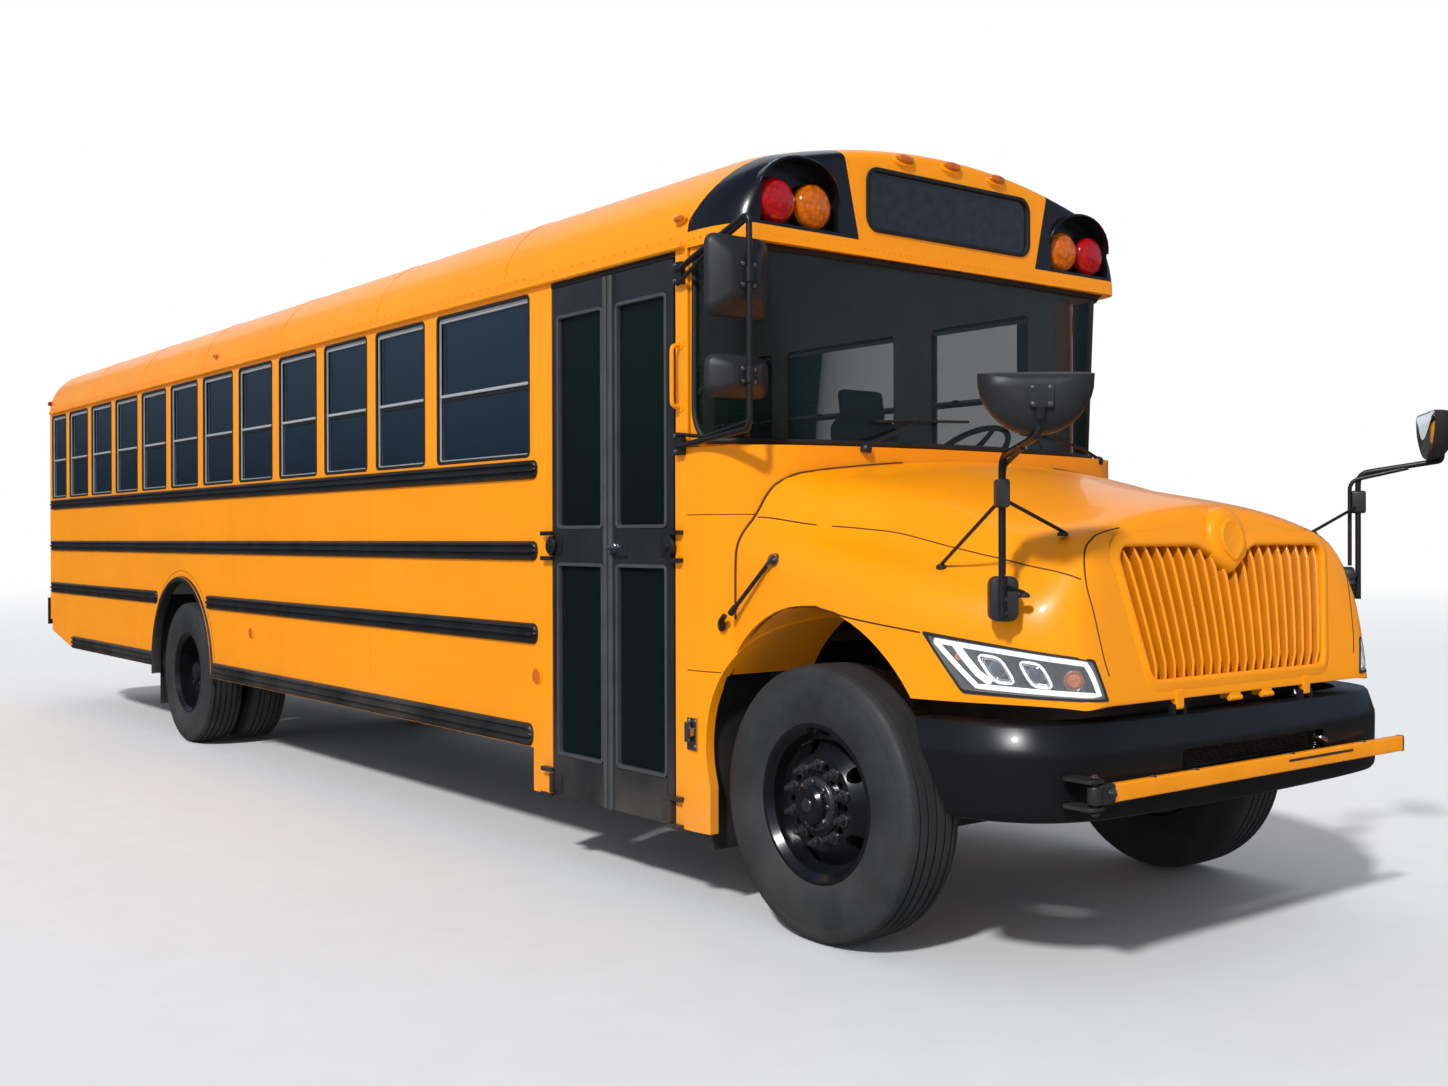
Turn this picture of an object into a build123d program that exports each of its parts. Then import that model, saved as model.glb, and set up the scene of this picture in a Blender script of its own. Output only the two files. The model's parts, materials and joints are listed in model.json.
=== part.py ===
from build123d import *
import os
from math import sin, cos, radians, pi

# Conventional school bus, millimetres. The front faces -Y, its left side is +X and Z is up.
# The origin is on the ground below the middle of the whole vehicle.

os.makedirs("parts", exist_ok=True)

# Running gear
wheelbase = 7010
front_axle_y = -4877
rear_axle_y = front_axle_y + wheelbase
tyre_radius = 520
tyre_half_width = 140
tread_half_width = 115
sidewall_radius = 420
bead_radius = 285
bead_half_width = 100
axle_z = tyre_radius
front_track_half = 1030
kingpin_x = 880
dual_outer_x = 1062
dual_inner_x = 732

# Frame rails
rail_outer_x = 432
rail_height = 254
rail_flange = 76
rail_web = 10
rail_top_z = 954
rail_bottom_z = rail_top_z - rail_height
rail_front_y = front_axle_y - 1000

# Body shell
body_half = 1219
wall = 40
inner_half = body_half - wall
skirt_bottom_z = 527
belt_z = 1262
sill_z = 1896
window_top_z = 2668
eave_z = 2700
roof_top_z = 3208
roof_corner_radius = 400
roof_corner_angle = 75
roof_skin = 36
body_rear_y = front_axle_y + 10880
rear_wall_depth = 120
side_rear_y = body_rear_y - rear_wall_depth
tail_bottom_z = 760
tail_cut_length = 700
tail_cut_height = 130
floor_z = 1120
floor_plate = 40
sill_beam_height = floor_z - floor_plate - rail_top_z
sill_beam_width = 60

# Entrance door opening, front post and cowl
door_front_y = front_axle_y + 778
door_rear_y = front_axle_y + 1740
door_bottom_z = 325
door_top_z = 2660
post_front_y = front_axle_y + 690
door_gap = 6
leaf_face_x = -body_half - 2
hinge_pin_radius = 12
door_hinge_x = leaf_face_x - 14
front_hinge_y = door_front_y + door_gap + hinge_pin_radius
rear_leaf_hinge_y = door_rear_y - door_gap - hinge_pin_radius
post_rear_y = door_front_y - door_gap
cowl_bottom_z = door_bottom_z
cowl_top_z = sill_z - 16
cowl_corner_x = body_half - 47
cowl_corner_y = front_axle_y + 345
cowl_centre_y = front_axle_y + 190
cap_front_y = front_axle_y + 377

# Side windows
window_pitch = 722
window_width = 607
window_height = window_top_z - sill_z
first_window_y = front_axle_y + 2967 + window_pitch / 2
window_count = 10
tail_window_width = 500
tail_window_y = front_axle_y + 2967 + window_count * window_pitch + 55 + tail_window_width / 2
wide_window_width = 950
wide_window_y = front_axle_y + 2412
driver_window_width = 700
driver_window_y = front_axle_y + 1300
glass = 6
sash_depth = 24
sash_face = 26

# Wheel arches
front_arch_radius = 580
front_arch_z = 680
rear_arch_radius = 640
rear_arch_z = 560
flare_width = 34
flare_proud = 18

# Clearances
seat_gap = 0.3


def save(piece, name):
    piece.part.label = name
    export_step(piece.part, f"parts/{name}.step")


def across(y):
    # A plane square to the length of the bus: its x is X and its y is Z.
    return Plane.XZ.offset(-y)


def sideways(x):
    # A plane on the side of the bus: its x is Y and its y is Z, and it looks to +X.
    return Plane.YZ.offset(x)


hinge_lug_height = 18
door_knuckle_height = 90
door_knuckle_z = (389, 1478)
lug_reach = 55


def entrance_lugs(post_y, hinge_y, heights):
    # Lugs above and below each knuckle of an entrance leaf, carried by the post beside it.
    away = 1 if hinge_y > post_y else -1
    outer_x = door_hinge_x - hinge_pin_radius
    for knuckle_z in heights:
        for end in (-1, 1):
            lug_z = knuckle_z + end * (door_knuckle_height / 2 + seat_gap + hinge_lug_height / 2)
            with BuildSketch(Plane.XY.offset(lug_z - hinge_lug_height / 2)) as plan:
                with BuildLine():
                    Polyline(
                        (-body_half, post_y),
                        (-body_half, post_y - away * lug_reach),
                        (outer_x, post_y - away * lug_reach),
                        (outer_x, hinge_y + away * 6),
                        (door_hinge_x + 7, hinge_y + away * 6),
                        (door_hinge_x + 7, post_y),
                        close=True,
                    )
                make_face()
            yield extrude(plan.sketch, amount=hinge_lug_height, mode=Mode.PRIVATE)


def roof_outline(half, top, corner_radius, inset, bottom):
    # The edges of a roof section: an eave post, a corner arc and a crown arc, and their mirror copy.
    radius = corner_radius - inset
    angle = radians(roof_corner_angle)
    start_x = half - inset
    corner_x = start_x - radius * (1 - cos(angle))
    crown_z = top - inset
    drop = corner_x * (1 - sin(angle)) / cos(angle)
    corner_z = crown_z - drop
    start_z = corner_z - radius * sin(angle)
    with BuildLine() as line:
        Line((0, bottom), (start_x, bottom))
        Line((start_x, bottom), (start_x, start_z))
        TangentArc((start_x, start_z), (corner_x, corner_z), tangent=(0, 1))
        TangentArc((0, crown_z), (corner_x, corner_z), tangent=(1, 0))
        mirror(about=Plane.YZ)
    return line.line


# Frame: two channel rails that open inwards and the cross members between them
cross_member_height = 90
cross_member_offsets = [-915, 1150, 2300, 3900, 5400, 6250, 7800, 9300, 10600]
rail_rear_y = body_rear_y - 60
rail_length = rail_rear_y - rail_front_y
with BuildPart() as chassis_frame:
    for side in (-1, 1):
        with BuildSketch(Plane.XZ.offset(-rail_rear_y)):
            with Locations((side * (rail_outer_x - rail_flange / 2), rail_top_z - rail_height / 2)):
                Rectangle(rail_flange, rail_height)
            open_x = rail_outer_x - rail_web - (rail_flange - rail_web) / 2
            with Locations((side * open_x, rail_top_z - rail_height / 2)):
                Rectangle(rail_flange - rail_web, rail_height - 2 * rail_web, mode=Mode.SUBTRACT)
        extrude(amount=rail_length)
    for offset_y in cross_member_offsets:
        with Locations((0, front_axle_y + offset_y, rail_top_z - rail_web - cross_member_height / 2)):
            Box(2 * (rail_outer_x - rail_web), 70, cross_member_height)
save(chassis_frame, "chassis_frame")

# Side skins above the belt, with their windows cut through
windows = [(first_window_y + row * window_pitch, window_width) for row in range(window_count)]
windows.append((tail_window_y, tail_window_width))
windows.append((wide_window_y, wide_window_width))
left_windows = windows + [(driver_window_y, driver_window_width)]


def side_skin(side, front_y, openings):
    with BuildPart() as skin:
        with BuildSketch(sideways(side * inner_half if side > 0 else -body_half)):
            with Locations(((front_y + side_rear_y) / 2, (belt_z + eave_z) / 2)):
                Rectangle(side_rear_y - front_y, eave_z - belt_z)
            for centre_y, width in openings:
                with Locations((centre_y, (sill_z + window_top_z) / 2)):
                    RectangleRounded(width, window_height, 30, mode=Mode.SUBTRACT)
        extrude(amount=wall)
    return skin


side_wall_right = side_skin(-1, door_rear_y, windows)
side_wall_left = side_skin(1, post_rear_y, left_windows)
with side_wall_right:
    for lug in entrance_lugs(door_rear_y, rear_leaf_hinge_y, door_knuckle_z[1:]):
        add(lug)
# Bracket of the stop arm: a lug above and below its hinge barrel
stop_hinge_y = front_axle_y + 980
stop_z = 1640
stop_radius = 225
stop_face_x = body_half + 46
stop_barrel_height = 240
stop_barrel_radius = 14
stop_barrel_x = stop_face_x + 7
with side_wall_left:
    for end in (-1, 1):
        lug_z = stop_z + end * (stop_barrel_height / 2 + seat_gap + 10)
        with Locations(((body_half + stop_barrel_x + 12) / 2, stop_hinge_y, lug_z)):
            Box(stop_barrel_x + 12 - body_half, 40, 20)
save(side_wall_right, "side_wall_right")
save(side_wall_left, "side_wall_left")


# Skirts below the belt: open round the rear wheels and cut up towards the tail
def skirt(side, front_y, front_bottom_z):
    arch_y = rear_axle_y
    foot = 170
    with BuildPart() as panel:
        with BuildSketch(sideways(side * inner_half if side > 0 else -body_half)):
            with BuildLine():
                Polyline(
                    (front_y, belt_z),
                    (front_y, front_bottom_z),
                    (front_y + foot, front_bottom_z),
                    (front_y + foot, skirt_bottom_z),
                    (side_rear_y - tail_cut_length, skirt_bottom_z),
                    (side_rear_y, skirt_bottom_z + tail_cut_height),
                    (side_rear_y, belt_z),
                    close=True,
                )
            make_face()
            with Locations((arch_y, rear_arch_z)):
                Circle(rear_arch_radius, mode=Mode.SUBTRACT)
            with Locations((arch_y, skirt_bottom_z)):
                Rectangle(2 * rear_arch_radius, 2 * (rear_arch_z - skirt_bottom_z), mode=Mode.SUBTRACT)
        extrude(amount=wall)
        # The flare stands proud round the arch
        with BuildSketch(sideways(side * body_half if side > 0 else -body_half - flare_proud)):
            with Locations((arch_y, rear_arch_z)):
                Circle(rear_arch_radius + flare_width)
                Circle(rear_arch_radius, mode=Mode.SUBTRACT)
            with Locations((arch_y, rear_arch_z - rear_arch_radius)):
                Rectangle(4 * rear_arch_radius, 2 * rear_arch_radius, mode=Mode.SUBTRACT)
        extrude(amount=flare_proud)
    return panel


skirt_right = skirt(-1, door_rear_y, door_bottom_z)
skirt_left = skirt(1, post_rear_y, door_bottom_z)
with skirt_right:
    for lug in entrance_lugs(door_rear_y, rear_leaf_hinge_y, door_knuckle_z[:1]):
        add(lug)
save(skirt_right, "skirt_right")
save(skirt_left, "skirt_left")

# Roof shell
roof_front_y = post_front_y
with BuildPart() as roof:
    with BuildSketch(across(side_rear_y)):
        add(roof_outline(body_half, roof_top_z, roof_corner_radius, 0, eave_z))
        make_face()
    extrude(amount=side_rear_y - roof_front_y)
    with BuildSketch(across(side_rear_y)):
        add(roof_outline(body_half, roof_top_z, roof_corner_radius, roof_skin, eave_z))
        make_face()
    extrude(amount=side_rear_y - roof_front_y, mode=Mode.SUBTRACT)
save(roof, "roof")

# Front cap over the windscreen: three roof sections that draw in towards the face
# Columns: y, how far the sides draw in, how far the crown drops, corner radius
cap_sections = [
    (post_front_y, 0, 0, roof_corner_radius),
    (front_axle_y + 500, 32, 14, 385),
    (cap_front_y, 115, 70, 340),
]
cap_skin = 36
cap_bottom_z = eave_z - 10
cap_lamp_z = 2866
cap_lamp_radius = 84
amber_x = 789
red_x = 983
lamp_pocket_depth = 24
# Columns: x and z of the corners of the pocket round each pair of lamps
lamp_pocket = [(640, 2762), (1088, 2762), (1076, 2890), (1010, 2975), (880, 3040), (640, 3085)]
sign_half = 510
sign_bottom_z = 2804
sign_top_z = 3064
sign_depth = 12
with BuildPart() as front_cap:
    for section_y, draw_in, drop, radius in cap_sections:
        with BuildSketch(across(section_y)):
            add(roof_outline(body_half - draw_in, roof_top_z - drop, radius, 0, cap_bottom_z))
            make_face()
    loft()
    for section_y, draw_in, drop, radius in cap_sections:
        inner_y = section_y + cap_skin if section_y == cap_front_y else section_y
        with BuildSketch(across(inner_y)):
            add(roof_outline(body_half - draw_in, roof_top_z - drop, radius, roof_skin, cap_bottom_z))
            make_face()
    loft(mode=Mode.SUBTRACT)
    # Pockets for the warning lamps and a shallow one for the bare sign
    with BuildSketch(across(cap_front_y + lamp_pocket_depth)):
        with BuildLine():
            Polyline(*lamp_pocket, close=True)
        make_face()
        mirror(about=Plane.YZ)
    extrude(amount=2 * lamp_pocket_depth, mode=Mode.SUBTRACT)
    with BuildSketch(across(cap_front_y + sign_depth)):
        with Locations((0, (sign_bottom_z + sign_top_z) / 2)):
            RectangleRounded(2 * sign_half, sign_top_z - sign_bottom_z, 60)
    extrude(amount=2 * sign_depth, mode=Mode.SUBTRACT)
save(front_cap, "front_cap")

# Rear wall: the roof outline carried down to the floor, hollowed from the front
rear_door_half = 340
rear_door_bottom_z = floor_z - floor_plate
rear_door_top_z = 2560
rear_leaf_half = rear_door_half - door_gap
rear_hinge_radius = 11
rear_hinge_x = -rear_leaf_half + rear_hinge_radius
rear_hinge_y = body_rear_y + rear_hinge_radius + 2
rear_knuckle_z = (1280, 1800, 2420)
rear_knuckle_height = 110
plate_x = 800
plate_z = 1100
plate_spacing_x = 177.8
plate_spacing_z = 120.65
plate_hole_radius = 3.5
rear_window_x = 760
rear_window_width = 500
rear_window_height = 560
rear_window_z = 2290
with BuildPart() as rear_wall:
    with BuildSketch(across(body_rear_y)):
        add(roof_outline(body_half, roof_top_z, roof_corner_radius, 0, tail_bottom_z))
        make_face()
    extrude(amount=rear_wall_depth)
    fillet(rear_wall.faces().sort_by(Axis.Y)[-1].outer_wire().edges().sort_by(Axis.Z)[1:], 60)
    with BuildSketch(across(side_rear_y + rear_wall_depth - wall)):
        add(roof_outline(body_half, roof_top_z, roof_corner_radius, roof_skin, tail_bottom_z))
        make_face()
    extrude(amount=rear_wall_depth - wall, mode=Mode.SUBTRACT)
    with BuildSketch(across(body_rear_y)):
        with Locations((0, (rear_door_bottom_z + rear_door_top_z) / 2)):
            Rectangle(2 * rear_door_half, rear_door_top_z - rear_door_bottom_z)
        with Locations((-rear_window_x, rear_window_z), (rear_window_x, rear_window_z)):
            RectangleRounded(rear_window_width, rear_window_height, 40)
    extrude(amount=wall, mode=Mode.SUBTRACT)
    # Lugs above and below the knuckles of the emergency door
    for knuckle_z in rear_knuckle_z:
        for end in (-1, 1):
            lug_z = knuckle_z + end * (rear_knuckle_height / 2 + seat_gap + hinge_lug_height / 2)
            with BuildSketch(Plane.XY.offset(lug_z - hinge_lug_height / 2)):
                with BuildLine():
                    Polyline(
                        (-rear_door_half, body_rear_y),
                        (-rear_door_half - 40, body_rear_y),
                        (-rear_door_half - 40, rear_hinge_y + rear_hinge_radius),
                        (rear_hinge_x + 6, rear_hinge_y + rear_hinge_radius),
                        (rear_hinge_x + 6, rear_hinge_y - 7),
                        (-rear_door_half, rear_hinge_y - 7),
                        close=True,
                    )
                make_face()
            extrude(amount=hinge_lug_height)
    # Four holes for a number plate
    with BuildSketch(across(body_rear_y)):
        with Locations((plate_x, plate_z)):
            with GridLocations(plate_spacing_x, plate_spacing_z, 2, 2):
                Circle(plate_hole_radius)
    extrude(amount=wall, mode=Mode.SUBTRACT)
save(rear_wall, "rear_wall")

# Cowl: the curved wall below the windscreen, its corners and the two posts beside the glass
def cowl_outline(inset, rear_y):
    # The plan of the cowl wall from its left end round the front to its right end.
    side_x = body_half - inset
    corner_x = cowl_corner_x - inset
    corner_y = cowl_corner_y + inset
    with BuildLine() as line:
        Line((side_x, rear_y), (side_x, post_front_y))
        TangentArc((side_x, post_front_y), (corner_x, corner_y), tangent=(0, -1))
        ThreePointArc((corner_x, corner_y), (0, cowl_centre_y + inset), (-corner_x, corner_y))
        TangentArc((-side_x, post_front_y), (-corner_x, corner_y), tangent=(0, -1))
        Line((-side_x, post_front_y), (-side_x, rear_y))
        Line((-side_x, rear_y), (side_x, rear_y))
    return line.line


with BuildPart() as cowl:
    with BuildSketch(Plane.XY.offset(cowl_bottom_z)):
        add(cowl_outline(0, post_rear_y))
        make_face()
    extrude(amount=cowl_top_z - cowl_bottom_z)
    with BuildSketch(Plane.XY.offset(cowl_bottom_z)):
        add(cowl_outline(wall, door_front_y + wall))
        make_face()
    extrude(amount=cowl_top_z - cowl_bottom_z, mode=Mode.SUBTRACT)
    # The engine bay and the front wheels reach under the cowl between the side panels
    with BuildSketch(Plane.XY.offset(cowl_bottom_z)):
        with Locations((0, cowl_corner_y)):
            Rectangle(2 * (inner_half - 20), 1200)
    extrude(amount=rail_top_z + 6 - cowl_bottom_z, mode=Mode.SUBTRACT)
    with BuildSketch(sideways(-body_half)):
        with Locations((front_axle_y, front_arch_z)):
            Circle(front_arch_radius)
        with Locations((front_axle_y, front_arch_z / 2)):
            Rectangle(2 * (front_arch_radius - 22), front_arch_z)
    extrude(amount=2 * body_half, mode=Mode.SUBTRACT)
    with BuildSketch(Plane.XY.offset(cowl_top_z)):
        for side in (-1, 1):
            with Locations((side * (body_half - wall / 2), (post_front_y + post_rear_y) / 2)):
                Rectangle(wall, post_rear_y - post_front_y)
    extrude(amount=eave_z - cowl_top_z)
    for lug in entrance_lugs(post_rear_y, front_hinge_y, door_knuckle_z):
        add(lug)
save(cowl, "cowl")

# Windscreen: one curved pane between the cowl and the cap
screen_glass = 8
screen_bottom_z = cowl_top_z + seat_gap
screen_top_z = cap_bottom_z - seat_gap
# Columns: z, y of the side edge, corner x, corner y, y at the middle
screen_sections = [
    (screen_bottom_z, post_front_y - 8, body_half - 144, front_axle_y + 486, front_axle_y + 300),
    (screen_top_z, post_front_y - 8, body_half - 169, front_axle_y + 425, front_axle_y + 402),
]
screen_side_x = body_half - 14


def screen_outline(inset, edge_y, corner_x, corner_y, centre_y):
    side_x = screen_side_x - inset
    near_x = corner_x - inset
    with BuildLine() as line:
        outer = (corner_x, corner_y)
        TangentArc((screen_side_x, edge_y), outer, tangent=(0, -1))
        ThreePointArc(outer, (0, centre_y), (-corner_x, corner_y))
        TangentArc((-screen_side_x, edge_y), (-corner_x, corner_y), tangent=(0, -1))
        Line((-screen_side_x, edge_y), (-side_x, edge_y))
        inner = (near_x, corner_y + inset)
        TangentArc((-side_x, edge_y), (-near_x, corner_y + inset), tangent=(0, -1))
        ThreePointArc((-near_x, corner_y + inset), (0, centre_y + inset), inner)
        TangentArc((side_x, edge_y), inner, tangent=(0, -1))
        Line((side_x, edge_y), (screen_side_x, edge_y))
    return line.line


with BuildPart() as windshield:
    for section_z, edge_y, corner_x, corner_y, centre_y in screen_sections:
        with BuildSketch(Plane.XY.offset(section_z)):
            add(screen_outline(screen_glass, edge_y, corner_x, corner_y, centre_y))
            make_face()
    loft(ruled=True)
save(windshield, "windshield")

# Floor on its cross sills, cut for the step well and the rear wheels
step_inner_x = 640
step_front_y = door_front_y
step_rear_y = door_rear_y
house_inner_x = 560
house_half_length = 640
house_top_z = 1290
house_plate = 6
floor_front_y = door_front_y - 60
floor_edge_x = inner_half
toe_y = front_axle_y + 455
toe_half = body_half - 129
with BuildPart() as floor:
    with BuildSketch(Plane.XY.offset(floor_z - floor_plate)):
        with Locations((0, (floor_front_y + body_rear_y - wall) / 2)):
            Rectangle(2 * floor_edge_x, body_rear_y - wall - floor_front_y)
        with Locations((-(step_inner_x + floor_edge_x) / 2, (step_front_y + step_rear_y) / 2)):
            Rectangle(floor_edge_x - step_inner_x, step_rear_y - step_front_y, mode=Mode.SUBTRACT)
        for side in (-1, 1):
            with Locations((side * (house_inner_x + floor_edge_x) / 2, rear_axle_y)):
                Rectangle(floor_edge_x - house_inner_x, 2 * house_half_length, mode=Mode.SUBTRACT)
        with Locations((0, (toe_y + floor_front_y) / 2)):
            Rectangle(2 * toe_half, floor_front_y - toe_y)
    extrude(amount=floor_plate)
    sill_rows = int((body_rear_y - door_rear_y) // window_pitch)
    for row in range(sill_rows + 1):
        sill_y = door_rear_y + 200 + row * window_pitch
        reach = floor_edge_x - 20
        if abs(sill_y - rear_axle_y) < house_half_length + sill_beam_width:
            reach = house_inner_x - 20
        with Locations((0, sill_y, floor_z - floor_plate - sill_beam_height / 2)):
            Box(2 * reach, sill_beam_width, sill_beam_height)
save(floor, "floor")

# Wheel houses over the rear wheels: a top, two ends and an inner side
with BuildPart() as wheel_houses:
    for side in (-1, 1):
        with BuildSketch(sideways(side * floor_edge_x if side < 0 else house_inner_x)):
            house_height = house_top_z - floor_z + floor_plate
            with Locations((rear_axle_y, house_top_z - house_height / 2)):
                Rectangle(2 * house_half_length, house_height)
                inner_length = 2 * (house_half_length - house_plate)
            with Locations((rear_axle_y, house_top_z - house_plate - house_height / 2)):
                Rectangle(inner_length, house_height, mode=Mode.SUBTRACT)
        extrude(amount=floor_edge_x - house_inner_x)
        with Locations((side * (house_inner_x + house_plate / 2), rear_axle_y, house_top_z - house_height / 2)):
            Box(house_plate, 2 * house_half_length, house_height)
save(wheel_houses, "wheel_houses")

# Step well inside the entrance door: three treads with their risers
step_count = 3
step_plate = 8
step_bottom_z = door_bottom_z + 20
riser = (floor_z - step_bottom_z) / step_count
tread = (floor_edge_x - step_inner_x - step_plate) / step_count
with BuildPart() as step_well:
    with BuildSketch(across(step_rear_y - 2)):
        with BuildLine():
            points = [(-floor_edge_x, step_bottom_z)]
            for step in range(step_count):
                points.append((-floor_edge_x + (step + 1) * tread, step_bottom_z + step * riser))
                points.append((-floor_edge_x + (step + 1) * tread, step_bottom_z + (step + 1) * riser))
            back = [(x + step_plate, z - step_plate) for x, z in reversed(points[:-1])]
            back[-1] = (-floor_edge_x, step_bottom_z - step_plate)
            back.insert(0, (points[-1][0] + step_plate, points[-1][1]))
            Polyline(*points, *back, close=True)
        make_face()
    extrude(amount=step_rear_y - step_front_y - 4)
save(step_well, "step_well")


# Side windows: each sash with its pane and its middle bar, seated in the wall
bar_share = 0.45
bar_face = 26


def side_windows(side, openings, name):
    middle_z = (sill_z + window_top_z) / 2
    middle_x = side * (inner_half + wall / 2)
    with BuildPart() as window_set:
        with BuildSketch(sideways(middle_x - sash_depth / 2)):
            for centre_y, width in openings:
                with Locations((centre_y, middle_z)):
                    RectangleRounded(width, window_height, 30)
                    Rectangle(width - 2 * sash_face, window_height - 2 * sash_face, mode=Mode.SUBTRACT)
                with Locations((centre_y, sill_z + bar_share * window_height)):
                    Rectangle(width, bar_face)
        extrude(amount=sash_depth)
        with BuildSketch(sideways(middle_x - glass / 2)):
            for centre_y, width in openings:
                with Locations((centre_y, middle_z)):
                    Rectangle(width - sash_face, window_height - sash_face)
        extrude(amount=glass)
    save(window_set, name)


side_windows(-1, windows, "side_windows_right")
side_windows(1, left_windows, "side_windows_left")

# Rub rails. Columns: top z, bottom z, front y, rear y for a run ahead of and behind the arch
rail_proud = 26
arch_clear = rear_arch_radius + 40
rub_rail_table = [
    (1882, 1792, front_axle_y + 1868, side_rear_y),
    (1500, 1407, front_axle_y + 1868, side_rear_y),
    (1112, 1014, front_axle_y + 1868, rear_axle_y - arch_clear + 110),
    (1112, 1014, rear_axle_y + arch_clear - 110, side_rear_y),
    (638, 530, front_axle_y + 1912, rear_axle_y - arch_clear),
    (638, 530, rear_axle_y + arch_clear, side_rear_y - tail_cut_length - 20),
]
with BuildPart() as rub_rails:
    for side in (-1, 1):
        face_x = side * body_half if side > 0 else -body_half - rail_proud
        with BuildSketch(sideways(face_x)):
            for top_z, bottom_z, front_y, rear_y in rub_rail_table:
                with Locations(((front_y + rear_y) / 2, (top_z + bottom_z) / 2)):
                    Rectangle(rear_y - front_y, top_z - bottom_z)
        extrude(amount=rail_proud)
    for group in (0, -1):
        outer_faces = rub_rails.faces().filter_by(Axis.X).group_by(Axis.X)[group]
        chamfer(outer_faces.edges().filter_by(Axis.Y), 12)
save(rub_rails, "rub_rails")

# Entrance door: two glazed leaves on vertical hinges at their outer edges
leaf_thickness = 34
leaf_gap = 10
leaf_bottom_z = door_bottom_z + 4
leaf_length = (door_rear_y - door_front_y - 2 * door_gap - leaf_gap) / 2
leaf_rows = [(520, 1400), (1556, 2530)]
leaf_side = 46
front_leaf_y = door_front_y + door_gap + leaf_length / 2
rear_leaf_y = door_rear_y - door_gap - leaf_length / 2
for centre_y, hinge_y, name in (
    (front_leaf_y, front_hinge_y, "front"),
    (rear_leaf_y, rear_leaf_hinge_y, "rear"),
):
    with BuildPart() as door_leaf:
        with BuildSketch(sideways(leaf_face_x)):
            with Locations((centre_y, (leaf_bottom_z + door_top_z) / 2)):
                Rectangle(leaf_length, door_top_z - leaf_bottom_z)
            for bottom_z, top_z in leaf_rows:
                with Locations((centre_y, (bottom_z + top_z) / 2)):
                    RectangleRounded(leaf_length - 2 * leaf_side, top_z - bottom_z, 24, mode=Mode.SUBTRACT)
        extrude(amount=leaf_thickness)
        # Hinge knuckles stand just outside the skin
        for knuckle_z in door_knuckle_z:
            with Locations((door_hinge_x, hinge_y, knuckle_z)):
                Cylinder(hinge_pin_radius, door_knuckle_height)
            with Locations(((door_hinge_x + leaf_face_x) / 2, hinge_y, knuckle_z)):
                Box(abs(door_hinge_x - leaf_face_x), 2 * hinge_pin_radius, door_knuckle_height)
        with BuildSketch(sideways(leaf_face_x + leaf_thickness / 2 - glass / 2)):
            for bottom_z, top_z in leaf_rows:
                with Locations((centre_y, (bottom_z + top_z) / 2)):
                    Rectangle(leaf_length - 2 * leaf_side, top_z - bottom_z)
        extrude(amount=glass)
    save(door_leaf, "door_leaf_" + name)

# Rear emergency door, hinged on the kerb side, and the rear panes
rear_leaf_thickness = 36
rear_pane_z = 2190
rear_pane_width = 500
rear_pane_height = 620
with BuildPart() as rear_door:
    with BuildSketch(across(body_rear_y)):
        with Locations((0, (rear_door_bottom_z + rear_door_top_z) / 2)):
            Rectangle(2 * rear_leaf_half, rear_door_top_z - rear_door_bottom_z - 2 * door_gap)
        with Locations((0, rear_pane_z)):
            RectangleRounded(rear_pane_width, rear_pane_height, 50, mode=Mode.SUBTRACT)
        with Locations((0, 1480)):
            RectangleRounded(rear_pane_width, 300, 50, mode=Mode.SUBTRACT)
    extrude(amount=rear_leaf_thickness)
    for knuckle_z in rear_knuckle_z:
        with Locations((rear_hinge_x, rear_hinge_y, knuckle_z)):
            Cylinder(rear_hinge_radius, rear_knuckle_height)
        with Locations((rear_hinge_x, (rear_hinge_y + body_rear_y) / 2, knuckle_z)):
            Box(2 * rear_hinge_radius, rear_hinge_y - body_rear_y, rear_knuckle_height)
    with BuildSketch(across(body_rear_y - rear_leaf_thickness / 2 + glass / 2)):
        with Locations((0, rear_pane_z)):
            Rectangle(rear_pane_width, rear_pane_height)
        with Locations((0, 1480)):
            Rectangle(rear_pane_width, 300)
    extrude(amount=glass)
save(rear_door, "rear_door")
with BuildPart() as rear_glass:
    with BuildSketch(across(body_rear_y - wall / 2 + glass / 2)):
        with Locations((-rear_window_x, rear_window_z), (rear_window_x, rear_window_z)):
            RectangleRounded(rear_window_width, rear_window_height, 40)
    extrude(amount=glass)
save(rear_glass, "rear_glass")

# Front bumper: a deep wrapped channel cut back at its ends to clear the steered wheels
bumper_top_z = 900
bumper_bottom_z = 578
bumper_plate = 40
bumper_front_y = front_axle_y - 1125
bumper_knee_x = 850
bumper_knee_y = front_axle_y - 1088
bumper_end_x = body_half - 24
bumper_end_y = front_axle_y - 540
bumper_undercut = 170

# The crossing arm's hinge at the kerb end and the hood's pivot behind the bumper's lip
arm_z = 690
arm_height = 62
arm_depth = 30
arm_back_y = bumper_front_y - 12
arm_hinge_x = -975
arm_hinge_y = arm_back_y - arm_depth / 2
arm_reach = 945
arm_barrel_radius = 24
hood_pivot_y = front_axle_y - 1060
hood_pivot_z = 925
hood_pivot_x = rail_outer_x - 30
hood_pivot_radius = 12
hood_knuckle_width = 44


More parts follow.
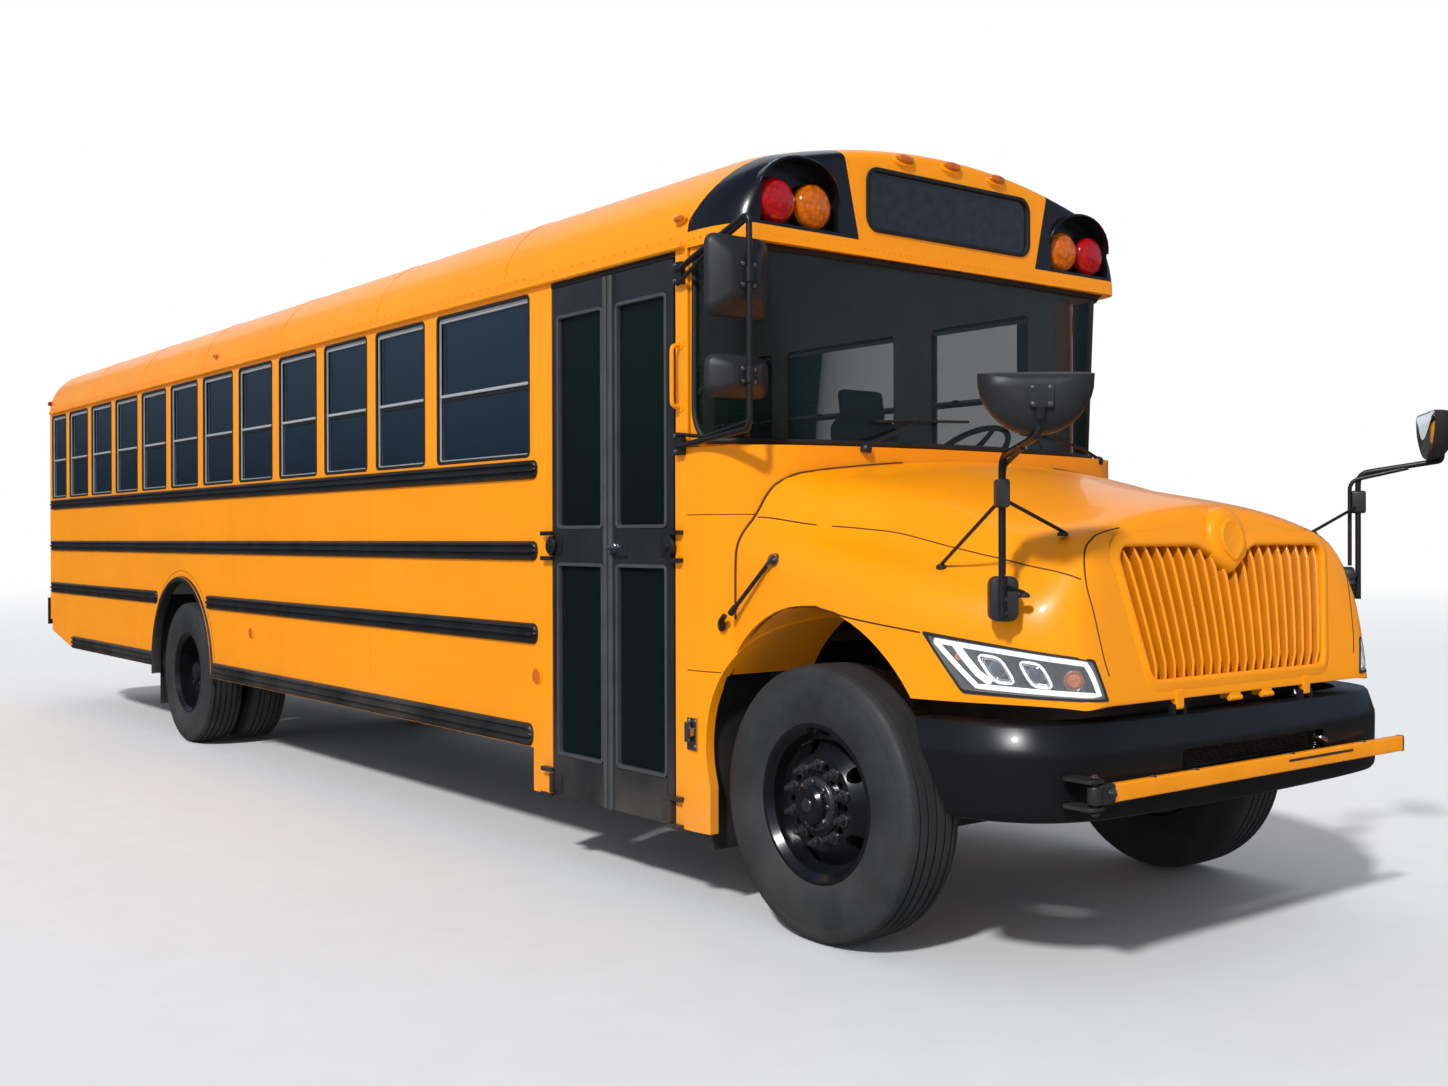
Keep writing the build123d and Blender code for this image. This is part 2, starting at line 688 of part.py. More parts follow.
def bumper_outline():
    inset = bumper_plate
    with BuildLine() as line:
        ThreePointArc(
            (-bumper_knee_x, bumper_knee_y),
            (0, bumper_front_y),
            (bumper_knee_x, bumper_knee_y),
        )
        ThreePointArc(
            (bumper_knee_x, bumper_knee_y),
            (1108, front_axle_y - 905),
            (bumper_end_x, bumper_end_y),
        )
        Line((bumper_end_x, bumper_end_y), (bumper_end_x - inset, bumper_end_y))
        ThreePointArc(
            (bumper_end_x - inset, bumper_end_y),
            (1108 - inset * 0.8, front_axle_y - 905 + inset * 0.6),
            (bumper_knee_x - 6, bumper_knee_y + inset),
        )
        ThreePointArc(
            (bumper_knee_x - 6, bumper_knee_y + inset),
            (0, bumper_front_y + inset),
            (-bumper_knee_x + 6, bumper_knee_y + inset),
        )
        ThreePointArc(
            (-bumper_knee_x + 6, bumper_knee_y + inset),
            (-1108 + inset * 0.8, front_axle_y - 905 + inset * 0.6),
            (-bumper_end_x + inset, bumper_end_y),
        )
        Line((-bumper_end_x + inset, bumper_end_y), (-bumper_end_x, bumper_end_y))
        ThreePointArc(
            (-bumper_end_x, bumper_end_y),
            (-1108, front_axle_y - 905),
            (-bumper_knee_x, bumper_knee_y),
        )
    return line.line


with BuildPart() as front_bumper:
    with BuildSketch(Plane.XY.offset(bumper_bottom_z)):
        add(bumper_outline())
        make_face()
    extrude(amount=bumper_top_z - bumper_bottom_z)
    with BuildSketch(sideways(-bumper_end_x - 10)):
        with BuildLine():
            Polyline(
                (bumper_end_y, bumper_top_z),
                (bumper_end_y - bumper_undercut, bumper_bottom_z),
                (bumper_end_y + 100, bumper_bottom_z),
                (bumper_end_y + 100, bumper_top_z),
                close=True,
            )
        make_face()
    extrude(amount=2 * bumper_end_x + 20, mode=Mode.SUBTRACT)
    # Brackets that bolt the bumper to the ends of the frame rails
    bracket_front_y = bumper_front_y + bumper_plate
    for side in (-1, 1):
        with Locations((side * (rail_outer_x - 30), (bracket_front_y + rail_front_y) / 2, 780)):
            Box(60, rail_front_y - bracket_front_y, 160)
        for edge in (-1, 1):
            lug_x = side * hood_pivot_x + edge * (hood_knuckle_width / 2 + seat_gap + 6)
            with Locations((lug_x, hood_pivot_y, (hood_pivot_z + 850) / 2)):
                Box(12, 2 * hood_pivot_radius, hood_pivot_z - 850)
            with Locations((lug_x, hood_pivot_y, hood_pivot_z)):
                Cylinder(hood_pivot_radius, 12, rotation=(0, 90, 0))
        lug_foot_width = hood_knuckle_width + 24 + 2 * seat_gap
        with Locations((side * hood_pivot_x, hood_pivot_y, 855)):
            Box(lug_foot_width, 2 * hood_pivot_radius, 20)
    for end in (-1, 1):
        lug_z = arm_z + end * (arm_height / 2 + seat_gap + 9)
        with Locations((arm_hinge_x, (arm_hinge_y - 20 + front_axle_y - 1005) / 2, lug_z)):
            Box(46, front_axle_y - 1005 - arm_hinge_y + 20, 18)
save(front_bumper, "front_bumper")

# Crossing arm across the bumper, on an upright hinge at the kerb end
with BuildPart() as crossing_arm:
    with Locations(((arm_hinge_x + arm_reach) / 2, arm_hinge_y, arm_z)):
        Box(arm_reach - arm_hinge_x, arm_depth, arm_height)
    with Locations((arm_hinge_x, arm_hinge_y, arm_z)):
        Cylinder(arm_barrel_radius, arm_height)
save(crossing_arm, "crossing_arm")

# Rear bumper: a plain channel across the tail
rear_bumper_top_z = 960
rear_bumper_height = 250
rear_bumper_depth = 50
with BuildPart() as rear_bumper:
    with BuildSketch(Plane.XY.offset(rear_bumper_top_z - rear_bumper_height)):
        with Locations((0, body_rear_y + rear_bumper_depth / 2)):
            Rectangle(2 * body_half + 20, rear_bumper_depth)
    extrude(amount=rear_bumper_height)
    fillet(rear_bumper.edges().filter_by(Axis.Z).group_by(Axis.Y)[-1], 40)
save(rear_bumper, "rear_bumper")


# Hood and fenders: one hollow shell through few sections
hood_skin = 14
hood_gap = 12
hood_lean = 8.6
# Columns: y, lean, half width, lowest z, side top z, shoulder x, z, crown edge x, z, top z
hood_sections = [
    (front_axle_y + 420, 0, body_half - 51, 1000, 1390, body_half - 124, 1560, body_half - 209, 1760, 1852),
    (front_axle_y, 0, body_half - 31, 980, 1340, body_half - 184, 1515, body_half - 304, 1690, 1795),
    (front_axle_y - 450, 0, body_half - 54, 960, 1230, body_half - 269, 1430, body_half - 419, 1600, 1718),
    (front_axle_y - 880, 0, 972, 955, 1120, 880, 1355, 770, 1522, 1642),
    (front_axle_y - 1212, hood_lean, 745, 950, 1050, 735, 1345, 690, 1496, 1580),
]


def hood_outline(row, inset):
    low, side_z, shoulder_x, shoulder_z, edge_x, edge_z, top_z = row[3:]
    half = row[2] - inset
    bottom = low - 20 if inset else low
    shoulder = (shoulder_x - inset, shoulder_z - inset)
    edge = (edge_x - inset, edge_z - inset)
    with BuildLine() as line:
        Line((0, bottom), (half, bottom))
        Line((half, bottom), (half, side_z))
        TangentArc((half, side_z), shoulder, tangent=(0, 1))
        Line(shoulder, edge)
        TangentArc((0, top_z - inset), edge, tangent=(1, 0))
        mirror(about=Plane.YZ)
    return line.line


def hood_plane(row, inset):
    # The last section leans back with the grille and carries the thickness of the face.
    y, lean = row[:2]
    face = inset if lean else 0
    tilt = radians(lean)
    return Plane(origin=(0, y + face, 0), x_dir=(1, 0, 0), z_dir=(0, -cos(tilt), sin(tilt)))


# Grille opening in the leaning face: half widths and heights along the face
grille_top = 1500
grille_bottom = 1030
grille_top_half = 645
grille_bottom_half = 532
grille_bars = 20
grille_ring = 18
grille_depth = 44
face_plane = hood_plane(hood_sections[-1], 0)
# Headlamp window seen from the side, and where it ends at the front
lamp_front_x = 770
lamp_outline = [
    (front_axle_y - 555, 1186),
    (front_axle_y - 1120, 1096),
    (front_axle_y - 1120, 964),
    (front_axle_y - 690, 992),
]
lamp_depth = 70
with BuildPart() as hood:
    for row in hood_sections:
        with BuildSketch(hood_plane(row, 0)):
            add(hood_outline(row, 0))
            make_face()
    loft()
    for row in hood_sections:
        with BuildSketch(hood_plane(row, hood_skin)):
            add(hood_outline(row, hood_skin))
            make_face()
    loft(mode=Mode.SUBTRACT)
    with BuildSketch(face_plane.offset(20)):
        with BuildLine():
            Polyline(
                (-grille_top_half, grille_top),
                (grille_top_half, grille_top),
                (grille_bottom_half, grille_bottom),
                (-grille_bottom_half, grille_bottom),
                close=True,
            )
        make_face()
    extrude(amount=-120, mode=Mode.SUBTRACT)
    with BuildSketch(sideways(-body_half)):
        with BuildLine():
            Polyline(*lamp_outline, close=True)
        make_face()
    extrude(amount=body_half - lamp_front_x, mode=Mode.SUBTRACT)
    with BuildSketch(sideways(lamp_front_x)):
        with BuildLine():
            Polyline(*lamp_outline, close=True)
        make_face()
    extrude(amount=body_half - lamp_front_x, mode=Mode.SUBTRACT)
    with BuildSketch(sideways(-body_half)):
        with Locations((front_axle_y, front_arch_z)):
            Circle(front_arch_radius)
    extrude(amount=2 * body_half, mode=Mode.SUBTRACT)
    with BuildSketch(Plane.XY.offset(cowl_bottom_z)):
        add(cowl_outline(-hood_gap, post_rear_y))
        make_face()
    extrude(amount=roof_top_z, mode=Mode.SUBTRACT)
    # Knuckles low behind the face, on the pivot
    for side in (-1, 1):
        with Locations((side * hood_pivot_x, hood_pivot_y, hood_pivot_z)):
            Cylinder(hood_pivot_radius, hood_knuckle_width, rotation=(0, 90, 0))
        with Locations((side * hood_pivot_x, hood_pivot_y, hood_pivot_z + 30)):
            Box(hood_knuckle_width, 2 * hood_pivot_radius, 60)
save(hood, "hood")

# Headlamps fill their windows in the hood
with BuildPart() as headlamps:
    for row in hood_sections:
        with BuildSketch(hood_plane(row, 0)):
            add(hood_outline(row, 0))
            make_face()
    loft()
    for row in hood_sections:
        with BuildSketch(hood_plane(row, lamp_depth)):
            add(hood_outline(row, lamp_depth))
            make_face()
    loft(mode=Mode.SUBTRACT)
    with BuildSketch(sideways(-body_half)):
        with BuildLine():
            Polyline(*lamp_outline, close=True)
        make_face()
    extrude(amount=2 * body_half, mode=Mode.INTERSECT)
    with Locations((0, front_axle_y - 800, 1000)):
        Box(2 * lamp_front_x, 1200, 900, mode=Mode.SUBTRACT)
save(headlamps, "headlamps")

# Grille: upright bars that draw together towards the bottom, in a ring
with BuildPart() as grille:
    with BuildSketch(face_plane):
        with BuildLine():
            Polyline(
                (-grille_top_half, grille_top),
                (grille_top_half, grille_top),
                (grille_bottom_half, grille_bottom),
                (-grille_bottom_half, grille_bottom),
                close=True,
            )
        make_face()
        with BuildLine():
            Polyline(
                (-grille_top_half + grille_ring, grille_top - grille_ring),
                (grille_top_half - grille_ring, grille_top - grille_ring),
                (grille_bottom_half - grille_ring, grille_bottom + grille_ring),
                (-grille_bottom_half + grille_ring, grille_bottom + grille_ring),
                close=True,
            )
        make_face(mode=Mode.SUBTRACT)
        for bar in range(grille_bars):
            share = (bar + 0.5) / grille_bars * 2 - 1
            top_x = share * (grille_top_half - grille_ring)
            foot_x = share * (grille_bottom_half - grille_ring)
            with BuildLine():
                Polyline(
                    (top_x - 12, grille_top - grille_ring),
                    (top_x + 12, grille_top - grille_ring),
                    (foot_x + 10, grille_bottom + grille_ring),
                    (foot_x - 10, grille_bottom + grille_ring),
                    close=True,
                )
            make_face()
    extrude(amount=-grille_depth)
save(grille, "grille")


# Tubes of the mirrors: straight runs with rounded corners
def tube(points, radius, bend):
    with BuildPart() as run:
        with BuildLine() as path:
            if len(points) > 2:
                FilletPolyline(*points, radius=bend)
            else:
                Line(*points)
        with BuildSketch(Plane(origin=path.line @ 0, z_dir=path.line % 0)):
            Circle(radius)
        sweep()
    return run.part


# Side mirrors: two heads on an upright tube that two arms carry from a post
mirror_tube_radius = 13
mirror_depth = 90
flat_head_height = 320
convex_head_height = 165
flat_head_z = 2520
convex_head_z = 2135
mirror_low_z = 1915
mirror_high_z = 2770
mirror_bracket = 24
# Columns: side, x of the tube, y of the tube, width of the heads, y of the brackets
mirror_table = [
    (-1, 1240, front_axle_y + 260, 300, post_front_y + 34),
    (1, 1345, front_axle_y + 1010, 150, post_front_y + 45),
]
with BuildPart() as side_mirrors:
    for side, mirror_x, mirror_y, head_width, root_y in mirror_table:
        root_x = body_half + seat_gap + mirror_bracket
        upper_z = 2600
        lower_z = mirror_low_z - 30
        add(
            tube(
                [
                    (side * (root_x - 4), root_y, upper_z),
                    (side * (root_x + 24), (root_y + mirror_y) / 2, upper_z + 40),
                    (side * mirror_x, mirror_y, mirror_high_z),
                    (side * mirror_x, mirror_y, mirror_low_z),
                    (side * (root_x - 4), root_y, lower_z),
                ],
                mirror_tube_radius,
                18,
            )
        )
        for height, centre_z in ((flat_head_height, flat_head_z), (convex_head_height, convex_head_z)):
            with BuildSketch(Plane.XY.offset(centre_z - height / 2)):
                with Locations((side * mirror_x, mirror_y + mirror_depth / 2)):
                    RectangleRounded(head_width, mirror_depth, 30)
            extrude(amount=height)
        for bracket_z in (upper_z, lower_z):
            with Locations((side * (root_x - mirror_bracket / 2), root_y, bracket_z)):
                Box(mirror_bracket, 60, 90)
save(side_mirrors, "side_mirrors")

# Cross-view mirrors: half-moon shells turned to the driver, high on bent stalks
stalk_x = -1110
stalk_y = front_axle_y - 886
stalk_low_z = 1250
stalk_bend_z = 1766
stalk_radius = 11
shell_turn = 38
shell_half_width = 182
shell_top_z = 2096
shell_bottom_z = 1893
shell_depth = 90
plate_point = (-1277, front_axle_y - 1190)
shell_plane = Plane(
    origin=(plate_point[0], plate_point[1], 0),
    x_dir=(cos(radians(shell_turn)), -sin(radians(shell_turn)), 0),
    z_dir=(-sin(radians(shell_turn)), -cos(radians(shell_turn)), 0),
)
with BuildPart() as cross_view_mirrors:
    add(
        tube(
            [
                (stalk_x, stalk_y, stalk_low_z),
                (stalk_x, stalk_y, stalk_bend_z),
                (plate_point[0], plate_point[1], stalk_bend_z + 40),
                (plate_point[0], plate_point[1], shell_bottom_z + 60),
            ],
            stalk_radius,
            30,
        )
    )
    with BuildSketch(shell_plane.offset(-shell_depth)):
        with BuildLine():
            Line((-shell_half_width, shell_top_z), (shell_half_width, shell_top_z))
            ThreePointArc(
                (shell_half_width, shell_top_z),
                (0, shell_bottom_z),
                (-shell_half_width, shell_top_z),
            )
        make_face()
    extrude(amount=shell_depth, taper=20)
    with Locations((stalk_x + 40, stalk_y + 30, 1310)):
        Box(95, 50, 150)
    for foot in ((-1010, front_axle_y - 520, 1413), (-780, front_axle_y - 860, 1527)):
        add(tube([(stalk_x, stalk_y, 1640), foot], 7, 10))
    mirror(about=Plane.YZ)
save(cross_view_mirrors, "cross_view_mirrors")

# Front axle: a dropped beam with the spring pads on it
beam_drop_z = 400
spring_x = rail_outer_x - rail_flange / 2
with BuildPart() as front_axle:
    with BuildSketch(Plane.XZ.offset(-front_axle_y - 45)):
        with BuildLine():
            Polyline(
                (-kingpin_x, axle_z + 50),
                (-kingpin_x + 130, axle_z + 50),
                (-600, beam_drop_z + 45),
                (600, beam_drop_z + 45),
                (kingpin_x - 130, axle_z + 50),
                (kingpin_x, axle_z + 50),
                (kingpin_x, axle_z - 50),
                (kingpin_x - 130, axle_z - 50),
                (600, beam_drop_z - 45),
                (-600, beam_drop_z - 45),
                (-kingpin_x + 130, axle_z - 50),
                (-kingpin_x, axle_z - 50),
                close=True,
            )
        make_face()
    extrude(amount=90)
    for side in (-1, 1):
        with Locations((side * kingpin_x, front_axle_y, axle_z)):
            Cylinder(45, 100)
save(front_axle, "front_axle")

# Steering knuckles: a yoke above and below the beam's eye, and the spindle
spindle_radius = 38
for side, name in ((-1, "knuckle_right"), (1, "knuckle_left")):
    with BuildPart() as knuckle:
        for part_z in (axle_z + 74 + seat_gap, axle_z - 74 - seat_gap):
            with Locations((side * kingpin_x, front_axle_y, part_z)):
                Cylinder(46, 48)
            with Locations((side * (kingpin_x + 40), front_axle_y, part_z)):
                Box(80, 80, 48)
        with Locations((side * (kingpin_x + 68), front_axle_y, axle_z)):
            Box(32, 90, 200)
        with Locations((side * (kingpin_x + 130), front_axle_y, axle_z)):
            Cylinder(spindle_radius, 130, rotation=(0, 90, 0))
    save(knuckle, name)


# Tyre as one turned ring of few faces
def tyre_profile(centre_x):
    bead_x = bead_half_width
    wide_x = tyre_half_width
    with BuildLine() as line:
        Polyline(
            (centre_x - bead_x, bead_radius),
            (centre_x - wide_x, sidewall_radius),
            (centre_x - tread_half_width, tyre_radius),
            (centre_x + tread_half_width, tyre_radius),
            (centre_x + wide_x, sidewall_radius),
            (centre_x + bead_x, bead_radius),
            close=True,
        )
    return line.line


def wheel_plane(axle_y):
    # The wheel is drawn with its axle along local x at the axle's height.
    return Plane(origin=(0, axle_y, axle_z), x_dir=(1, 0, 0), z_dir=(0, -1, 0))


stud_circle = 285.75
stud_count = 10
stud_hole = 26.8
hand_holes = 5
rim_inner = 262
flange_radius = 300
flange_lip = 16
disc_thickness = 14
nave_radius = 178
hub_radius = 118
hub_cap_radius = 74


def rim_outline(centre_x):
    # The shell below the beads and the flange lips beside them.
    half = bead_half_width + seat_gap
    shell = bead_radius - seat_gap
    lip = half + (flange_radius - shell) * (tyre_half_width - bead_half_width) / (sidewall_radius - bead_radius)
    with BuildLine() as line:
        Polyline(
            (centre_x - half, shell),
            (centre_x + half, shell),
            (centre_x + lip, flange_radius),
            (centre_x + half + flange_lip, flange_radius),
            (centre_x + half + flange_lip, flange_radius - 14),
            (centre_x + half - 8, rim_inner),
            (centre_x - half + 8, rim_inner),
            (centre_x - half - flange_lip, flange_radius - 14),
            (centre_x - half - flange_lip, flange_radius),
            (centre_x - lip, flange_radius),
            close=True,
        )
    return line.line


def disc_outline(hub_x, shell_x):
    # A dished disc from the nave plate to the rim shell.
    with BuildLine() as line:
        Polyline(
            (hub_x, hub_radius - 10),
            (hub_x, nave_radius),
            (shell_x, 235),
            (shell_x, rim_inner + 4),
            (shell_x - disc_thickness, rim_inner + 4),
            (shell_x - disc_thickness, 228),
            (hub_x - disc_thickness, nave_radius - 6),
            (hub_x - disc_thickness, hub_radius - 10),
            close=True,
        )
    return line.line


def hub_outline(bore_start, bore_end, body_end, cap_end, bore):
    # A stepped hub with a blind bore for the spindle, and its cap.
    with BuildLine() as line:
        Polyline(
            (bore_start, bore),
            (bore_end, bore),
            (bore_end, 0),
            (cap_end, 0),
            (cap_end, hub_cap_radius - 12),
            (cap_end - 12, hub_cap_radius),
            (body_end, hub_cap_radius),
            (body_end, hub_radius),
            (bore_start, hub_radius),
            close=True,
        )
    return line.line


front_disc_x = front_track_half + 92
spindle_end = kingpin_x + 195
for side, name in ((-1, "right"), (1, "left")):
    with BuildPart() as front_tyre:
        with BuildSketch(wheel_plane(front_axle_y)):
            add(tyre_profile(side * front_track_half))
            make_face()
        revolve(axis=Axis((0, front_axle_y, axle_z), (1, 0, 0)))
    save(front_tyre, "front_tyre_" + name)
    with BuildPart() as front_rim:
        with BuildSketch(wheel_plane(front_axle_y)):
            add(rim_outline(front_track_half))
            make_face()
            add(disc_outline(front_disc_x, front_track_half + 40))
            make_face()
            bore_start = kingpin_x + 100
            bore_end = spindle_end + 1
            add(hub_outline(bore_start, bore_end, front_disc_x + 14, front_disc_x + 62, spindle_radius + seat_gap))
            make_face()
        revolve(axis=Axis((0, front_axle_y, axle_z), (1, 0, 0)))
        with BuildSketch(Plane(origin=(0, front_axle_y, axle_z), x_dir=(0, 1, 0), z_dir=(1, 0, 0))):
            with PolarLocations(stud_circle / 2, stud_count):
                Circle(stud_hole / 2)
            with PolarLocations(212, hand_holes):
                Circle(30)
        extrude(amount=2000, mode=Mode.SUBTRACT)
        if side < 0:
            mirrored = mirror(front_rim.part, about=Plane.YZ, mode=Mode.PRIVATE)
            add(mirrored, mode=Mode.REPLACE)
    save(front_rim, "front_rim_" + name)

# Rear axle: a tube with its differential, ending in the spindles of the twin wheels
axle_tube_radius = 62
axle_tube_end = 640
rear_spindle_radius = 48
rear_spindle_end = 905
with BuildPart() as rear_axle:
    with Locations((0, rear_axle_y, axle_z)):
        Cylinder(axle_tube_radius, 2 * axle_tube_end, rotation=(0, 90, 0))
        Cylinder(rear_spindle_radius, 2 * rear_spindle_end, rotation=(0, 90, 0))
        Sphere(195)
        with Locations((0, -190, 20)):
            Cylinder(75, 170, rotation=(90, 0, 0))
save(rear_axle, "rear_axle")

# Twin rear wheels. Each side's two tyres are one node and its rims and hub another
rear_disc_x = dual_outer_x - 100
for side, name in ((-1, "right"), (1, "left")):
    with BuildPart() as rear_tyres:
        with BuildSketch(wheel_plane(rear_axle_y)):
            for centre_x in (dual_inner_x, dual_outer_x):
                add(tyre_profile(side * centre_x))
                make_face()
        revolve(axis=Axis((0, rear_axle_y, axle_z), (1, 0, 0)))
    save(rear_tyres, "rear_tyres_" + name)
    with BuildPart() as rear_rims:
        with BuildSketch(wheel_plane(rear_axle_y)):
            for centre_x in (dual_inner_x, dual_outer_x):
                add(rim_outline(centre_x))
                make_face()
            add(disc_outline(rear_disc_x, dual_outer_x - 40))
            make_face()
            add(disc_outline(rear_disc_x - disc_thickness, dual_inner_x + 60))
            make_face()
            bore_start = axle_tube_end + 30
            bore_end = rear_spindle_end + 1
            add(hub_outline(bore_start, bore_end, rear_disc_x + 20, dual_outer_x + 60, rear_spindle_radius + seat_gap))
            make_face()
        revolve(axis=Axis((0, rear_axle_y, axle_z), (1, 0, 0)))
        with BuildSketch(Plane(origin=(0, rear_axle_y, axle_z), x_dir=(0, 1, 0), z_dir=(1, 0, 0))):
            with PolarLocations(stud_circle / 2, stud_count):
                Circle(stud_hole / 2)
            with PolarLocations(212, hand_holes):
                Circle(30)
        extrude(amount=2000, mode=Mode.SUBTRACT)
        if side < 0:
            mirrored = mirror(rear_rims.part, about=Plane.YZ, mode=Mode.PRIVATE)
            add(mirrored, mode=Mode.REPLACE)
    save(rear_rims, "rear_rims_" + name)

# Leaf springs: bowed packs under the rails, seated on the axles
spring_width = 76
# Columns: axle y, half length, z of the ends, top of the axle pad
spring_table = [
    (front_axle_y, 620, rail_bottom_z, beam_drop_z + 45),
    (rear_axle_y, 720, rail_bottom_z, axle_z + axle_tube_radius),
]
with BuildPart() as leaf_springs:
    for spring_axle_y, half_length, end_z, pad_z in spring_table:
        for side in (-1, 1):
            with BuildSketch(sideways(side * spring_x - spring_width / 2)):
                with BuildLine():
                    low = pad_z
                    eye = end_z - 60
                    ThreePointArc(
                        (spring_axle_y - half_length, eye),
                        (spring_axle_y, low),
                        (spring_axle_y + half_length, eye),
                    )
                    Line((spring_axle_y + half_length, eye), (spring_axle_y + half_length, eye + 14))
                    ThreePointArc(
                        (spring_axle_y + half_length, eye + 14),
                        (spring_axle_y, low + 80),
                        (spring_axle_y - half_length, eye + 14),
                    )
                    Line((spring_axle_y - half_length, eye + 14), (spring_axle_y - half_length, eye))
                make_face()
            extrude(amount=spring_width)
            for end in (-1, 1):
                with Locations((side * spring_x, spring_axle_y + end * half_length, (end_z + eye - 10) / 2)):
                    Box(spring_width, 40, end_z - eye + 10)
save(leaf_springs, "leaf_springs")

# Engine and gearbox as one plain block between the rails, at its real size
engine_front_y = front_axle_y - 820
engine_rear_y = front_axle_y + 560
with BuildPart() as engine_block:
    with Locations((0, (engine_front_y + front_axle_y + 160) / 2, 1080)):
        Box(680, front_axle_y + 160 - engine_front_y, 740)
    with Locations((0, (front_axle_y + 160 + engine_rear_y + 500) / 2, 860)):
        Box(420, engine_rear_y + 500 - front_axle_y - 160, 380)
save(engine_block, "engine_block")

# Propeller shaft from the gearbox back to the differential
shaft_radius = 50
shaft_front_y = engine_rear_y + 500 + 2.6
shaft_rear_y = rear_axle_y - 275 - 2.6
with BuildPart() as driveshaft:
    add(tube([(0, shaft_front_y, 800), (0, shaft_rear_y, axle_z + 20)], shaft_radius, 0))
save(driveshaft, "driveshaft")

# Fuel tank in its cage between the rails, ahead of the rear axle
tank_y = front_axle_y + 4700
tank_length = 1250
tank_z = 740
tank_width = 560
tank_x = inner_half - 139 - tank_width / 2
tank_inner_x = tank_x - tank_width / 2
with BuildPart() as fuel_tank:
    with BuildSketch(Plane.XZ.offset(-(tank_y + tank_length / 2))):
        with Locations((tank_x, tank_z)):
            RectangleRounded(tank_width, 400, 60)
    extrude(amount=tank_length)
    for strap in (-0.3, 0.3):
        with Locations(((tank_inner_x + rail_outer_x) / 2, tank_y + strap * tank_length, tank_z + 60)):
            Box(tank_inner_x - rail_outer_x, 80, 180)
save(fuel_tank, "fuel_tank")

# Exhaust: a silencer beside the right rail and a pipe back under the floor
silencer_y = front_axle_y + 3300
exhaust_x = -590
exhaust_z = 812
pipe_radius = 50
with BuildPart() as exhaust:
    with Locations((exhaust_x, silencer_y, exhaust_z)):
        Cylinder(135, 1100, rotation=(90, 0, 0))
    add(tube([(exhaust_x, silencer_y + 500, exhaust_z), (exhaust_x, rear_axle_y - 760, exhaust_z)], pipe_radius, 0))
    for offset_y in (-350, 350):
        with Locations(((exhaust_x + 100 - rail_outer_x) / 2, silencer_y + offset_y, exhaust_z)):
            Box(-exhaust_x - 100 - rail_outer_x, 40, 60)
save(exhaust, "exhaust")

# Passenger benches: one row of benches each side of the aisle
bench_pitch = 720
bench_rows = 12
first_bench_y = front_axle_y + 2350
bench_width = 960
bench_seat_top = floor_z + 430
bench_back_top = floor_z + 960
bench_depth = 430
bench_x = inner_half - 12 - bench_width / 2
for side, name in ((-1, "right"), (1, "left")):
    with BuildPart() as benches:
        with BuildSketch(sideways(side * bench_x - bench_width / 2)):
            for row in range(bench_rows):
                y = first_bench_y + row * bench_pitch
                with BuildLine():
                    Polyline(
                        (y, bench_seat_top - 110),
                        (y, bench_seat_top),
                        (y + bench_depth - 70, bench_seat_top - 20),
                        (y + bench_depth + 10, bench_back_top),
                        (y + bench_depth + 80, bench_back_top),
                        (y + bench_depth + 30, bench_seat_top - 110),
                        close=True,
                    )
                make_face()
        extrude(amount=bench_width)
        for row in range(bench_rows):
            y = first_bench_y + row * bench_pitch
            foot_z = floor_z
            leg_height = bench_seat_top - 110 - foot_z
            for leg_y in (y + 50, y + bench_depth - 30):
                with Locations((side * (bench_x - bench_width / 2 + 60), leg_y, foot_z + leg_height / 2)):
                    Box(40, 40, leg_height)
    save(benches, "benches_" + name)

# Driver's seat on its pedestal
driver_x = 560
driver_y = front_axle_y + 1250
with BuildPart() as driver_seat:
    with BuildSketch(sideways(driver_x - 240)):
        with BuildLine():
            Polyline(
                (driver_y - 250, floor_z + 420),
                (driver_y - 250, floor_z + 520),
                (driver_y + 150, floor_z + 490),
                (driver_y + 260, floor_z + 1180),
                (driver_y + 350, floor_z + 1170),
                (driver_y + 280, floor_z + 400),
                close=True,
            )
        make_face()
    extrude(amount=480)
    with Locations((driver_x, driver_y, floor_z + 205)):
        Box(320, 360, 410)
save(driver_seat, "driver_seat")

# Dashboard across the cowl with the steering column and wheel
dash_front_y = front_axle_y + 430
dash_rear_y = front_axle_y + 660
dash_half = body_half - 74
wheel_centre = (driver_x, front_axle_y + 800, floor_z + 790)
wheel_lean = 35
with BuildPart() as dashboard:
    with BuildSketch(sideways(-dash_half)):
        with BuildLine():
            Polyline(
                (dash_front_y, 1290),
                (dash_front_y, sill_z - 70),
                (dash_rear_y - 60, sill_z - 70),
                (dash_rear_y, sill_z - 170),
                (dash_rear_y - 40, 1500),
                (dash_rear_y - 160, 1290),
                close=True,
            )
        make_face()
    extrude(amount=2 * dash_half)
    column_plane = Plane(
        origin=wheel_centre,
        x_dir=(1, 0, 0),
        z_dir=(0, sin(radians(wheel_lean)), cos(radians(wheel_lean))),
    )
    with BuildSketch(column_plane.offset(-12)):
        Circle(228)
        Circle(200, mode=Mode.SUBTRACT)
        Rectangle(410, 50)
        Circle(60)
    extrude(amount=24)
    with BuildSketch(column_plane.offset(-12)):
        Circle(35)
    extrude(amount=-260)
save(dashboard, "dashboard")

# Mud flaps behind the wheels
flap_thickness = 10
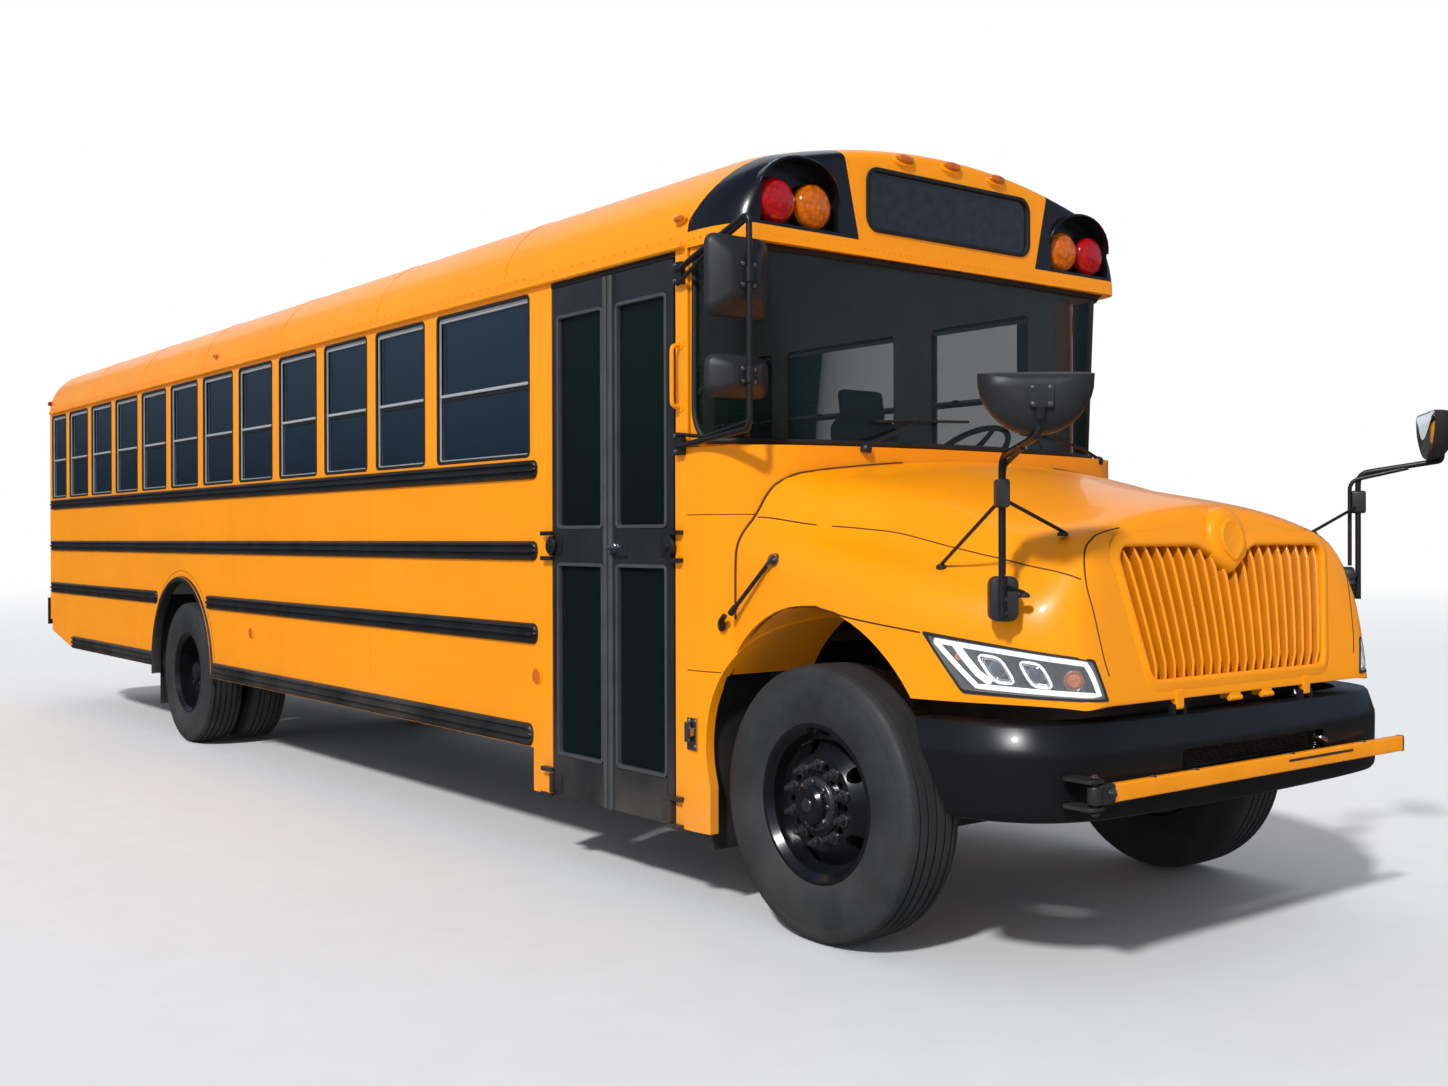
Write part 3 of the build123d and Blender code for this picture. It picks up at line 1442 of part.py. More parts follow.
# Columns: y, inner x, outer x, top z, bottom z
flap_table = [
    (front_axle_y + 605, 860, 1160, floor_z - floor_plate - seat_gap, 250),
    (rear_axle_y + house_half_length + 12, 560, inner_half - 4, floor_z - floor_plate - seat_gap, 230),
]
with BuildPart() as mud_flaps:
    for flap_y, inner_x, outer_x, top_z, bottom_z in flap_table:
        for side in (-1, 1):
            with Locations((side * (inner_x + outer_x) / 2, flap_y, (top_z + bottom_z) / 2)):
                Box(outer_x - inner_x, flap_thickness, top_z - bottom_z)
save(mud_flaps, "mud_flaps")

# Warning lamps in the cap, and the row of marker lamps above the sign
lamp_stand = 30
with BuildPart() as cap_lamps:
    for lamp_x in (-red_x, -amber_x, amber_x, red_x):
        with Locations((lamp_x, cap_front_y + lamp_pocket_depth - lamp_stand / 2 - seat_gap, cap_lamp_z)):
            Cylinder(cap_lamp_radius, lamp_stand, rotation=(90, 0, 0))
save(cap_lamps, "cap_lamps")

# Rear lamps: two pairs of warning lamps high up, stop and turn lamps below the glass
with BuildPart() as rear_lamps:
    for side in (-1, 1):
        for lamp_x in (amber_x, red_x):
            with Locations((side * lamp_x, body_rear_y + lamp_stand / 2, cap_lamp_z)):
                Cylinder(cap_lamp_radius, lamp_stand, rotation=(90, 0, 0))
        for lamp_x, lamp_z in ((1000, 1560), (770, 1560), (1000, 1330)):
            with Locations((side * lamp_x, body_rear_y + lamp_stand / 2, lamp_z)):
                Cylinder(84, lamp_stand, rotation=(90, 0, 0))
save(rear_lamps, "rear_lamps")

# Stop arm folded flat on the left side, below the driver's window
with BuildPart() as stop_arm:
    with BuildSketch(sideways(stop_face_x)):
        with Locations((stop_hinge_y + 60 + stop_radius, stop_z)):
            RegularPolygon(stop_radius, 8, rotation=22.5)
        with Locations((stop_hinge_y + 45, stop_z)):
            Rectangle(90, 220)
    extrude(amount=2 * (stop_barrel_x - stop_face_x))
    with Locations((stop_barrel_x, stop_hinge_y, stop_z)):
        Cylinder(stop_barrel_radius, stop_barrel_height)
save(stop_arm, "stop_arm")
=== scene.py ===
import json
from math import atan2, cos, hypot, pi, radians, sin

import bmesh
import bpy
from mathutils import Matrix, Vector
from mathutils.bvhtree import BVHTree

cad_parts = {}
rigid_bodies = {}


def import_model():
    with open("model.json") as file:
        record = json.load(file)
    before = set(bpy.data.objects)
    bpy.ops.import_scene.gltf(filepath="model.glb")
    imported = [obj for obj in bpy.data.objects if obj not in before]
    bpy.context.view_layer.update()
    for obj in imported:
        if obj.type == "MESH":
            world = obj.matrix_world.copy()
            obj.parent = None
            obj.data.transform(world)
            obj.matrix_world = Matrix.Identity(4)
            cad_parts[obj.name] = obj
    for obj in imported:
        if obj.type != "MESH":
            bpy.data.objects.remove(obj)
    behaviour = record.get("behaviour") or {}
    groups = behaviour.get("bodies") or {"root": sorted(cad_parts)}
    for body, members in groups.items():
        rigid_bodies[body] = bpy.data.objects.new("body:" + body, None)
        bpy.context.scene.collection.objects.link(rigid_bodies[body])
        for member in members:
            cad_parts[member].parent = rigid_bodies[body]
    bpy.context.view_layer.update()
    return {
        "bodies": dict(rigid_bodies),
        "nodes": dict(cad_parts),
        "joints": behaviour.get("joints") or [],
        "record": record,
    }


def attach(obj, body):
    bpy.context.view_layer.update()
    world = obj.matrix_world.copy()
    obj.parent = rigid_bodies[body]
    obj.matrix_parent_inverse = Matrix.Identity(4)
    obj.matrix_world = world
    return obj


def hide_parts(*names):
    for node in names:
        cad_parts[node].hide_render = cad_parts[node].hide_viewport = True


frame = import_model()
nodes = frame["nodes"]
scene = bpy.context.scene

# Row frame: metres, the front looks to -Y, the left side to +X, the road at z 0.
FRONT_AXLE_Y = -4.877
REAR_AXLE_Y = 2.133
REAR_Y = 6.003
SIDE_REAR_Y = 5.883
TYRE_RADIUS = AXLE_Z = 0.520
ARCH_Z, ARCH_RADIUS = 0.680, 0.580
REAR_ARCH_Z = 0.560
HALF = 1.219
WALL = 0.040
EAVE_Z = 2.700
SILL_Z = 1.896
WINDOW_TOP_Z = 2.668
BODY = "bus_body"


# ---------------------------------------------------------------- materials

class Shader:
    """The node tree of a material or world, with short ways to add what is used here."""
    def __init__(self, owner):
        owner.use_nodes = True
        self.owner = owner
        self.nodes, self.links = owner.node_tree.nodes, owner.node_tree.links
        self.bsdf = self.nodes.get("Principled BSDF")

    def fill(self, node, sockets):
        """Sets each input to a value, or plugs another node's output into it."""
        for key, value in sockets.items():
            if isinstance(value, bpy.types.NodeSocket):
                self.links.new(value, node.inputs[key])
            else:
                node.inputs[key].default_value = value

    def add(self, kind, sockets=None, **settings):
        node = self.nodes.new("ShaderNode" + kind)
        for key, value in settings.items():
            setattr(node, key, value)
        self.fill(node, sockets or {})
        return node

    def space(self, stretch=(1, 1, 1)):
        coords = self.add("TexCoord").outputs["Object"]
        return self.add("Mapping", {"Scale": stretch, "Vector": coords}).outputs["Vector"]

    def noise(self, space, scale, detail=4.0):
        return self.add("TexNoise", {"Scale": scale, "Detail": detail, "Vector": space}).outputs["Fac"]

    def ramp(self, source, low, high, out_low, out_high):
        """The source's share of low to high, spread over out_low to out_high."""
        ends = {"From Min": low, "From Max": high, "To Min": out_low, "To Max": out_high}
        return self.add("MapRange", {"Value": source, **ends}).outputs["Result"]

    def mix(self, factor, first, second):
        """Blends two colours, each another node's output or an r, g, b."""
        first, second = (c if isinstance(c, bpy.types.NodeSocket) else (*c, 1) for c in (first, second))
        return self.add("Mix", {0: factor, 6: first, 7: second}, data_type="RGBA").outputs[2]


DUST = (0.30, 0.26, 0.21)


def material(name, colour, rough, metal=0.0, coat=0.0, vary=0.08, grain=6.0, rough_vary=0.06, bump=0.0,
        bump_scale=300.0, stretch=(1, 1, 1), dust=0.0, dust_top=1.1, specular=0.5):
    """A finish whose colour and gloss wander a little, with fine bump and road dust low down."""
    sh = Shader(bpy.data.materials.new(name))
    space = sh.space(stretch)
    dark = tuple(c * (1 - vary) for c in colour)
    light = tuple(min(1, c * (1 + vary)) for c in colour)
    shade = sh.mix(sh.ramp(sh.noise(space, grain), 0.3, 0.7, 0, 1), dark, light)
    if dust:
        height = sh.ramp(sh.add("SeparateXYZ", {0: sh.space()}).outputs["Z"], 0.25, dust_top, 1, 0)
        patch = sh.ramp(sh.noise(space, 2.2, 7), 0.35, 0.75, 0, 1)
        amount = sh.add("Math", {0: height, 1: patch}, operation="MULTIPLY").outputs[0]
        shade = sh.mix(sh.ramp(amount, 0, 1, 0, dust), shade, DUST)
    gloss = sh.noise(space, grain * 2.7, 6)
    sh.fill(sh.bsdf, {
        "Base Color": shade, "Roughness": sh.ramp(gloss, 0.3, 0.7, max(0.02, rough - rough_vary),
        rough + rough_vary),
        "Metallic": metal, "Coat Weight": coat, "Coat Roughness": 0.04, "Specular IOR Level": specular})
    if bump:
        relief = sh.add("Bump", {"Strength": 0.5, "Distance": bump, "Height": sh.noise(space, bump_scale, 3)})
        sh.fill(sh.bsdf, {"Normal": relief.outputs["Normal"]})
    return sh.owner


def lens_material(name, colour, glow, cell=70.0):
    """A moulded lamp lens: small prisms under a clear face, with a faint glow of its own colour."""
    sh = Shader(bpy.data.materials.new(name))
    cells = sh.add("TexVoronoi", {"Scale": cell, "Vector": sh.space()}).outputs["Distance"]
    relief = sh.add("Bump", {"Strength": 0.8, "Distance": 0.004, "Height": cells})
    sh.fill(sh.bsdf, {
        "Base Color": sh.mix(cells, colour, tuple(c * 0.45 for c in colour)), "Normal": relief.outputs["Normal"],
        "Roughness": 0.12, "Coat Weight": 1.0, "Coat Roughness": 0.03,
        "Emission Color": (*colour, 1), "Emission Strength": glow})
    return sh.owner


def glass_material(name, colour, clear):
    """Tinted sheet glass: see-through face on, more of a mirror at a slant."""
    sh = Shader(bpy.data.materials.new(name))
    slant = sh.add("LayerWeight", {"Blend": 0.25}).outputs["Fresnel"]
    smear = sh.noise(sh.space(), 3.0, 5)
    sh.fill(sh.bsdf, {
        "Alpha": sh.ramp(slant, 0, 1, 1 - clear, 1), "Roughness": sh.ramp(smear, 0.3, 0.8, 0.02, 0.06),
        "Base Color": sh.mix(smear, colour, tuple(c * 1.3 for c in colour)),
        "Specular IOR Level": 0.8, "Coat Weight": 0.6, "Coat Roughness": 0.02})
    return sh.owner


YELLOW = (0.93, 0.305, 0.001)
M_YELLOW = material("yellow_paint", YELLOW, 0.32, coat=0.22, specular=0.25, vary=0.035, grain=1.3, rough_vary=0.04,
    bump=0.0002, bump_scale=420, dust=0.35, dust_top=0.75)
M_YELLOW_PLAIN = material("yellow_fittings", YELLOW, 0.33, coat=0.22, specular=0.25, vary=0.05, grain=9,
    bump=0.0003)
M_BLACK = material("gloss_black", (0.006, 0.006, 0.007), 0.24, coat=0.35, vary=0.3, grain=3, rough_vary=0.05,
    dust=0.35, dust_top=0.75)
M_RIM = material("rim_black", (0.007, 0.007, 0.008), 0.22, coat=0.5, vary=0.2, grain=3, rough_vary=0.04)
M_BUMPER = material("bumper_black", (0.007, 0.007, 0.008), 0.34, coat=0.12, vary=0.2, grain=2, rough_vary=0.05,
    specular=0.4)
M_SATIN = material("satin_black", (0.012, 0.012, 0.013), 0.42, vary=0.25, grain=5, bump=0.0003, bump_scale=500,
    dust=0.25, dust_top=0.9)
M_RAIL = material("rail_black", (0.014, 0.014, 0.015), 0.38, vary=0.3, grain=4, bump=0.0003, bump_scale=350,
    dust=0.3, dust_top=1.0)
M_PLASTIC = material("moulded_black_plastic", (0.022, 0.022, 0.024), 0.48, vary=0.2, grain=8, bump=0.0006,
    bump_scale=900)
M_DOOR = material("door_frame_black", (0.016, 0.017, 0.019), 0.36, coat=0.15, vary=0.2, grain=4, bump=0.0002,
    dust=0.3, dust_top=0.8)
M_RUBBER = material("black_rubber", (0.013, 0.013, 0.013), 0.62, vary=0.25, grain=12, bump=0.0005, bump_scale=600,
    dust=0.25)
# Grey seal rubber; on the door's glazing seals its grey is in part a painted highlight
M_SEAL = material("grey_seal_rubber", (0.055, 0.057, 0.06), 0.55, vary=0.15, grain=10, bump=0.0004, bump_scale=500)
M_TYRE = material("tyre_rubber", (0.026, 0.027, 0.028), 0.66, vary=0.2, grain=9, bump=0.0006, bump_scale=260,
    dust=0.10, dust_top=0.6)
M_CHASSIS = material("chassis_black", (0.016, 0.016, 0.016), 0.55, vary=0.35, grain=6, bump=0.0012, bump_scale=120,
    dust=0.55, dust_top=1.3)
M_CAST = material("grey_casting", (0.050, 0.050, 0.052), 0.58, metal=0.3, vary=0.3, grain=14, bump=0.0015,
    bump_scale=160, dust=0.45, dust_top=1.1)
M_ALU = material("mill_aluminium", (0.46, 0.47, 0.49), 0.40, metal=0.3, vary=0.08, grain=30, stretch=(1, 0.1, 1),
    bump=0.0002, bump_scale=700)
M_STEEL = material("bright_steel", (0.42, 0.42, 0.43), 0.30, metal=1.0, vary=0.12, grain=40, bump=0.0003,
    bump_scale=500)
M_WHITE = material("roof_white", (0.80, 0.80, 0.78), 0.36, coat=0.3, vary=0.03, grain=2)
M_LINER = material("cabin_panel", (0.42, 0.43, 0.42), 0.5, vary=0.05, grain=4, bump=0.0004)
M_DASH = material("dash_grain", (0.045, 0.046, 0.050), 0.60, vary=0.15, grain=20, bump=0.0010, bump_scale=700)
M_FLOOR = material("ribbed_floor", (0.035, 0.035, 0.036), 0.65, vary=0.3, grain=6, bump=0.0015, bump_scale=180)
M_SEAT = material("seat_vinyl", (0.020, 0.028, 0.052), 0.46, vary=0.18, grain=18, bump=0.0012, bump_scale=420)
# Step treads: a pale grey mat, made lighter still as painted light for the sun falling on the steps behind the
# door glass
M_TREAD_PAINTED_LIGHT = material("step_tread", (0.72, 0.78, 0.76), 0.5, vary=0.15, grain=20, bump=0.002, bump_scale=150)
M_MIRROR = material("mirror_silver", (0.85, 0.86, 0.87), 0.03, metal=1.0, vary=0.01, rough_vary=0.01)
M_SIGN = material("blank_sign_face", (0.010, 0.012, 0.012), 0.12, coat=1.0, vary=0.5, grain=24, bump=0.0006,
    bump_scale=120)
M_RED_PAINT = material("red_paint", (0.55, 0.012, 0.012), 0.35, coat=0.4, vary=0.06)
# Painted light: the reflectors' faint glow, though a reflector has no lamp of its own
M_REFLECTOR_PAINTED_GLOW = lens_material("amber_reflector", (0.95, 0.20, 0.01), 0.05, 220)
M_RED_LENS = lens_material("red_lens", (0.50, 0.006, 0.008), 0.05, 46)
M_AMBER_LENS = lens_material("amber_lens", (0.72, 0.15, 0.002), 0.04, 46)
M_CLEAR_LENS = glass_material("clear_lens", (0.55, 0.58, 0.60), 0.85)
M_LED = lens_material("white_led", (0.92, 0.94, 0.97), 1.1, 160)
M_CHROME = material("lamp_reflector", (0.75, 0.76, 0.78), 0.10, metal=1.0, vary=0.05, grain=30)
M_GLASS = glass_material("tinted_glass", (0.011, 0.024, 0.042), 0.50)
M_SCREEN = glass_material("screen_glass", (0.006, 0.014, 0.010), 0.60)
# Painted shade: the yellow darkened to the shade deep in the grille's recess, also used for the dark shade lines
# along panel seams
M_PAINTED_SHADE = material("grille_shadow_yellow", (0.085, 0.022, 0.001), 0.6, vary=0.1, grain=8)
# Painted shade: a darker copy of the yellow for the grille bars' sideways faces
M_BAR_FLANK_SHADE = material("grille_bar_flank_painted_shade", (0.52, 0.150, 0.001), 0.45, vary=0.08, grain=8, specular=0.2)
M_LAMP_BLACK = material("lamp_housing", (0.010, 0.011, 0.013), 0.22, vary=0.3, grain=30)
M_PROJECTOR = material("projector_glass", (0.10, 0.12, 0.15), 0.06, metal=0.6, coat=1.0, vary=0.2, grain=30)
M_DOOR_GLASS = glass_material("door_glass", (0.008, 0.014, 0.013), 0.90)
M_NUT = material("dark_hub_steel", (0.10, 0.10, 0.105), 0.30, metal=0.8, vary=0.25, grain=40, bump=0.0004,
    bump_scale=300)


# ---------------------------------------------------------------- mesh tools

CORNERS = ((1, 1), (-1, 1), (-1, -1), (1, -1))


def at(axis, u, v, w):
    """A point from its outline coordinates u, v and its place w along axis."""
    return Vector({"x": (w, u, v), "y": (u, w, v), "z": (u, v, w)}[axis])


def rounded(cu, cv, width, height, radius, steps=5):
    """The outline of a rectangle with round corners, as points."""
    points = []
    for corner, (su, sv) in enumerate(CORNERS):
        points += arc_points(cu + su * (width / 2 - radius), cv + sv * (height / 2 - radius), radius,
            [90 * corner + 90 * step / steps for step in range(steps + 1)])
    return points


def circle(cu, cv, radius, sides):
    """A whole circle as an outline."""
    return [(cu + radius * cos(2 * pi * k / sides), cv + radius * sin(2 * pi * k / sides)) for k in range(sides)]


def grown(points, amount):
    """The outline moved outwards by amount along its corner normals."""
    result = []
    count = len(points)
    area = sum(points[k][0] * points[(k + 1) % count][1] - points[(k + 1) % count][0] * points[k][1]
        for k in range(count))
    turn = 1 if area > 0 else -1
    for k in range(count):
        before, here, after = points[k - 1], points[k], points[(k + 1) % count]
        normal = Vector((0, 0))
        for first, second in ((before, here), (here, after)):
            run = Vector((second[0] - first[0], second[1] - first[1]))
            if run.length > 1e-7:
                normal += Vector((run.y, -run.x)).normalized()
        normal.normalize()
        result.append((here[0] + turn * amount * normal.x, here[1] + turn * amount * normal.y))
    return result


def bend(points, radius, steps=5):
    """The run of points with its corners rounded."""
    points = [Vector(p) for p in points]
    result = [points[0]]
    for before, here, after in zip(points, points[1:], points[2:]):
        back, on = (before - here), (after - here)
        reach = min(radius, back.length * 0.45, on.length * 0.45)
        start, end = here + back.normalized() * reach, here + on.normalized() * reach
        for step in range(steps + 1):
            t = step / steps
            result.append(start * (1 - t) ** 2 + here * 2 * t * (1 - t) + end * t * t)
    result.append(points[-1])
    return result


def arc_points(cu, cv, radius, angles):
    """Points on a circle at these angles in degrees."""
    return [(cu + radius * cos(radians(a)), cv + radius * sin(radians(a))) for a in angles]


def shade(bm, smooth):
    """Smooth shading with hard edges over the angle in degrees."""
    for face in bm.faces:
        face.smooth = True
    for edge in bm.edges:
        edge.smooth = len(edge.link_faces) == 2 and edge.calc_face_angle(pi) < radians(smooth)


def soften(obj, width, segments=2, angle=38):
    """Rounds the edges that are sharper than the angle in degrees."""
    edges = obj.modifiers.new("soften", "BEVEL")
    edges.width = width
    edges.segments = segments
    edges.limit_method = "ANGLE"
    edges.angle_limit = radians(angle)
    edges.harden_normals = True
    return obj


class Piece:
    """Collects faces in the row frame and turns into one object."""
    def __init__(self):
        self.bm = bmesh.new()

    def faces(self, rings, closed=True, capped=True):
        """Quads between rings of equal length."""
        made = [[self.bm.verts.new(p) for p in ring] for ring in rings]
        count = len(made[0])
        for first, second in zip(made, made[1:]):
            for k in range(count if closed else count - 1):
                following = (k + 1) % count
                self.bm.faces.new((first[k], first[following], second[following], second[k]))
        if capped:
            self.bm.faces.new(made[0][::-1])
            self.bm.faces.new(made[-1])
        return self

    def plate(self, axis, outline, low, high):
        """The outline thickened along axis from low to high."""
        return self.faces([[at(axis, u, v, w) for u, v in outline] for w in (low, high)])

    def ring(self, axis, outer, inner, low, high):
        """A flat frame between two outlines."""
        turns = ((outer, low), (outer, high), (inner, high), (inner, low), (outer, low))
        return self.faces([[at(axis, u, v, w) for u, v in line] for line, w in turns], capped=False)

    def box(self, corner, opposite):
        """A block between two opposite corners."""
        (x0, x1), (y0, y1), (z0, z1) = (sorted(pair) for pair in zip(corner, opposite))
        return self.plate("z", [(x0, y0), (x1, y0), (x1, y1), (x0, y1)], z0, z1)

    def sheet(self, columns, rows, point):
        """A net of quads through point(i, j); gives back its corners."""
        net = [[self.bm.verts.new(point(i, j)) for j in range(rows + 1)] for i in range(columns + 1)]
        for i in range(columns):
            for j in range(rows):
                self.bm.faces.new((net[i][j], net[i + 1][j], net[i + 1][j + 1], net[i][j + 1]))
        return net

    def oval(self, centre, wide, tall, out, steps, sides=20):
        """An ellipse with half axes wide and tall; steps lists how far along out, and the scale there."""
        turns = [2 * pi * n / sides for n in range(sides)]
        return self.faces([[Vector(centre) + out * far + (wide * cos(t) + tall * sin(t)) * scale for t in turns]
            for far, scale in steps])

    def rod(self, start, end, radius, sides=16):
        return self.pipe([start, end], radius, sides)

    def pipe(self, points, radius, sides=12, end_radius=None):
        """A round bar through the points, tapered when it has an end_radius."""
        points = [Vector(p) for p in points]
        end_radius = radius if end_radius is None else end_radius
        side = None
        rings = []
        for k, here in enumerate(points):
            ahead = (points[min(k + 1, len(points) - 1)] - points[max(k - 1, 0)]).normalized()
            if side is None:
                side = ahead.orthogonal().normalized()
            side = (side - ahead * side.dot(ahead)).normalized()
            other = ahead.cross(side)
            size = radius + (end_radius - radius) * k / (len(points) - 1)
            rings.append([here + (side * cos(2 * pi * s / sides) + other * sin(2 * pi * s / sides)) * size
                for s in range(sides)])
        return self.faces(rings)

    def lathe(self, centre, axis, profile, sides=32):
        """Turns (along, radius) points round an axis through centre."""
        axis = Vector(axis).normalized()
        side = axis.orthogonal().normalized()
        other = axis.cross(side)
        rings = []
        for along, radius in profile:
            rings.append([Vector(centre) + axis * along
                + (side * cos(2 * pi * s / sides) + other * sin(2 * pi * s / sides)) * max(radius, 1e-5)
                for s in range(sides)])
        return self.faces(rings)

    def rivet(self, centre, normal, radius=0.006, height=0.003, sides=8):
        """A low round head."""
        return self.lathe(centre, normal,
            [(-0.001, radius), (height * 0.6, radius * 0.85), (height, radius * 0.35)], sides)

    def bolt(self, centre, normal, radius=0.012, height=0.009):
        """A hexagon head on its washer."""
        self.lathe(centre, normal, [(-0.001, radius * 1.5), (0.002, radius * 1.5), (0.003, radius * 1.3)], 14)
        return self.lathe(centre, normal, [(0.001, radius), (height * 0.85, radius), (height, radius * 0.8)], 6)

    def cutter(self, name):
        """The piece as a bare object for carve."""
        return self.done(name, M_YELLOW, body=None)

    def done(self, name, mat, body=BODY, bevel=0.0, smooth=38, replaces=(), segments=2):
        """Makes the object: merged, shaded, bevelled, and riding on body if it has one."""
        bm = self.bm
        bmesh.ops.remove_doubles(bm, verts=bm.verts, dist=1e-5)
        bmesh.ops.dissolve_degenerate(bm, dist=1e-6, edges=bm.edges)
        bmesh.ops.recalc_face_normals(bm, faces=bm.faces)
        shade(bm, smooth)
        mesh = bpy.data.meshes.new(name)
        bm.to_mesh(mesh)
        bm.free()
        obj = bpy.data.objects.new(name, mesh)
        scene.collection.objects.link(obj)
        mesh.materials.append(mat)
        if bevel:
            soften(obj, bevel, segments, 35)
        if body:
            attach(obj, body)
        if replaces:
            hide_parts(*replaces)
        return obj


def pieces(count):
    """Empty pieces, one for each name that they are unpacked to."""
    return [Piece() for _ in range(count)]


def axle_point(side, x, y, z):
    """A point on the right (-1) or left (1) side, y metres behind the front axle."""
    return Vector((side * x, FRONT_AXLE_Y + y, z))


SIDES = ((-1, "right"), (1, "left"))
SKIN_RIVET = (0.0045, 0.0022, 6)  # radius, height, sides

# ---------------------------------------------------------------- camera, light and floor

CAMERA_SPOT = (-4.786, FRONT_AXLE_Y - 4.122, 1.515)
CAMERA_TURN = (37.97, 0.22, -0.15)  # degrees: right from the bus's length, down, roll
CAMERA_LENS = 36.656  # mm, on a sensor 36 mm wide


def aim_camera():
    """Puts the camera where the photograph was taken from."""
    yaw, pitch, roll = (radians(angle) for angle in CAMERA_TURN)
    ahead = Vector((sin(yaw) * cos(pitch), cos(yaw) * cos(pitch), -sin(pitch)))
    right = ahead.cross(Vector((0, 0, 1))).normalized()
    up = right.cross(ahead)
    turned_right = right * cos(roll) + up * sin(roll)
    turned_up = up * cos(roll) - right * sin(roll)
    camera = bpy.data.objects.new("camera", bpy.data.cameras.new("camera"))
    scene.collection.objects.link(camera)
    camera.data.sensor_width = 36
    camera.data.lens = CAMERA_LENS
    camera.data.clip_end = 400
    rotation = Matrix((turned_right, turned_up, -ahead)).transposed().to_4x4()
    camera.matrix_world = Matrix.Translation(CAMERA_SPOT) @ rotation
    scene.camera = camera


def sky_reflection(sh):
    """What shiny surfaces mirror: dark trees at the horizon under a dim, soft sky."""
    height = sh.add("SeparateXYZ", {0: sh.add("TexCoord").outputs["Generated"]}).outputs["Z"]
    sky = sh.mix(sh.ramp(height, 0.12, 0.75, 0, 1), (0.19, 0.25, 0.34), (0.035, 0.07, 0.15))
    return sh.mix(sh.ramp(height, 0.04, 0.14, 0, 1), (0.030, 0.036, 0.034), sky)


SUNS = (("key", 2.9, 5, 50, -62), ("fill", 0.45, 60, 60, 150))  # name, strength, then degrees: size, tilt, turn


def light_stage():
    """A world that looks white and lights like a sky, two suns, and a floor that fades to white far off."""
    scene.world = bpy.data.worlds.new("studio")
    sh = Shader(scene.world)
    path = sh.add("LightPath").outputs
    seen = sh.add("Math", {0: path["Is Camera Ray"], 1: path["Is Transmission Ray"]},
        operation="MAXIMUM").outputs[0]
    reflected = sh.mix(path["Is Glossy Ray"], (0.45, 0.48, 0.53), sky_reflection(sh))
    sh.fill(sh.nodes["Background"], {"Strength": 1.0, "Color": sh.mix(seen, reflected, (1, 1, 1))})
    for name, strength, angle, tilt, turn in SUNS:
        lamp = bpy.data.lights.new(name, "SUN")
        lamp.energy = strength
        lamp.angle = radians(angle)
        sun = bpy.data.objects.new(name, lamp)
        scene.collection.objects.link(sun)
        sun.rotation_euler = (radians(tilt), 0, radians(turn))
    sh = Shader(bpy.data.materials.new("pale_floor"))
    space = sh.space()
    grain = sh.mix(sh.noise(space, 5, 8), (0.70, 0.70, 0.70), (0.76, 0.76, 0.76))
    sh.fill(sh.bsdf, {"Base Color": grain, "Roughness": 0.9, "Specular IOR Level": 0.1})
    distance = sh.add("VectorMath", {0: space}, operation="LENGTH").outputs["Value"]
    white = sh.add("Emission").outputs[0]
    ground = sh.add("MixShader", {0: sh.ramp(distance, 14, 40, 0, 1), 1: sh.bsdf.outputs[0], 2: white}).outputs[0]
    mirrored = sh.add("Emission", {"Color": (0.060, 0.060, 0.062, 1)}).outputs[0]
    glossy = sh.add("LightPath").outputs["Is Glossy Ray"]
    surface = sh.add("MixShader", {0: glossy, 1: ground, 2: mirrored}).outputs[0]
    sh.fill(sh.nodes["Material Output"], {"Surface": surface})
    floor = Piece()
    floor.faces([[Vector((x, y, -0.001)) for x, y in circle(0, 0, 180, 64)]], capped=False)
    floor.bm.faces.new(floor.bm.verts)
    floor.done("stage_floor", sh.owner, body=None)


scene.view_settings.view_transform = "Standard"
aim_camera()
light_stage()

# ---------------------------------------------------------------- finishes on the CAD nodes

CAD_FINISHES = (
    (M_YELLOW, "side_wall_right side_wall_left skirt_right skirt_left cowl roof front_cap rear_wall rear_door "
               "hood grille"),
    (M_CHASSIS, "chassis_frame leaf_springs front_axle rear_axle knuckle_right knuckle_left driveshaft exhaust "
                "fuel_tank step_well"),
    (M_BLACK, "front_bumper rear_bumper cap_lamps"), (M_DOOR, "door_leaf_front door_leaf_rear"),
    (M_GLASS, "rear_glass side_windows_right side_windows_left"), (M_SCREEN, "windshield"),
    (M_PLASTIC, "side_mirrors cross_view_mirrors"), (M_SEAT, "benches_right benches_left driver_seat"),
    (M_TYRE, "front_tyre_right front_tyre_left rear_tyres_right rear_tyres_left"),
    (M_RIM, "front_rim_right front_rim_left rear_rims_right rear_rims_left"),
    (M_CAST, "engine_block"), (M_FLOOR, "floor"), (M_LINER, "wheel_houses"), (M_YELLOW_PLAIN, "crossing_arm"),
    (M_RAIL, "rub_rails"), (M_CLEAR_LENS, "headlamps"), (M_RUBBER, "mud_flaps"), (M_RED_LENS, "rear_lamps"),
    (M_RED_PAINT, "stop_arm"), (M_DASH, "dashboard"),
)
for mat, names in CAD_FINISHES:
    for name in names.split():
        nodes[name].data.materials.clear()
        nodes[name].data.materials.append(mat)

# ---------------------------------------------------------------- side windows

# Windows: y of the middle, width
WINDOW_PITCH = 0.722
LAST_WINDOW_Y = FRONT_AXLE_Y + 10.492
WINDOWS = [(FRONT_AXLE_Y + 3.328 + k * WINDOW_PITCH, 0.607) for k in range(10)]
WINDOWS += [(LAST_WINDOW_Y, 0.500), (FRONT_AXLE_Y + 2.412, 0.950)]
DRIVER_WINDOW = (FRONT_AXLE_Y + 1.300, 0.700)
WINDOW_Z = (SILL_Z + WINDOW_TOP_Z) / 2
WINDOW_HEIGHT = WINDOW_TOP_Z - SILL_Z
SASH_Z = SILL_Z + 0.45 * WINDOW_HEIGHT


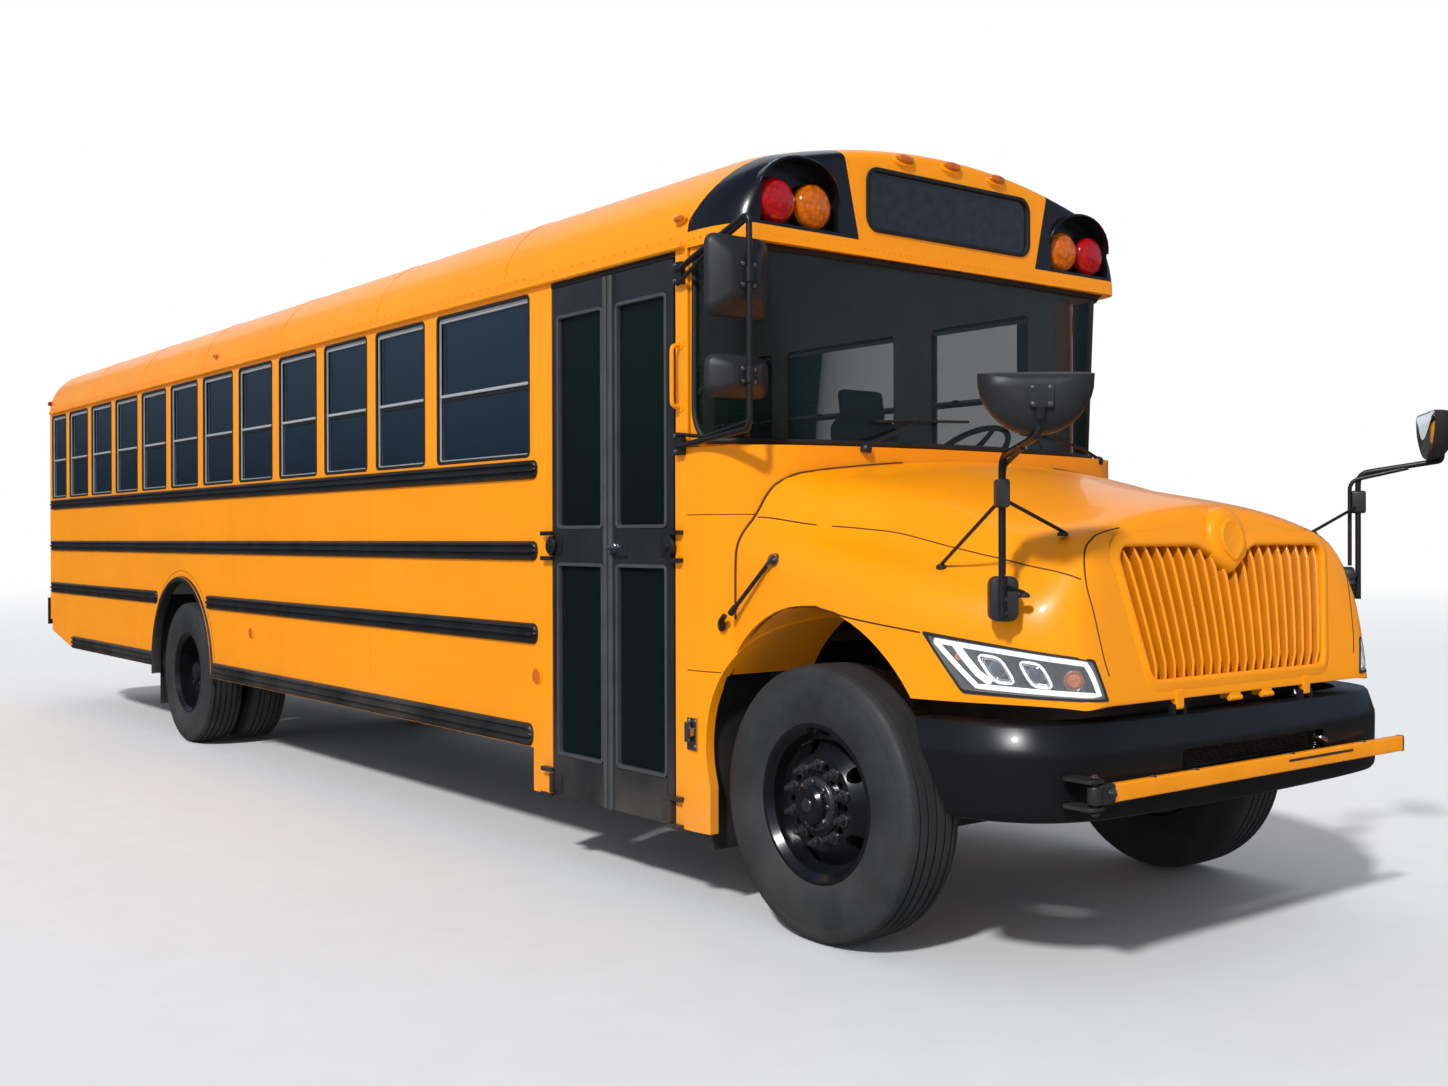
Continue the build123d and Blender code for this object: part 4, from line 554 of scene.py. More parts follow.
def side_windows(side, name, openings):
    """Black rubber surround, grey sash frames with a sliding upper pane and the bar where they meet."""
    gasket, sash, panes, catches = pieces(4)
    face = side * HALF
    for centre, width in openings:
        opening = rounded(centre, WINDOW_Z, width + 0.002, WINDOW_HEIGHT + 0.002, 0.031)
        frame_line = grown(opening, -0.016)
        gasket.ring("x", opening, frame_line, face + side * 0.003, face - side * 0.030)
        sash.ring("x", frame_line, grown(frame_line, -0.007), face - side * 0.008, face - side * 0.018)
        inner = width / 2 - 0.020
        for part, low, high, near in ((sash, SASH_Z, SASH_Z + 0.015, 0.009),
                (gasket, SASH_Z - 0.020, SASH_Z, 0.016),
                (sash, WINDOW_TOP_Z - 0.036, WINDOW_TOP_Z - 0.020, 0.012)):
            part.box((face - side * near, centre - inner, low), (face - side * 0.032, centre + inner, high))
        for offset in (-0.16, 0.16):
            catches.box((face - side * 0.034, centre + offset - 0.018, SASH_Z - 0.004),
                (face - side * 0.046, centre + offset + 0.018, SASH_Z + 0.018))
        for low, high, depth in ((SILL_Z + 0.020, SASH_Z, 0.020), (SASH_Z, WINDOW_TOP_Z - 0.022, 0.024)):
            panes.box((face - side * depth, centre - inner, low),
                (face - side * (depth + 0.005), centre + inner, high))
    gasket.done(f"window_gaskets_{name}", M_RUBBER, bevel=0.002)
    sash.done(f"window_sashes_{name}", M_ALU, bevel=0.002)
    catches.done(f"window_catches_{name}", M_PLASTIC, bevel=0.002)
    panes.done(f"window_panes_{name}", M_GLASS, replaces=[f"side_windows_{name}"])


side_windows(-1, "right", WINDOWS)
side_windows(1, "left", WINDOWS + [DRIVER_WINDOW])

# ---------------------------------------------------------------- rub rails

ARCH_CLEAR = 0.680
RAIL_START = FRONT_AXLE_Y + 1.868
# Top, bottom, front end, rear end
RAILS = [
    (1.882, 1.792, RAIL_START, SIDE_REAR_Y),
    (1.500, 1.407, RAIL_START, SIDE_REAR_Y),
    (1.112, 1.014, RAIL_START, REAR_AXLE_Y - ARCH_CLEAR + 0.110),
    (1.112, 1.014, REAR_AXLE_Y + ARCH_CLEAR - 0.110, SIDE_REAR_Y),
    (0.638, 0.530, FRONT_AXLE_Y + 1.912, REAR_AXLE_Y - ARCH_CLEAR),
    (0.638, 0.530, REAR_AXLE_Y + ARCH_CLEAR, SIDE_REAR_Y - 0.720),
]


def rub_rails():
    """Rolled rails with three ribs, closed and rounded at their front ends."""
    # Columns: height as a share, stand-off from the skin
    shape = [(0.0, 0.0), (0.04, 0.012), (0.12, 0.021), (0.22, 0.021), (0.28, 0.011), (0.36, 0.011), (0.42, 0.025),
        (0.58, 0.025), (0.64, 0.011), (0.72, 0.011), (0.78, 0.021), (0.88, 0.021), (0.96, 0.012), (1.0, 0.0)]
    rails, screws = pieces(2)
    for side, _ in SIDES:
        for top, bottom, front, rear in RAILS:
            stations = [(front, 0.25, 0.30), (front + 0.006, 0.62, 0.70), (front + 0.018, 0.88, 0.92),
                (front + 0.036, 1.0, 1.0), (rear - 0.020, 1.0, 1.0), (rear, 0.9, 0.7)]
            rings = []
            for y, high_share, proud_share in stations:
                middle = (top + bottom) / 2
                rings.append([Vector((side * (HALF + stand * proud_share), y,
                    middle + (share - 0.5) * (top - bottom) * high_share)) for share, stand in shape])
            rails.faces(rings)
            count = max(2, int((rear - front) / 0.361))
            for k in range(count + 1):
                y = front + 0.06 + k * (rear - front - 0.12) / count
                for share in (0.32, 0.68):
                    screws.rivet((side * (HALF + 0.011), y, bottom + share * (top - bottom)), (side, 0, 0), 0.006,
                        0.003, 6)
    rails.done("ribbed_rub_rails", M_RAIL, smooth=50, replaces=["rub_rails"])
    screws.done("rub_rail_screws", M_SATIN)


rub_rails()

# ---------------------------------------------------------------- skins: seams, rivets, drip rail

def skin_details():
    """Rows of rivets, panel seams and the drip rail over the windows."""
    rivets, seams, drip = pieces(3)
    pillars = sorted([c - w / 2 - 0.057 for c, w in WINDOWS] + [LAST_WINDOW_Y + 0.31])
    for side, _ in SIDES:
        front = FRONT_AXLE_Y + (1.80 if side < 0 else 0.80)
        x = side * HALF
        for z, step in ((1.770, 0.085), (1.262, 0.085), (2.690, 0.060)):
            for k in range(int((SIDE_REAR_Y - front - 0.06) / step)):
                rivets.rivet((x, front + 0.03 + k * step, z), (side, 0, 0), *SKIN_RIVET)
        for y in pillars:
            if y > front + 0.1:
                for z in [1.16 + 0.075 * k for k in range(3)] + [1.31, 1.37] + [1.53 + 0.08 * k for k in range(3)]:
                    rivets.rivet((x, y, z), (side, 0, 0), *SKIN_RIVET)
                for k in range(10):
                    rivets.rivet((x, y, 1.93 + 0.078 * k), (side, 0, 0), 0.004, 0.002, 6)
        for y in pillars[2::3]:
            if y > front + 0.1:
                seams.box((x, y + 0.028, 0.66), (x + side * 0.0015, y + 0.031, 1.78))
        # Folded drip rail over the windows
        shape = [(0.000, -0.012), (0.020, -0.012), (0.026, -0.006), (0.026, 0.012), (0.022, 0.012), (0.020, 0.000),
            (0.000, 0.002)]
        start = FRONT_AXLE_Y + 0.70
        drip.faces([[Vector((side * (HALF + out), y, 2.700 + up)) for out, up in shape]
            for y in (start, SIDE_REAR_Y)])
    rivets.done("skin_rivets", M_YELLOW_PLAIN)
    seams.done("skin_seams", M_YELLOW_PLAIN)
    drip.done("drip_rails", M_YELLOW_PLAIN, bevel=0.001)


skin_details()

# ---------------------------------------------------------------- roof

ROOF_TOP = 3.208
CORNER_RADIUS = 0.400
ROOF_BOW_PITCH = 1.444
WHITE_HALF = 0.93


def roof_line(half, top, radius, steps=14, low=EAVE_Z):
    """A roof section from the right eave over the crown to the left one, as (x, z) points."""
    angle = radians(75)
    corner_x = half - radius * (1 - cos(angle))
    drop = corner_x * (1 - sin(angle)) / cos(angle)
    corner_z = top - drop
    start_z = corner_z - radius * sin(angle)
    points = [(half, low), (half, start_z)]
    for k in range(1, steps + 1):
        turn = angle * k / steps
        points.append((half - radius * (1 - cos(turn)), start_z + radius * sin(turn)))
    crown = corner_x / cos(angle)
    for k in range(1, steps + 1):
        turn = angle + (pi / 2 - angle) * k / steps
        points.append((crown * cos(turn), top - crown * (1 - sin(turn))))
    return [(-x, z) for x, z in points] + points[-2::-1]


def roof_details():
    """Lapped roof bows with rivets, and the white top skin."""
    bows, rivets, white = pieces(3)
    whole = roof_line(HALF, ROOF_TOP, CORNER_RADIUS)
    lap = grown(whole, 0.0022)
    for k in range(1, 7):
        y = FRONT_AXLE_Y + 0.74 + k * ROOF_BOW_PITCH
        bows.faces([[Vector((x, yy, z)) for x, z in edge]
            for edge, yy in ((whole, y), (lap, y), (lap, y + 0.055), (whole, y + 0.055))], closed=False,
            capped=False)
        length = 0.0
        for (x0, z0), (x1, z1) in zip(whole, whole[1:]):
            length += hypot(x1 - x0, z1 - z0)
            if length > 0.09:
                length = 0.0
                normal = Vector((-(z1 - z0), 0, x1 - x0)).normalized()
                if normal.z < 0:
                    normal = -normal
                rivets.rivet((x1 + normal.x * 0.002, y + 0.0275, z1 + normal.z * 0.002), normal, 0.0045, 0.002, 6)
    for side, _ in SIDES:
        for k in range(118):
            rivets.rivet((side * HALF, FRONT_AXLE_Y + 0.80 + 0.085 * k, 2.745), (side, 0, 0), 0.0045, 0.002, 6)
    crown, base = ([(x, z) for x, z in line if abs(x) < WHITE_HALF] for line in (grown(whole, 0.0030), whole))
    white.faces([[Vector((x, y, z)) for x, z in edge]
        for edge, y in ((base, FRONT_AXLE_Y + 0.95), (crown, FRONT_AXLE_Y + 0.953), (crown, SIDE_REAR_Y - 0.003),
        (base, SIDE_REAR_Y))], closed=False, capped=False)
    bows.done("roof_bow_laps", M_YELLOW)
    rivets.done("roof_rivets", M_YELLOW_PLAIN)
    white.done("roof_white_skin", M_WHITE)


roof_details()

# ---------------------------------------------------------------- cutting tools

def carve(obj, cutters, operation="DIFFERENCE"):
    """Cuts obj with the pieces in cutters, which are then removed."""
    for cutter in cutters:
        step = obj.modifiers.new("cut", "BOOLEAN")
        step.operation = operation
        step.solver = "EXACT"
        step.object = cutter
    bpy.context.view_layer.update()
    graph = bpy.context.evaluated_depsgraph_get()
    fresh = bpy.data.meshes.new_from_object(obj.evaluated_get(graph))
    obj.modifiers.clear()
    old, obj.data = obj.data, fresh
    bpy.data.meshes.remove(old)
    for cutter in cutters:
        spare = cutter.data
        bpy.data.objects.remove(cutter)
        bpy.data.meshes.remove(spare)
    return obj


def reface(obj, smooth=38):
    """Sets smooth shading with hard edges over the angle, after a cut."""
    bm = bmesh.new()
    bm.from_mesh(obj.data)
    bmesh.ops.remove_doubles(bm, verts=bm.verts, dist=2e-5)
    bmesh.ops.dissolve_degenerate(bm, dist=1e-6, edges=bm.edges)
    shade(bm, smooth)
    bm.to_mesh(obj.data)
    bm.free()
    return obj


# ---------------------------------------------------------------- hood

LEAN = radians(8.6)
FACE_Y = FRONT_AXLE_Y - 1.212
# Columns: y at the road, lean, half width, lowest z, side top z, shoulder x, z, crown edge x, z, top z
HOOD_ROWS = [
    (FRONT_AXLE_Y + 0.520, 0, 1.162, 1.000, 1.440, 1.138, 1.610, 1.104, 1.792, 1.882),
    (FRONT_AXLE_Y, 0, 1.186, 0.980, 1.340, 1.052, 1.525, 0.955, 1.712, 1.808),
    (FRONT_AXLE_Y - 0.450, 0, 1.165, 0.960, 1.230, 0.985, 1.430, 0.800, 1.600, 1.718),
    (FRONT_AXLE_Y - 0.880, 0, 1.005, 0.955, 1.130, 0.925, 1.345, 0.785, 1.520, 1.642),
    (FACE_Y, LEAN, 0.868, 0.950, 1.080, 0.850, 1.290, 0.765, 1.480, 1.585),
]
NOSE = 0.085


def hood_row(t):
    """The section's numbers at t, from 0 at the cowl to 1 at the face, through the rows with one smooth curve."""
    spans = len(HOOD_ROWS) - 1
    k = min(int(t * spans), spans - 1)
    u = t * spans - k
    rows = [HOOD_ROWS[max(0, min(spans, k + step))] for step in (-1, 0, 1, 2)]
    mixed = []
    for a, b, c, d in zip(*rows):
        mixed.append(b + 0.5 * u * (c - a + u * (2 * a - 5 * b + 4 * c - d + u * (3 * (b - c) + d - a))))
    return mixed


def arc(start, end, heading, steps):
    """Points on the arc from start, leaving along heading, to end."""
    chord = Vector(end) - Vector(start)
    heading = Vector(heading).normalized()
    normal = Vector((-heading.y, heading.x))
    across = chord.dot(normal)
    if abs(across) < 1e-6:
        return [tuple(Vector(start) + chord * k / steps) for k in range(1, steps + 1)]
    radius = chord.length_squared / (2 * across)
    centre = Vector(start) + normal * radius
    first, last = Vector(start) - centre, Vector(end) - centre
    turn = first.angle_signed(last)
    points = []
    for k in range(1, steps + 1):
        angle = -turn * k / steps
        points.append((centre.x + first.x * cos(angle) - first.y * sin(angle), centre.y + first.x * sin(angle)
            + first.y * cos(angle)))
    return points


def hood_line(row, inset, drop=0.0):
    """Half of a hood section from the lower edge to the crown, as (x, height along the section)."""
    half, low, side_z, shoulder_x, shoulder_z, edge_x, edge_z, top_z = row[2:]
    half -= inset
    points = [(half, low - drop + (0.0 if drop else inset) * 0.3)]
    points += [(half, low + (side_z - low) * k / 3) for k in (1, 2, 3)]
    shoulder = (shoulder_x - inset, shoulder_z - inset * 0.9)
    edge = (edge_x - inset, edge_z - inset)
    points += arc(points[-1], shoulder, (0, 1), 10)
    points += [tuple(Vector(shoulder).lerp(Vector(edge), k / 4)) for k in (1, 2, 3, 4)]
    crown = arc((0, top_z - inset), edge, (1, 0), 14)
    points += [tuple(p) for p in reversed(crown[:-1])] + [(0, top_z - inset)]
    for _ in range(3):
        points = [points[0]] + [tuple((Vector(a) + Vector(b) * 2 + Vector(c)) / 4)
            for a, b, c in zip(points, points[1:], points[2:])] + [points[-1]]
    return points


def hood_ring(t, inset=0.0, drop=0.0, back=0.0):
    """The whole section at t, leaning with the face."""
    row = hood_row(t)
    lean = row[1]
    line = hood_line(row, inset, drop)
    whole = [(-x, z) for x, z in line] + [(x, z) for x, z in reversed(line[:-1])]
    return [Vector((x, row[0] + back + z * sin(lean), z * cos(lean))) for x, z in whole]


def hood_rings(inset=0.0, drop=0.0):
    """Sections from the cowl to the face, the last ones rounding the nose."""
    last_span = 1 / (len(HOOD_ROWS) - 1) / (HOOD_ROWS[-2][0] - HOOD_ROWS[-1][0])
    first = 1 - last_span * (NOSE + inset)
    rings = [hood_ring(0, inset, drop, 0.05 if inset else 0.0)]
    rings += [hood_ring(first * k / 40, inset, drop) for k in range(1, 40)]
    for step in range(0, 8):
        angle = radians(90 * step / 7)
        behind = inset + NOSE * (1 - sin(angle))
        rings.append(hood_ring(1 - last_span * behind, inset + NOSE * (1 - cos(angle)), drop))
    return rings


def run_lengths(run):
    """How far along the run each of its points lies."""
    lengths = [0.0]
    for first, second in zip(run, run[1:]):
        lengths.append(lengths[-1] + (second - first).length)
    return lengths


def smooth_run(points, steps):
    """A Catmull-Rom run through the points."""
    result = []
    count = len(points)
    for k in range(count - 1):
        a, b, c, d = (Vector(points[max(0, min(count - 1, k + n))]) for n in (-1, 0, 1, 2))
        for n in range(steps):
            u = n / steps
            result.append(b + 0.5 * u * (c - a + u * (2 * a - 5 * b + 4 * c - d + u * (3 * (b - c) + d - a))))
    result.append(Vector(points[-1]))
    return result


def whole_plan(half, out):
    """A plan given for its left half: smoothed, mirrored to the right and moved outwards."""
    half = smooth_run(half, 5)
    whole = half + [Vector((-p.x, p.y)) for p in reversed(half[:-1])]
    moved = []
    for k, point in enumerate(whole):
        ahead = (whole[min(k + 1, len(whole) - 1)] - whole[max(k - 1, 0)]).normalized()
        moved.append(point - Vector((ahead.y, -ahead.x)) * out)
    return moved


HOOD_SKIN = hood_rings()
CENTRE = len(HOOD_SKIN[0]) // 2


def hood_level(z):
    """The right-hand skin's run at height z, from the cowl to the face, as (x, y) points."""
    run = []
    for ring in HOOD_SKIN:
        half = ring[:CENTRE + 1]
        for first, second in zip(half, half[1:]):
            if (first.z - z) * (second.z - z) <= 0 and abs(second.z - first.z) > 1e-9:
                t = (z - first.z) / (second.z - first.z)
                point = first.lerp(second, t)
                run.append(Vector((point.x, point.y)))
                break
    last = run[-1]
    run += [Vector((last.x * (1 - k / 6), last.y)) for k in (1, 2, 3)]
    return run


def along(run, share):
    """The point and outward normal at a distance along a run of points."""
    lengths = run_lengths(run)
    share = max(0.0, min(share, lengths[-1] - 1e-6))
    for k, (first, second) in enumerate(zip(run, run[1:])):
        if lengths[k + 1] >= share:
            ahead = (second - first).normalized()
            point = first + ahead * (share - lengths[k])
            return point, Vector((ahead.y, -ahead.x))
    return run[-1], Vector((0, -1))


def distance_at(run, test):
    """How far along the run the first point passes the test."""
    total = 0.0
    for first, second in zip(run, run[1:]):
        if test(second):
            steps = 40
            for k in range(steps + 1):
                if test(first.lerp(second, k / steps)):
                    return total + (second - first).length * k / steps
        total += (second - first).length
    return total


# The headlamp window's rear edge as (y, z) and its front edge as (x, z), each from its foot to its top
LAMP_REAR = [(FRONT_AXLE_Y - 0.690, 0.992), (FRONT_AXLE_Y - 0.555, 1.186)]
LAMP_FRONT = [(-0.795, 0.973), (-0.838, 1.105)]


def lamp_skin(a, b, depth=0.0, side=-1):
    """A point on the headlamp's window: a from rear to front, b from foot to top, depth behind the skin."""
    (rear_y, rear_z), (front_x, front_z) = (
        [low + (high - low) * b for low, high in zip(*edge)] for edge in (LAMP_REAR, LAMP_FRONT))
    z = rear_z + (front_z - rear_z) * a
    run = hood_level(z)
    start = distance_at(run, lambda p: p.y < rear_y)
    end = distance_at(run, lambda p: p.x > front_x)
    point, normal = along(run, start + (end - start) * a)
    if normal.x > 0.2:
        normal = -normal
    point = point - normal * depth
    return Vector((-side * point.x, point.y, z))


# The grille's opening in the face, as (x, height along the face), from the lower left corner round
GRILLE_TOP = 1.502
GRILLE_FOOT = 1.032
GRILLE_HEAD_HALF = 0.652
GRILLE_FOOT_HALF = 0.540


def face_point(x, v, proud=0.0):
    """A point in the hood's front face: x, the height along the face, and how far it stands out."""
    return Vector((x, FACE_Y + v * sin(LEAN) - proud * cos(LEAN), v * cos(LEAN) + proud * sin(LEAN)))


def notch_drop(x):
    """How far the opening's top dips under the shield."""
    reach = max(0.0, 1 - abs(x) / 0.190)
    return 0.082 * (reach ** 1.25 if reach < 0.9 else reach)


def grille_opening(grow=0.0, corner=0.050):
    """The opening's outline from its upper left corner round; its top edge dips under the shield."""
    head, foot = GRILLE_HEAD_HALF + grow, GRILLE_FOOT_HALF + grow
    top, bottom = GRILLE_TOP + grow, GRILLE_FOOT - grow
    slope = (head - foot) / (top - bottom)
    points = []
    for turn, (sx, sv) in enumerate(CORNERS):
        half, v = (head, top - corner) if sv > 0 else (foot, bottom + corner)
        points += arc_points(sx * (half - corner * 1.02 - sv * slope * corner), v, corner,
            [90 * turn + 18 * step for step in range(6)])
        if turn == 0:
            points += [(x, top - notch_drop(x)) for x in (0.22 * (1 - k / 11) for k in range(23))]
    return points


def hood_piece():
    """The hood's shell, hollowed and cut for the grille, the arches, the lamps and the cowl."""
    hood = Piece().faces(HOOD_SKIN).cutter("hood_shell")
    cutters = [
        Piece().faces(hood_rings(0.014, 0.03)).cutter("hood_hollow"),
        Piece().faces([[face_point(x, v, proud) for x, v in grille_opening()] for proud in (0.05, -0.12)])
        .cutter("hood_grille_cut"),
        Piece().plate("x", circle(FRONT_AXLE_Y, ARCH_Z, ARCH_RADIUS, 72), -1.3, 1.3).cutter("hood_arch_cut")]
    for side, _ in SIDES:
        lamp = Piece()
        columns, rows = 16, 4
        layers = [lamp.sheet(columns, rows, lambda i, j: lamp_skin(i / columns, j / rows, depth, side))
            for depth in (-0.03, 0.045)]
        rim = [(i, 0) for i in range(columns)] + [(columns, j) for j in range(rows)] + [(i, rows)
            for i in range(columns, 0, -1)] + [(0, j) for j in range(rows, 0, -1)]
        for k, (i, j) in enumerate(rim):
            m, n = rim[(k + 1) % len(rim)]
            lamp.bm.faces.new((layers[0][i][j], layers[0][m][n], layers[1][m][n], layers[1][i][j]))
        cutters.append(lamp.cutter(f"hood_lamp_cut_{side}"))
    rear = cowl_front(0.012) + [(-1.4, FRONT_AXLE_Y + 1.2), (1.4, FRONT_AXLE_Y + 1.2)]
    cutters.append(Piece().plate("z", rear, 0.2, 2.6).cutter("hood_cowl_cut"))
    carve(hood, cutters)
    reface(hood, 32)
    soften(hood, 0.003)
    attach(hood, "hood")
    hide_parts("hood")


def lamp_edge(grow=0.0, corner=0.07, steps=4):
    """The headlamp window's outline in its own a, b."""
    points = []
    for ca, cb, first in ((1, 1, 0), (0, 1, 90), (0, 0, 180), (1, 0, 270)):
        for step in range(steps + 1):
            angle = radians(first + 90 * step / steps)
            ra, rb = corner * 0.30, corner
            points.append((ca - (ra if ca else -ra) + ra * cos(angle) + grow * 0.3 * (1 if ca else -1),
                cb - (rb if cb else -rb) + rb * sin(angle) + grow * (1 if cb else -1)))
    full = []
    for k, (a, b) in enumerate(points):
        following = points[(k + 1) % len(points)]
        full.append((a, b))
        if hypot(following[0] - a, following[1] - b) > 0.3:
            count = 10 if abs(following[0] - a) > 0.3 else 3
            full += [(a + (following[0] - a) * n / count, b + (following[1] - b) * n / count)
                for n in range(1, count)]
    return full


COWL_PLAN = [(1.219, 0.700), (1.214, 0.600), (1.194, 0.515), (1.152, 0.440), (1.092, 0.375), (1.000, 0.318),
    (0.850, 0.272), (0.600, 0.228), (0.300, 0.200), (0.0, 0.190)]


def cowl_front(inset):
    """The cowl's plan from its left side round the front to its right, moved out by inset, as (x, y)."""
    return [(p.x, FRONT_AXLE_Y + p.y) for p in whole_plan(COWL_PLAN, inset)]


hood_piece()

# ---------------------------------------------------------------- grille and shield

# A grille bar's section: across as a share of its half width, how far it stands out; its feet don't bow with it
BAR_SHAPE = ((-1.15, -0.058), (-1.0, -0.016), (-0.62, 0.0), (-0.2, 0.0045), (0.2, 0.0045), (0.62, 0.0),
    (1.0, -0.016), (1.15, -0.058))


def grille_piece():
    """Fanned upright bars over a recess in a painted shade colour, a raised lip round the opening and a bare
    shield in its notch.
    """
    bars, recess, lip = pieces(3)
    back = grille_opening(-0.001)
    recess.faces([[face_point(x, v, proud) for x, v in back] for proud in (-0.012, -0.062)], capped=False)
    recess.bm.faces.new([recess.bm.verts.new(face_point(x, v, -0.062)) for x, v in back])
    count = 20
    for k in range(count):
        share = (k + 0.5) / count * 2 - 1
        head_x, foot_x = share * (GRILLE_HEAD_HALF - 0.016), share * (GRILLE_FOOT_HALF - 0.010)
        top = GRILLE_TOP - notch_drop(head_x) - 0.004
        if abs(share) > 0.93:
            top -= 0.012
        rings = []
        for step in range(10):
            along_bar = step / 9
            v = GRILLE_FOOT + 0.003 + (top - GRILLE_FOOT - 0.003) * along_bar
            x = foot_x + (head_x - foot_x) * (v - GRILLE_FOOT) / (GRILLE_TOP - GRILLE_FOOT)
            thin = 1.0 if along_bar < 0.85 else 1.0 - 0.45 * (along_bar - 0.85) / 0.15
            wide = (0.0105 + 0.0030 * along_bar) * thin
            lift = 0.006 * sin(pi * along_bar) - (0.0 if 0.05 < along_bar < 0.93 else 0.012)
            rings.append([face_point(x + dx * wide, v, deep + (lift if abs(dx) <= 1 else 0.0))
                for dx, deep in BAR_SHAPE])
        bars.faces(rings)
    outline = grille_opening(0.0)
    # Columns: how far outside the opening, how far it stands out
    profile = [(-0.004, -0.034), (-0.004, -0.002), (-0.001, 0.0045), (0.006, 0.0072), (0.015, 0.0066),
        (0.027, 0.0036), (0.040, 0.0002), (0.048, -0.004)]
    lip.faces([[face_point(x, v, proud) for x, v in grown(outline, out)] for out, proud in profile], capped=False)
    # The recess's dark yellow is painted shade
    recess.done("grille_recess", M_PAINTED_SHADE, body="hood", smooth=30, replaces=["grille"])
    blades = bars.done("grille_bars", M_YELLOW_PLAIN, body="hood", smooth=50)
    # The bars' sideways faces get the darker copy of the yellow: painted shade
    blades.data.materials.append(M_BAR_FLANK_SHADE)
    for face in blades.data.polygons:
        if len(face.vertices) == 4 and abs((blades.matrix_world.to_3x3() @ face.normal).x) > 0.8:
            face.material_index = 1
    lip.done("grille_lip", M_YELLOW, body="hood", smooth=60)
    # The raised ground of the shield and the bare shield on it
    ground, shield = pieces(2)
    middle = 1.520

    def drop_shape(radius, foot):
        turns = [radians(-38 + 256 * k / 28) for k in range(29)]
        return [(radius * cos(a), middle + radius * sin(a) * 1.04) for a in turns] + [
            (radius * out, middle - foot * down)
            for out, down in ((-0.30, 0.86), (-0.12, 0.97), (0.12, 0.97), (0.30, 0.86))]

    for piece, steps in (
        (ground, ((0.118, 0.128, -0.020), (0.114, 0.122, 0.006), (0.106, 0.114, 0.017), (0.094, 0.104, 0.0245),
        (0.080, 0.094, 0.0275))),
        (shield, ((0.072, 0.086, 0.026), (0.072, 0.085, 0.031), (0.068, 0.081, 0.0345), (0.060, 0.073, 0.0355),
        (0.054, 0.066, 0.0335), (0.050, 0.060, 0.0325))),
    ):
        piece.faces([[face_point(x, v, proud) for x, v in drop_shape(radius, foot)]
            for radius, foot, proud in steps])
    ground.done("shield_ground", M_YELLOW, body="hood", smooth=70)
    shield.done("bare_shield", M_YELLOW_PLAIN, body="hood", smooth=60)


grille_piece()

# ---------------------------------------------------------------- headlamps

